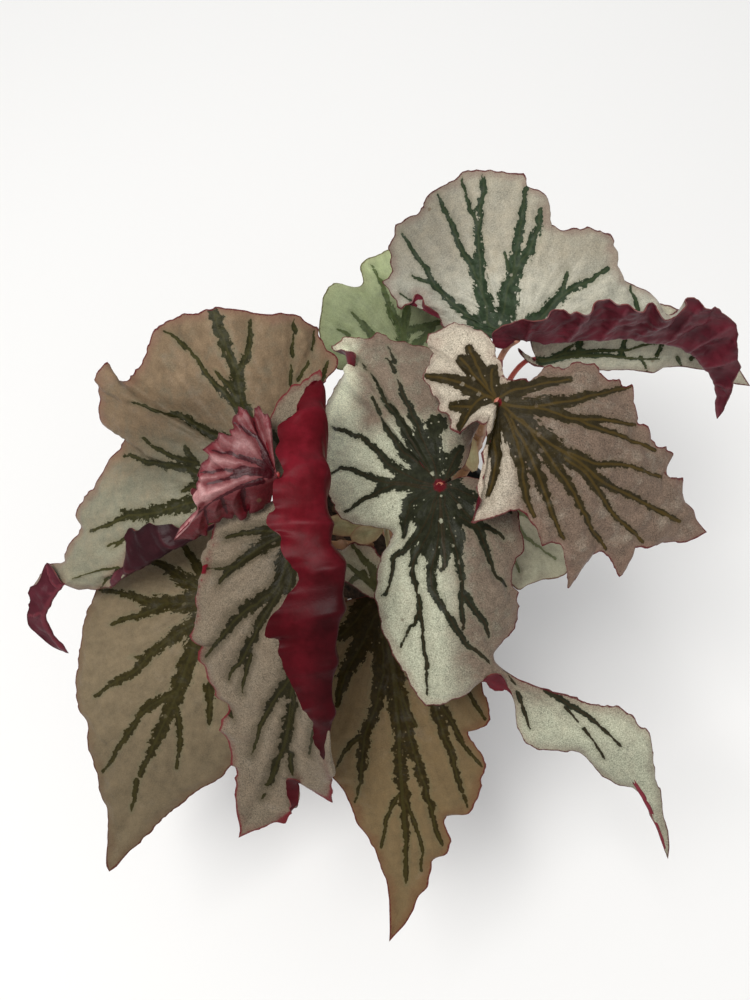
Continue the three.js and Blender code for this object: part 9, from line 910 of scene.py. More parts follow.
# ---------------------------------------------------------------- materials
class Nodes:
    def __init__(self, name):
        self.mat = bpy.data.materials.new(name)
        self.mat.use_nodes = True
        self.t = self.mat.node_tree
        self.t.nodes.clear()
        self.out = self.t.nodes.new("ShaderNodeOutputMaterial")
        self.bsdf = self.t.nodes.new("ShaderNodeBsdfPrincipled")
        self.t.links.new(self.bsdf.outputs[0], self.out.inputs[0])
        self.coord = None

    def link(self, a, b):
        self.t.links.new(a, b)

    def at(self, name):
        n = self.t.nodes.new("ShaderNodeAttribute")
        n.attribute_name = name
        return n.outputs["Fac"]

    def radial(self, size, along_mm, detail=2.0, rough=.5, seed=0.0):
        """noise drawn out along the veins that fan from the stalk"""
        a = self.t.nodes.new("ShaderNodeAttribute")
        a.attribute_name = "way"
        n = self.t.nodes.new("ShaderNodeTexNoise")
        n.noise_dimensions = "4D"
        n.inputs["Scale"].default_value = 1.0 / size
        n.inputs["Detail"].default_value = detail
        n.inputs["Roughness"].default_value = rough
        self.link(a.outputs["Vector"], n.inputs["Vector"])
        self.link(self.math("MULTIPLY_ADD", self.at("jd"), size / along_mm, seed), n.inputs["W"])
        return n.outputs["Fac"]

    def obj(self):
        if self.coord is None:
            self.coord = self.t.nodes.new("ShaderNodeTexCoord").outputs["Object"]
        return self.coord

    def put(self, sock, v):
        if hasattr(v, "is_linked") or hasattr(v, "links"):
            self.t.links.new(v, sock)
        else:
            sock.default_value = v

    def math(self, op, a, b=0.0, c=0.0, clamp=False):
        n = self.t.nodes.new("ShaderNodeMath")
        n.operation = op
        n.use_clamp = clamp
        for s, v in zip(n.inputs, (a, b, c)):
            self.put(s, v)
        return n.outputs[0]

    def noise(self, size_mm, detail=2.0, rough=.5, stretch=None, distortion=0.0):
        n = self.t.nodes.new("ShaderNodeTexNoise")
        n.inputs["Scale"].default_value = 1000.0 / size_mm
        n.inputs["Detail"].default_value = detail
        n.inputs["Roughness"].default_value = rough
        n.inputs["Distortion"].default_value = distortion
        self.link(self.obj(), n.inputs["Vector"])
        return n.outputs["Fac"]

    def voronoi(self, size_mm, feature="F1", randomness=1.0):
        n = self.t.nodes.new("ShaderNodeTexVoronoi")
        n.feature = feature
        n.inputs["Scale"].default_value = 1000.0 / size_mm
        n.inputs["Randomness"].default_value = randomness
        self.link(self.obj(), n.inputs["Vector"])
        return n

    def ramp(self, x, lo, hi, a=0.0, b=1.0, smooth=True):
        n = self.t.nodes.new("ShaderNodeMapRange")
        n.interpolation_type = "SMOOTHSTEP" if smooth else "LINEAR"
        self.put(n.inputs["Value"], x)
        n.inputs["From Min"].default_value = lo
        n.inputs["From Max"].default_value = hi
        n.inputs["To Min"].default_value = a
        n.inputs["To Max"].default_value = b
        return n.outputs[0]

    def mix(self, fac, a, b):
        n = self.t.nodes.new("ShaderNodeMix")
        n.data_type = "RGBA"
        self.put(n.inputs[0], fac)
        for s, v in ((n.inputs[6], a), (n.inputs[7], b)):
            if isinstance(v, tuple):
                s.default_value = (*v, 1.0)
            else:
                self.link(v, s)
        return n.outputs[2]

    def scale(self, colour, value):
        n = self.t.nodes.new("ShaderNodeVectorMath")
        n.operation = "SCALE"
        self.link(colour, n.inputs[0])
        self.put(n.inputs["Scale"], value)
        return n.outputs[0]

    def bump(self, height, strength, distance_mm, normal=None):
        n = self.t.nodes.new("ShaderNodeBump")
        n.inputs["Strength"].default_value = strength
        n.inputs["Distance"].default_value = distance_mm * MM
        self.link(height, n.inputs["Height"])
        if normal is not None:
            self.link(normal, n.inputs["Normal"])
        return n.outputs[0]

    def finish(self, colour=None, rough=.5, normal=None, spec=.5, **more):
        b = self.bsdf
        if colour is not None:
            if isinstance(colour, tuple):
                b.inputs["Base Color"].default_value = (*colour, 1)
            else:
                self.link(colour, b.inputs["Base Color"])
        self.put(b.inputs["Roughness"], rough)
        b.inputs["Specular IOR Level"].default_value = spec
        if normal is not None:
            self.link(normal, b.inputs["Normal"])
        for k, v in more.items():
            self.put(b.inputs[k.replace("_", " ")], v)
        return self.mat


def upper_material(name, st):
    """Silver blade with feathered dark veins, silver specks in the dark, a blushed edge and a thin red line round it."""
    m = Nodes(name)
    vd, vc, ed, jd, fe, taupe_and_painted_shade, painted_shade = (m.at(k) for k in ("vd", "vc", "ed", "jd", "fe", "taupe_and_painted_shade", "painted_shade"))
    fine = m.noise(st.get("feather_mm", 1.15), 3.0, .65)
    drawn = m.radial(1.0, 3.2, 2.0, .55)
    broad = m.noise(4.2, 1.0)
    wobble = m.math("ADD", m.math("MULTIPLY", m.math("SUBTRACT", fine, .5), st.get("feather", 2.3)), m.math("MULTIPLY", m.math("SUBTRACT", broad, .5), st.get("wander", 1.6)))
    wobble = m.math("ADD", wobble, m.math("MULTIPLY", m.math("SUBTRACT", drawn, .5), st.get("drawn", 3.4)))
    edge = m.math("ADD", vd, m.math("MULTIPLY", wobble, fe))
    vein = m.ramp(edge, st.get("soft", .13), -st.get("soft", .13))
    # pale specks inside the dark bands
    specks = m.voronoi(2.3)
    dot = m.ramp(specks.outputs["Distance"], .22, .13)
    pick = m.ramp(specks.outputs["Color"], .60, .64)
    band = m.math("MULTIPLY", m.ramp(vd, -.5, -1.0), m.ramp(vc, .8, 1.3))
    dot = m.math("MULTIPLY", m.math("MULTIPLY", dot, pick), m.math("MULTIPLY", band, st.get("specks", .9)))
    vein = m.math("SUBTRACT", vein, dot, clamp=True)
    flecks = m.voronoi(5.2)
    fleck = m.math("MULTIPLY", m.ramp(m.math("ADD", flecks.outputs["Distance"], m.math("MULTIPLY", m.math("SUBTRACT", fine, .5), .45)), .20, .15), m.ramp(flecks.outputs["Color"], .56, .60))
    fleck = m.math("MULTIPLY", m.math("MULTIPLY", fleck, m.ramp(vd, -1.2, -2.0)), st.get("flecks", .7))
    vein = m.math("SUBTRACT", vein, fleck, clamp=True)
    # silver
    cloud = m.noise(9.0, 3.0, .55)
    patch = m.noise(3.6, 3.0, .6)
    grain = m.noise(.5, 3.0, .7)
    streak = m.radial(1.3, 14.0, 3.0, .6, 7.0)
    tint = m.math("ADD", m.math("MULTIPLY", m.math("SUBTRACT", cloud, .5), st.get("cloud", 1.0)), m.math("MULTIPLY", m.math("SUBTRACT", patch, .5), .6))
    # silver turned toward taupe by the warm ramp: the leaf's own colour and painted shade of the unlit sides
    silver = m.mix(m.math("ADD", taupe_and_painted_shade, tint, clamp=True), st["silver"], st["taupe"])
    # the tone mixes random mottling with painted sheen and shade: fine grain stands for the silver's sparkle, cloud,
    # patch and streak for light and dark on its puckers
    mottle_and_painted_sheen = m.math("ADD", m.math("MULTIPLY", m.math("SUBTRACT", grain, .5), st.get("grain_and_painted_sparkle", 1.5)), m.math("MULTIPLY", m.math("SUBTRACT", patch, .5), .65))
    mottle_and_painted_sheen = m.math("ADD", mottle_and_painted_sheen, m.math("MULTIPLY", m.math("SUBTRACT", streak, .5), .60))
    mottle_and_painted_sheen = m.math("ADD", mottle_and_painted_sheen, m.math("MULTIPLY", m.math("SUBTRACT", cloud, .5), .5))
    mottle_and_painted_sheen = m.math("ADD", mottle_and_painted_sheen, 1.0)
    silver = m.scale(silver, mottle_and_painted_sheen)
    # beside the veins the silver turns toward a darker tint: partly the leaf's own colour at the vein borders, partly
    # painted shade in the hollows between the puffed panels
    near = m.math("MULTIPLY", m.ramp(edge, st.get("near_tint_and_shade_mm", 1.7), .05), st.get("near_tint_and_shade_k", .40))
    silver = m.mix(near, silver, st.get("near", tuple(.5 * a + .5 * b for a, b in zip(st["taupe"], (.10, .13, .07)))))
    # blush along the edge
    reach = m.math("ADD", ed, m.math("MULTIPLY", m.math("SUBTRACT", cloud, .5), 9.0))
    blush = m.math("MULTIPLY", m.ramp(reach, st.get("blush_mm", 6.0), .4), st.get("blush", .7))
    silver = m.mix(blush, silver, st.get("blush_colour", (.20, .10, .075)))
    # a few small tan marks
    marks = m.voronoi(13.0)
    mark = m.math("MULTIPLY", m.ramp(marks.outputs["Distance"], .10, .05), m.ramp(marks.outputs["Color"], .70, .74))
    silver = m.mix(m.math("MULTIPLY", mark, .55), silver, (.17, .11, .06))
    # green
    dark = m.mix(m.ramp(m.noise(2.4, 3.0, .6), .35, .7), st["dark"], tuple(1.7 * c for c in st["dark"]))
    dark = m.mix(m.math("MULTIPLY", m.ramp(vc, st.get("rib_mm", .75), .15), st.get("rib_show", .6)), dark, st["rib"])
    colour = m.mix(vein, silver, dark)
    spot = st.get("spot")
    if spot:
        around = m.math("ADD", jd, m.math("MULTIPLY", m.math("SUBTRACT", fine, .5), 2.2))
        colour = m.mix(m.ramp(around, spot[1], spot[1] * .55), colour, spot[0])
    line = m.ramp(m.math("ADD", ed, m.math("MULTIPLY", m.math("SUBTRACT", fine, .5), 1.3)), st.get("line_mm", .95), .35)
    colour = m.mix(m.math("MULTIPLY", line, st.get("line", .92)), colour, st.get("line_colour", (.085, .008, .012)))
    # painted shade: the whole colour is darkened by the shade ramp
    colour = m.scale(colour, m.math("SUBTRACT", 1.0, painted_shade))
    h = m.math("ADD", m.math("MULTIPLY", grain, .45), m.math("MULTIPLY", m.noise(1.5, 3.0, .6), .9))
    h = m.math("ADD", h, m.math("MULTIPLY", patch, 1.1))
    h = m.math("ADD", h, m.math("MULTIPLY", streak, .9))
    normal = m.bump(h, st.get("grain", .6), .42)
    rough = m.math("ADD", m.math("MULTIPLY", vein, -.04), m.math("MULTIPLY_ADD", grain, .12, st.get("rough", .40) - .06))
    return m.finish(colour, rough, normal, st.get("spec", .10))


def under_material(name, st):
    """Wine red underside with raised veins, satin where it bulges."""
    m = Nodes(name)
    vc, ed, painted_shade = m.at("vc"), m.at("ed"), m.at("painted_shade")
    cloud = m.noise(11.0, 3.0, .55)
    patch = m.noise(3.0, 3.0, .6)
    grain = m.noise(.7, 2.0, .6)
    streak = m.radial(1.6, 16.0, 3.0, .6, 3.0)
    drawn = st.get("under_drawn", .45)
    mottle = m.math("ADD", m.math("MULTIPLY", cloud, 1.0 - drawn), m.math("MULTIPLY", streak, drawn))
    colour = m.mix(m.ramp(mottle, .36, .62), st["under2"], st["under"])
    colour = m.mix(m.math("MULTIPLY", m.ramp(vc, 1.1, .15), st.get("under_rib_show", .38)), colour, st["under_rib"])
    colour = m.mix(m.math("MULTIPLY", m.ramp(ed, 1.6, .2), .45), colour, tuple(.45 * c for c in st["under"]))
    colour = m.scale(colour, m.math("ADD", .62, m.math("ADD", m.math("MULTIPLY", grain, .30), m.math("MULTIPLY", patch, .46))))
    # painted shade on the underside, from its own shade ramp
    colour = m.scale(colour, m.math("SUBTRACT", 1.0, painted_shade))
    h = m.math("ADD", m.math("MULTIPLY", grain, .35), m.math("ADD", m.math("MULTIPLY", patch, .9), m.math("MULTIPLY", streak, st.get("under_streak", 1.0))))
    normal = m.bump(h, st.get("under_bump", .5), .40)
    return m.finish(colour, m.math("MULTIPLY_ADD", patch, .14, st.get("under_rough", .40) - .07), normal, st.get("under_spec", .12))


def rim_material():
    m = Nodes("leaf_rim")
    c = m.mix(m.ramp(m.noise(3.0), .35, .65), (.080, .008, .010), (.14, .026, .020))
    return m.finish(c, .5)


# ---------------------------------------------------------------- how each leaf looks
BASE = {"silver": (.43, .42, .33), "taupe": (.26, .19, .13), "dark": (.030, .036, .016), "rib": (.075, .080, .025),
        "under": (.13, .010, .018), "under2": (.060, .005, .010), "under_rib": (.22, .045, .058)}
# In these styles the shade, half shade and under shade ramps are painted shade; the warm and half warm ramps mix the
# leaf's own taupe or crimson with painted shade
STYLE = {
    "blade_back_right": dict(BASE, silver=(0.43, 0.42, 0.345), taupe=(0.32, 0.285, 0.215), dark=(0.020, 0.032, 0.016), rib=(0.05, 0.065, 0.028), taupe_and_painted_shade=[(0.7, ((0, 0.8, 0.6), 205, 232)), (0.05,)], painted_shade=[(.28, ((-1, 0, 0), -34, -12)), (.06, ((1, 0, 0), 52, 70)), (.10, ((0, 0.8, 0.6), 215, 238))], blush=.5, blush_mm=5.5, blush_colour=(.22, .125, .10), wide=1.7, grow=1.3, under=(.118, .014, .024), under2=(.062, .007, .013), under_rib=(.19, .06, .075), under_skip=1, across=60, step=1.25, bump=.75, puff=1.6, grain_and_painted_sparkle=1.7, teeth=.8),
    "blade_back_low": dict(BASE, silver=(.52, .52, .40), taupe=(.40, .36, .26), dark=(0.022, 0.034, 0.015), taupe_and_painted_shade=.25, blush=.35, across=40, step=1.5, wide=1.4, grow=.7),
    "blade_top_right": dict(BASE, silver=(0.48, 0.425, 0.335), taupe=(0.14, 0.099, 0.073), dark=(0.019, 0.014, 0.005), rib=(0.060, 0.038, 0.008), taupe_and_painted_shade=[(1.0, ((1, 0, 0), 30, 46)), (.14,)], blush=.30, blush_mm=4.5, blush_colour=(.20, .105, .08), specks=1.0, flecks=.45, rib_show=.85, rib_mm=.8, wide=1.75, grow=2.6, grow_mm=28.0, spot=((0.12, 0.006, 0.01), 1.5), bump=.6, near=(.10, .075, .045), puff=1.5, grain_and_painted_sparkle=2.9, teeth=1.0),
    # blade_centre: its silver is made brighter and the painted shade ramp dims all but the left lobe, painting light
    # onto the left lobe where the flap of blade_rolled throws shadow
    "blade_centre": dict(BASE, silver=(0.67, 0.685, 0.51), taupe=(0.27, 0.206, 0.152), dark=(0.022, 0.024, 0.012), rib=(0.050, 0.030, 0.012), taupe_and_painted_shade=[(.95, ((1, 0, 0), 8, 26), ((0, -1, 0), 118, 92)), (.95, ((1, 0, 0), -27, -15), ((0, 1, 0), -8, 10)), (.10,)], painted_shade=[(.40, ((1, 0, 0), -34, -14)), (.07, ((1, 0, 0), 10, 24), ((0, -1, 0), 118, 92)), (.13, ((0, -1, 0), 112, 130))], blush=.35, blush_mm=5.0, blush_colour=(.30, .16, .12), line_colour=(.13, .012, .018), near=(.26, .26, .17), specks=1.0, flecks=.9, wide=1.35, grow=2.2, grow_mm=22.0, spot=((.15, .006, .012), 3.2), line_mm=0.75, rib_mm=.5, puff=1.3, grain_and_painted_sparkle=2.7, teeth=.9),
    "blade_left": dict(BASE, silver=(0.222, 0.214, 0.153), taupe=(0.178, 0.125, 0.076), dark=(0.020, 0.019, 0.006), rib=(0.05, 0.045, 0.012), taupe_and_painted_shade=[(.9, ((0, 1, 0), -22, 8)), (.1,)], painted_shade=[(.35, ((1, 0, 0), -130, -105), ((-1, 0, 0), 60, 85), ((0, 1, 0), -28, -12), ((0, -1, 0), -22, -5))], blush=.45, blush_colour=(.20, .09, .065), wide=1.8, grow=1.9, under=(.082, .014, .022), under2=(.060, .009, .015), under_painted_shade=[(.70, ((1, 0, 0), -130, -114))], under_skip=1, across=56, step=1.3, bump=.6, puff=1.5, grain_and_painted_sparkle=1.2),
    "blade_rolled": dict(BASE, silver=(0.185, 0.150, 0.107), taupe=(0.115, 0.083, 0.056), dark=(0.012, 0.010, 0.003), rib=(0.032, 0.028, 0.007), taupe_and_painted_shade=.3, painted_shade=[(.12, ((0, -1, 0), 112, 135))], blush=.35, blush_mm=4.0, blush_colour=(.12, .035, .03), wide=1.9, grow=1.7, near=(.055, .045, .025), near_tint_and_shade_mm=3.6, near_tint_and_shade_k=.6, under=(.125, .005, .011), under2=(.078, .002, .005), under_rib=(.14, .009, .017), under_spec=.07, ruffle=.7, line_mm=1.4, line_colour=(.12, .008, .014), under_painted_shade=[(.45, ((0, -1, 0), 60, 84)), (.30, ((1, 0, 0), -42, -31))], under_streak=.05, under_bump=.22, under_drawn=.1, under_ridge=.3, under_skip=1, across=56, step=1.3, bump=.32, cross=.2, puff=2.1, half_puff={1: .75}, half_bump={1: .22}, grain_and_painted_sparkle=2.7, teeth=.9),
    "blade_young": dict(BASE, silver=(0.52, 0.275, 0.27), taupe=(0.12, 0.014, 0.018), dark=(0.030, 0.002, 0.004), rib=(0.05, 0.003, 0.006), taupe_and_painted_shade=[(.6, ((0, 1, 0), -40, -12)), (.18,)], painted_shade=[(.12, ((0, 1, 0), -38, -14)), (.42, ((0, -1, 0), 44, 62))], cloud=1.1, blush=.8, blush_mm=2.2, blush_colour=(.15, .008, .016), under=(.12, .004, .009), under2=(.05, .001, .003), puff=2.4, teeth=1.9, across=44, step=.9, rough=.34, spec=.25, specks=0.0, flecks=0.0, wide=0.9, near=(.11, .008, .012), near_tint_and_shade_mm=3.4, near_tint_and_shade_k=.85, bump=.28, half_painted_shade={0: 0.30}, half_taupe_and_painted_shade={0: 1.0}, grain_and_painted_sparkle=1.1),
    # blade_front_left and blade_front sit low under the other leaves: their dark silver and taupe are partly painted
    # shade from the leaves above
    "blade_front_left": dict(BASE, silver=(0.185, 0.144, 0.088), taupe=(0.145, 0.108, 0.064), dark=(0.022, 0.017, 0.004), rib=(0.042, 0.036, 0.009), taupe_and_painted_shade=.35, painted_shade=[(.22, ((0, -1, 0), 85, 130))], blush=.35, blush_colour=(.13, .065, .035), line_colour=(.09, .02, .014), across=52, step=1.4, wide=1.9, grow=1.6, grow_mm=28.0, flecks=.3, puff=1.3, grain_and_painted_sparkle=.9),
    "blade_front": dict(BASE, silver=(0.168, 0.119, 0.060), taupe=(0.112, 0.073, 0.033), dark=(0.018, 0.012, 0.002), rib=(0.040, 0.033, 0.007), taupe_and_painted_shade=.4, blush=.4, blush_colour=(.12, .04, .018), line_colour=(.09, .015, .012), across=52, step=1.4, wide=1.75, grow=2.2, grow_mm=34.0, flecks=.2, puff=1.3, grain_and_painted_sparkle=.85),
    "blade_back": dict(BASE, painted_shade=[(.36, ((0, -1, 0), -98, -82))], silver=(0.34, 0.395, 0.215), taupe=(0.25, 0.28, 0.14), dark=(0.055, 0.078, 0.026), rib=(0.085, 0.11, 0.03), taupe_and_painted_shade=.2, blush=.15, line_colour=(.10, .085, .03), across=36, step=1.5, specks=0.0, flecks=0.0, wide=1.4, under=(.17, .13, .08), under2=(.13, .08, .05), under_rib=(.22, .20, .10), grain_and_painted_sparkle=.9),
    "blade_right_low": dict(BASE, silver=(0.41, 0.40, 0.285), taupe=(0.35, 0.33, 0.22), dark=(.095, .105, .055), rib=(.13, .14, .065), taupe_and_painted_shade=.2, blush=.15, line_colour=(.12, .05, .03), across=32, step=1.5, specks=0.0, flecks=0.0, wide=1.4, grain_and_painted_sparkle=.9),
    "blade_small_front": dict(BASE, silver=(0.36, 0.345, 0.24), taupe=(.25, .21, .12), dark=(.045, .045, .015), rib=(.07, .07, .022), taupe_and_painted_shade=.3, blush=.3, across=28, step=1.2, specks=0.0, flecks=0.0, wide=1.6),
}
PAPER = dict(silver=(.55, .58, .30), taupe=(.50, .42, .22), dark=(.40, .42, .20), rib=(.45, .46, .24), taupe_and_painted_shade=.3, blush=.5, blush_colour=(.42, .22, .10),
             line_colour=(.35, .15, .08), line=.5, specks=0.0, flecks=0.0, grain_and_painted_sparkle=.6, teeth=.1, ruffle=.3, puff=.3, bump=.12, across=14, step=1.0, under=(.50, .50, .26), under2=(.42, .36, .2), under_rib=(.5, .5, .3), spec=.3, rough=.55)
for n in ("stipule_left", "stipule_centre", "stipule_right"):
    STYLE[n] = dict(PAPER)


# ---------------------------------------------------------------- stalks, canes
def frames_along(P):
    T = np.gradient(P, axis=0)
    T /= np.linalg.norm(T, axis=1)[:, None]
    ref = np.array([0, 0, 1.0]) if abs(T[0, 2]) < .9 else np.array([1.0, 0, 0])
    A = []
    a = ref - T[0] * (ref @ T[0])
    for t in T:
        a = a - t * (a @ t)
        a = a / np.linalg.norm(a)
        A.append(a)
    A = np.array(A)
    return T, A, np.cross(T, A)


def tube(P, R, sides=18, squash=1.0, cap=True):
    """closed tube through points P (mm) with radii R"""
    T, A, B = frames_along(P)
    ang = np.linspace(0, 2 * np.pi, sides, endpoint=False)
    ring = P[:, None] + R[:, None, None] * (np.cos(ang)[None, :, None] * A[:, None] + squash * np.sin(ang)[None, :, None] * B[:, None])
    V = ring.reshape(-1, 3)
    n = len(P)
    idx = np.arange(n * sides).reshape(n, sides)
    a, b = idx[:-1], idx[1:]
    F = []
    an, bn = np.roll(a, -1, 1), np.roll(b, -1, 1)
    F = np.concatenate([np.stack([a, an, bn], -1).reshape(-1, 3), np.stack([a, bn, b], -1).reshape(-1, 3)])
    if cap:
        V = np.concatenate([V, P[:1], P[-1:]])
        c0, c1 = n * sides, n * sides + 1
        r0, r1 = idx[0], idx[-1]
        F = np.concatenate([F, np.stack([np.full(sides, c0), np.roll(r0, -1), r0], 1), np.stack([np.full(sides, c1), r1, np.roll(r1, -1)], 1)])
    u = np.repeat(np.linspace(0, 1, n), sides)
    u = np.concatenate([u, [0, 1]]) if cap else u
    return V, F, u


def stalk_material(name, low, high, rough=.42, node=None):
    m = Nodes(name)
    u = m.at("u")
    streak = m.noise(2.2, 3.0, .6)
    c = m.mix(m.math("ADD", u, m.math("MULTIPLY", m.math("SUBTRACT", streak, .5), .7), clamp=True), low, high)
    flecks = m.voronoi(3.2)
    dot = m.math("MULTIPLY", m.ramp(flecks.outputs["Distance"], .20, .10), m.ramp(flecks.outputs["Color"], .5, .55))
    c = m.mix(m.math("MULTIPLY", dot, .55), c, (.62, .52, .38))
    if node:
        c = m.mix(m.math("MULTIPLY", m.at("node"), .7), c, node)
    normal = m.bump(m.noise(.9, 2.0), .35, .2)
    return m.finish(c, rough, normal, .4)


def add(o, node):
    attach(o, "root")
    if node:
        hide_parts(node)
    return o


total = 0
rim = rim_material()
for seed, (name, data) in enumerate(LEAVES.items()):
    st = STYLE[name]
    V, F, mats, nums, uv = leaf_mesh(name, data, st, seed * 13 + 5)
    o = build_object("look_" + name, V, F, mats, nums, uv, [upper_material("upper_" + name, st), under_material("under_" + name, st), rim])
    add(o, name)
    total += len(F)
    print(name, len(F))


# ---------------------------------------------------------------- canes and stalks
def dense(path, radii, step):
    P = np.asarray(path, float)
    n = max(8, int(lengths(P)[-1] / step))
    x = np.linspace(0, len(P) - 1, n)
    c = lengths(P)
    line = catmull(P, x)
    cl = lengths(line)
    # even spacing
    s = np.linspace(0, cl[-1], n)
    even = along_length(line, cl, s)
    r = np.interp(s / cl[-1], c / c[-1], radii)
    return even, r, s


cane_mat = stalk_material("cane_skin", (.20, .10, .045), (.34, .17, .075), .45, node=(.10, .045, .02))
for name, (path, radii, nodes_z) in CANES.items():
    P, R, s = dense(path, radii, .8)
    z = P[:, 2]
    swell = np.zeros(len(P))
    scar = np.zeros(len(P))
    for nz in nodes_z:
        swell += .20 * np.exp(-((z - nz) / 3.2) ** 2) + .16 * np.exp(-((z - nz - 1.0) / .7) ** 2)
        scar += np.exp(-((z - nz) / 1.1) ** 2)
    R = R * (1 + swell)
    V, F, u = tube(P, R, 24)
    V = V + vertex_normals(V, F) * (.07 * noise3(V, 2.2, 3) + .1 * noise3(V, 6.0, 4))[:, None]
    sc = np.concatenate([np.repeat(np.clip(scar, 0, 1), 24), [0, 0]])
    o = build_object("look_" + name, V, F, np.zeros(len(F)), {"u": u, "node": sc}, None, [cane_mat])
    add(o, name)
    total += len(F)

for name, (path, radii, joint, low, high) in STALKS.items():
    P = np.asarray(path, float)
    d = (P[0] - P[1]) / np.linalg.norm(P[0] - P[1])
    P = np.concatenate([[P[0] + d * 1.7], P, [joint]])
    r = np.concatenate([[radii[0] * 1.08], radii, [radii[-1] * 1.12]])
    Q, R, s = dense(P, r, .7)
    grow = 1 + .22 * np.exp(-(s / 3.0) ** 2) + .18 * np.exp(-((s[-1] - s) / 2.0) ** 2)
    V, F, u = tube(Q, R * grow, 18, squash=.92)
    V = V + vertex_normals(V, F) * (.05 * noise3(V, 1.8, 8))[:, None]
    o = build_object("look_" + name, V, F, np.zeros(len(F)), {"u": u, "node": u * 0}, None, [stalk_material("skin_" + name, tuple(low), tuple(high))])
    add(o, name)
    total += len(F)


# ---------------------------------------------------------------- pot and soil
def lathe(profile, n, wobble=None):
    prof = np.asarray(profile, float)
    ang = np.linspace(0, 2 * np.pi, n, endpoint=False)
    inner = prof[1:-1]
    V = np.stack([inner[:, None, 0] * np.cos(ang), inner[:, None, 0] * np.sin(ang), np.repeat(inner[:, 1:2], n, 1)], -1).reshape(-1, 3)
    V = np.concatenate([V, [[0, 0, prof[0, 1]], [0, 0, prof[-1, 1]]]])
    m = len(inner)
    idx = np.arange(m * n).reshape(m, n)
    a, b = idx[:-1], idx[1:]
    an, bn = np.roll(a, -1, 1), np.roll(b, -1, 1)
    F = np.concatenate([np.stack([a, an, bn], -1).reshape(-1, 3), np.stack([a, bn, b], -1).reshape(-1, 3)])
    c0, c1 = m * n, m * n + 1
    F = np.concatenate([F, np.stack([np.full(n, c0), np.roll(idx[0], -1), idx[0]], 1), np.stack([np.full(n, c1), idx[-1], np.roll(idx[-1], -1)], 1)])
    return V, F


def rounded(profile, r, n=4):
    """the profile with its corners rounded by about r"""
    P = np.asarray(profile, float)
    out = [P[0]]
    for a, b, c in zip(P[:-2], P[1:-1], P[2:]):
        u, v = a - b, c - b
        lu, lv = np.linalg.norm(u), np.linalg.norm(v)
        d = min(r, lu * .45, lv * .45)
        p, q = b + u / lu * d, b + v / lv * d
        for t in np.linspace(0, 1, n + 1):
            out.append((1 - t) ** 2 * p + 2 * t * (1 - t) * b + t * t * q)
    out.append(P[-1])
    return np.array(out)


def wall_r(z):
    return 46 + (62 - 46) * z / 103.0


pot_profile = [[0, 1.0], [30, 1.0], [40.5, 1.0], [41.5, 0], [44.8, 0], [46, 1.2], [wall_r(28), 28], [wall_r(60), 60], [wall_r(102.6), 102.6], [63.6, 103.6], [63.9, 106], [64.1, 114.4],
               [65, 115.4], [65, 117.4], [64.4, 118], [62.4, 118], [61.9, 117.4], [61.9, 105.4], [wall_r(103) - 1.6, 103], [wall_r(60) - 1.6, 60], [44.4, 2.4], [0, 2.4]]
V, F = lathe(rounded(pot_profile, .8), 144)
pot = build_object("look_pot", V, F, np.zeros(len(F)), None, None, [])
for k in range(6):
    a = (k + .5) / 6 * 2 * math.pi
    bpy.ops.mesh.primitive_cylinder_add(vertices=32, radius=5 * MM, depth=12 * MM, location=(34 * math.cos(a) * MM, 34 * math.sin(a) * MM, 1 * MM))
    cutter = bpy.context.object
    mod = pot.modifiers.new("hole%d" % k, "BOOLEAN")
    mod.operation, mod.object, mod.solver = "DIFFERENCE", cutter, "EXACT"
    bpy.context.view_layer.update()
    cut = bpy.data.meshes.new_from_object(pot.evaluated_get(bpy.context.evaluated_depsgraph_get()))
    pot.modifiers.clear()
    pot.data = cut
    bpy.data.objects.remove(cutter)
pot.data.polygons.foreach_set("use_smooth", np.ones(len(pot.data.polygons), bool))
pot.data.set_sharp_from_angle(angle=math.radians(38))
m = Nodes("black_plastic")
dust = m.noise(22.0, 4.0, .6)
colour = m.mix(m.ramp(dust, .35, .75), (.012, .0125, .013), (.024, .024, .023))
scratch = m.noise(1.3, 3.0, .6)
colour = m.mix(m.math("MULTIPLY", m.ramp(scratch, .62, .8), .35), colour, (.055, .052, .048))
pot.data.materials.clear()
pot.data.materials.append(m.finish(colour, m.ramp(dust, .3, .8, .36, .52), m.bump(scratch, .18, .12), .45))
add(pot, "pot")
total += len(pot.data.polygons)

# potting mix: lumpy top with crumbs, bark and perlite on it
rings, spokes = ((60, 150))
rr = np.linspace(0, 1, rings) ** .8 * 61.2
ang = np.linspace(0, 2 * np.pi, spokes, endpoint=False)
X = rr[:, None] * np.cos(ang)
Y = rr[:, None] * np.sin(ang)
base_z = np.interp(rr, [0, 20, 40, 58, 61.5], [108.0, 107.4, 106.2, 106.6, 105.6])[:, None] + 0 * X
S = np.stack([X, Y, base_z], -1).reshape(-1, 3)
S[:, 2] += 1.3 * noise3(S, 7.5, 21) + .8 * noise3(S, 3.1, 22) + .5 * noise3(S, 1.5, 23) - .8
floor_z = 95.0
S2 = S.copy()
idx = np.arange(rings * spokes).reshape(rings, spokes)
a, b = idx[:-1], idx[1:]
an, bn = np.roll(a, -1, 1), np.roll(b, -1, 1)
F = np.concatenate([np.stack([a, b, bn], -1).reshape(-1, 3), np.stack([a, bn, an], -1).reshape(-1, 3)])
skirt = np.stack([61.0 * np.cos(ang) * .985, 61.0 * np.sin(ang) * .985, np.full(spokes, floor_z)], 1)
base = np.stack([44.0 * np.cos(ang) * .985, 44.0 * np.sin(ang) * .985, np.full(spokes, 2.8)], 1)
V = np.concatenate([S, skirt, base, [[0, 0, 2.8]]])
o1, o2, o3 = rings * spokes, rings * spokes + spokes, rings * spokes + 2 * spokes
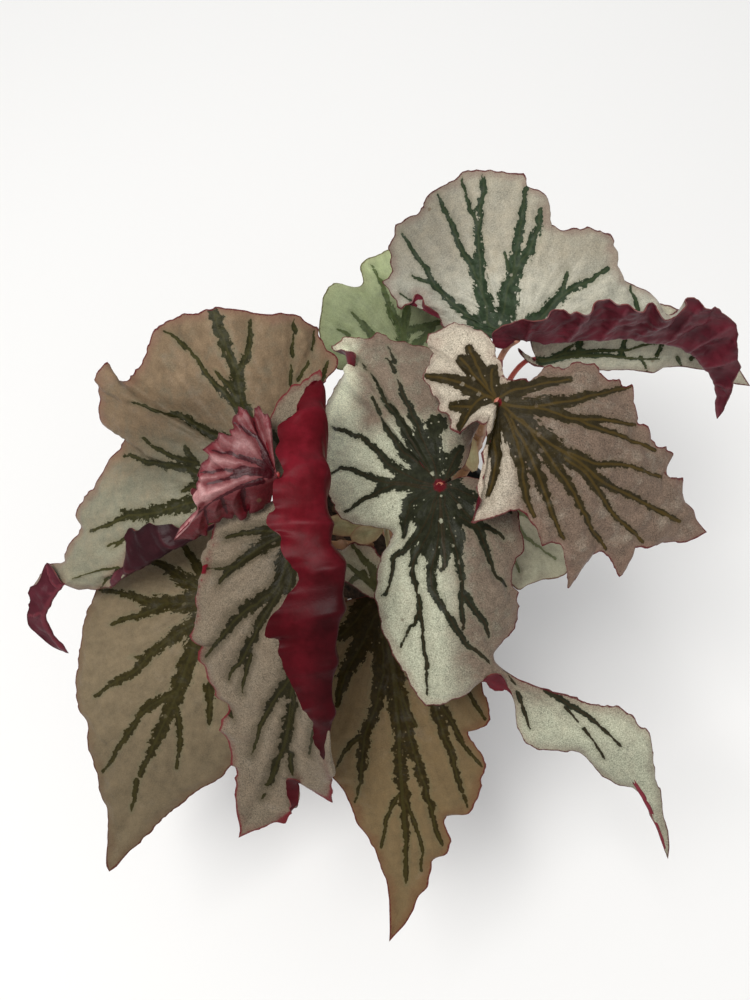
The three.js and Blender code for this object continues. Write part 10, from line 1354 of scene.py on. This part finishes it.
top_ring, sk, bs = idx[-1], np.arange(spokes) + o1, np.arange(spokes) + o2
n1 = np.roll
F = np.concatenate([F, np.stack([top_ring, sk, n1(sk, -1)], 1), np.stack([top_ring, n1(sk, -1), n1(top_ring, -1)], 1),
                    np.stack([sk, bs, n1(bs, -1)], 1), np.stack([sk, n1(bs, -1), n1(sk, -1)], 1), np.stack([bs, np.full(spokes, o3), n1(bs, -1)], 1)])
m = Nodes("potting_mix")
c1 = m.noise(3.0, 4.0, .65)
c2 = m.noise(.8, 3.0, .6)
colour = m.mix(m.ramp(c1, .3, .7), (.012, .008, .005), (.055, .034, .020))
colour = m.mix(m.math("MULTIPLY", m.ramp(c2, .60, .75), .6), colour, (.14, .09, .05))
soil = build_object("look_soil", V, F, np.zeros(len(F)), None, None, [m.finish(colour, .92, m.bump(m.math("ADD", c1, c2), .9, .9), .25)])
add(soil, "soil")
total += len(F)

# loose bits on top of the mix
rng = np.random.default_rng(7)
ico_v, ico_f = None, None
bpy.ops.mesh.primitive_ico_sphere_add(subdivisions=2, radius=1)
ico = bpy.context.object
ico_v = np.array([v.co for v in ico.data.vertices])
ico_f = np.array([p.vertices[:] for p in ico.data.polygons])
bpy.data.objects.remove(ico)


def soil_z(x, y):
    r = math.hypot(x, y)
    p = np.array([[x, y, np.interp(r, [0, 20, 40, 58, 61.5], [108.0, 107.4, 106.2, 106.6, 105.6])]])
    return float(p[0, 2] + 1.3 * noise3(p, 7.5, 21)[0] + .8 * noise3(p, 3.1, 22)[0] + .5 * noise3(p, 1.5, 23)[0] - .8)


def bits(name, count, size, flat, material, seed):
    r = np.random.default_rng(seed)
    vs, fs, k = [], [], 0
    while k < count:
        x, y = r.uniform(-58, 58, 2)
        if math.hypot(x, y) > 57:
            continue
        s = r.uniform(*size)
        q = ico_v * (1 + .28 * noise3(ico_v * 1.3 + r.uniform(0, 90, 3), 1.0, seed)[:, None])
        q = q * np.array([s, s * r.uniform(.55, 1), s * flat])
        t = r.uniform(0, 2 * math.pi)
        tilt = r.normal(0, .35)
        c, d = math.cos(t), math.sin(t)
        q = q @ np.array([[1, 0, 0], [0, math.cos(tilt), -math.sin(tilt)], [0, math.sin(tilt), math.cos(tilt)]]).T @ np.array([[c, -d, 0], [d, c, 0], [0, 0, 1]]).T
        q = q + np.array([x, y, soil_z(x, y) + s * flat * .35])
        fs.append(ico_f + len(vs) * len(ico_v))
        vs.append(q)
        k += 1
    V, F = np.concatenate(vs), np.concatenate(fs)
    o = build_object(name, V, F, np.zeros(len(F)), None, None, [material])
    add(o, None)
    return len(F)


m = Nodes("perlite")
n = m.noise(.5, 3.0, .6)
perlite = m.finish(m.mix(n, (.55, .54, .50), (.78, .77, .73)), .8, m.bump(n, .7, .2), .3)
m = Nodes("bark")
n = m.noise(1.1, 4.0, .65)
bark = m.finish(m.mix(n, (.035, .018, .009), (.13, .07, .035)), .85, m.bump(n, .8, .3), .3)
total += bits("look_perlite", 60, (.7, 1.7), .8, perlite, 11)
total += bits("look_bark", 110, (1.2, 3.6), .35, bark, 12)
print("triangles", total)

# ---------------------------------------------------------------- stage, light, camera
bpy.ops.mesh.primitive_plane_add(size=6, location=(0, 0, -.0004))
floor = bpy.context.object
floor.name = "stage_floor"
m = Nodes("pale_floor")
floor.data.materials.append(m.finish((.86, .86, .855), .85, None, .1))

scene = bpy.context.scene
world = bpy.data.worlds.new("studio")
world.use_nodes = True
world.node_tree.nodes["Background"].inputs[0].default_value = (1.0, 1.0, 1.0, 1)
world.node_tree.nodes["Background"].inputs[1].default_value = .60
scene.world = world


def area(name, loc, target, size, power, colour=(1, 1, 1)):
    d = bpy.data.lights.new(name, "AREA")
    d.shape, d.size, d.energy, d.color = "SQUARE", size, power, colour
    o = bpy.data.objects.new(name, d)
    scene.collection.objects.link(o)
    o.location = loc
    v = np.array(target) - np.array(loc)
    from mathutils import Vector
    o.rotation_euler = Vector(v).to_track_quat("-Z", "Y").to_euler()
    return o


area("key", (-.36, -.20, 1.45), (0, 0, .2), .50, 13.0, (1.0, .985, .96))
area("fill", (.9, -.7, .9), (0, 0, .2), 1.0, 1.0)
area("back", (.2, 1.2, .9), (0, 0, .2), .9, 1.5)

cam = bpy.data.objects.new("camera", bpy.data.cameras.new("camera"))
scene.collection.objects.link(cam)
cam.data.lens, cam.data.sensor_width, cam.data.sensor_fit = 35.0, 36.0, "AUTO"
cam.data.clip_start = .01
cam.location = (-.0138, -.1774, .6234)
cam.rotation_euler = (math.radians(22.0), 0, 0)
scene.camera = cam
scene.view_settings.view_transform = "Standard"
scene.view_settings.look = "None"
scene.view_settings.exposure = 0.0
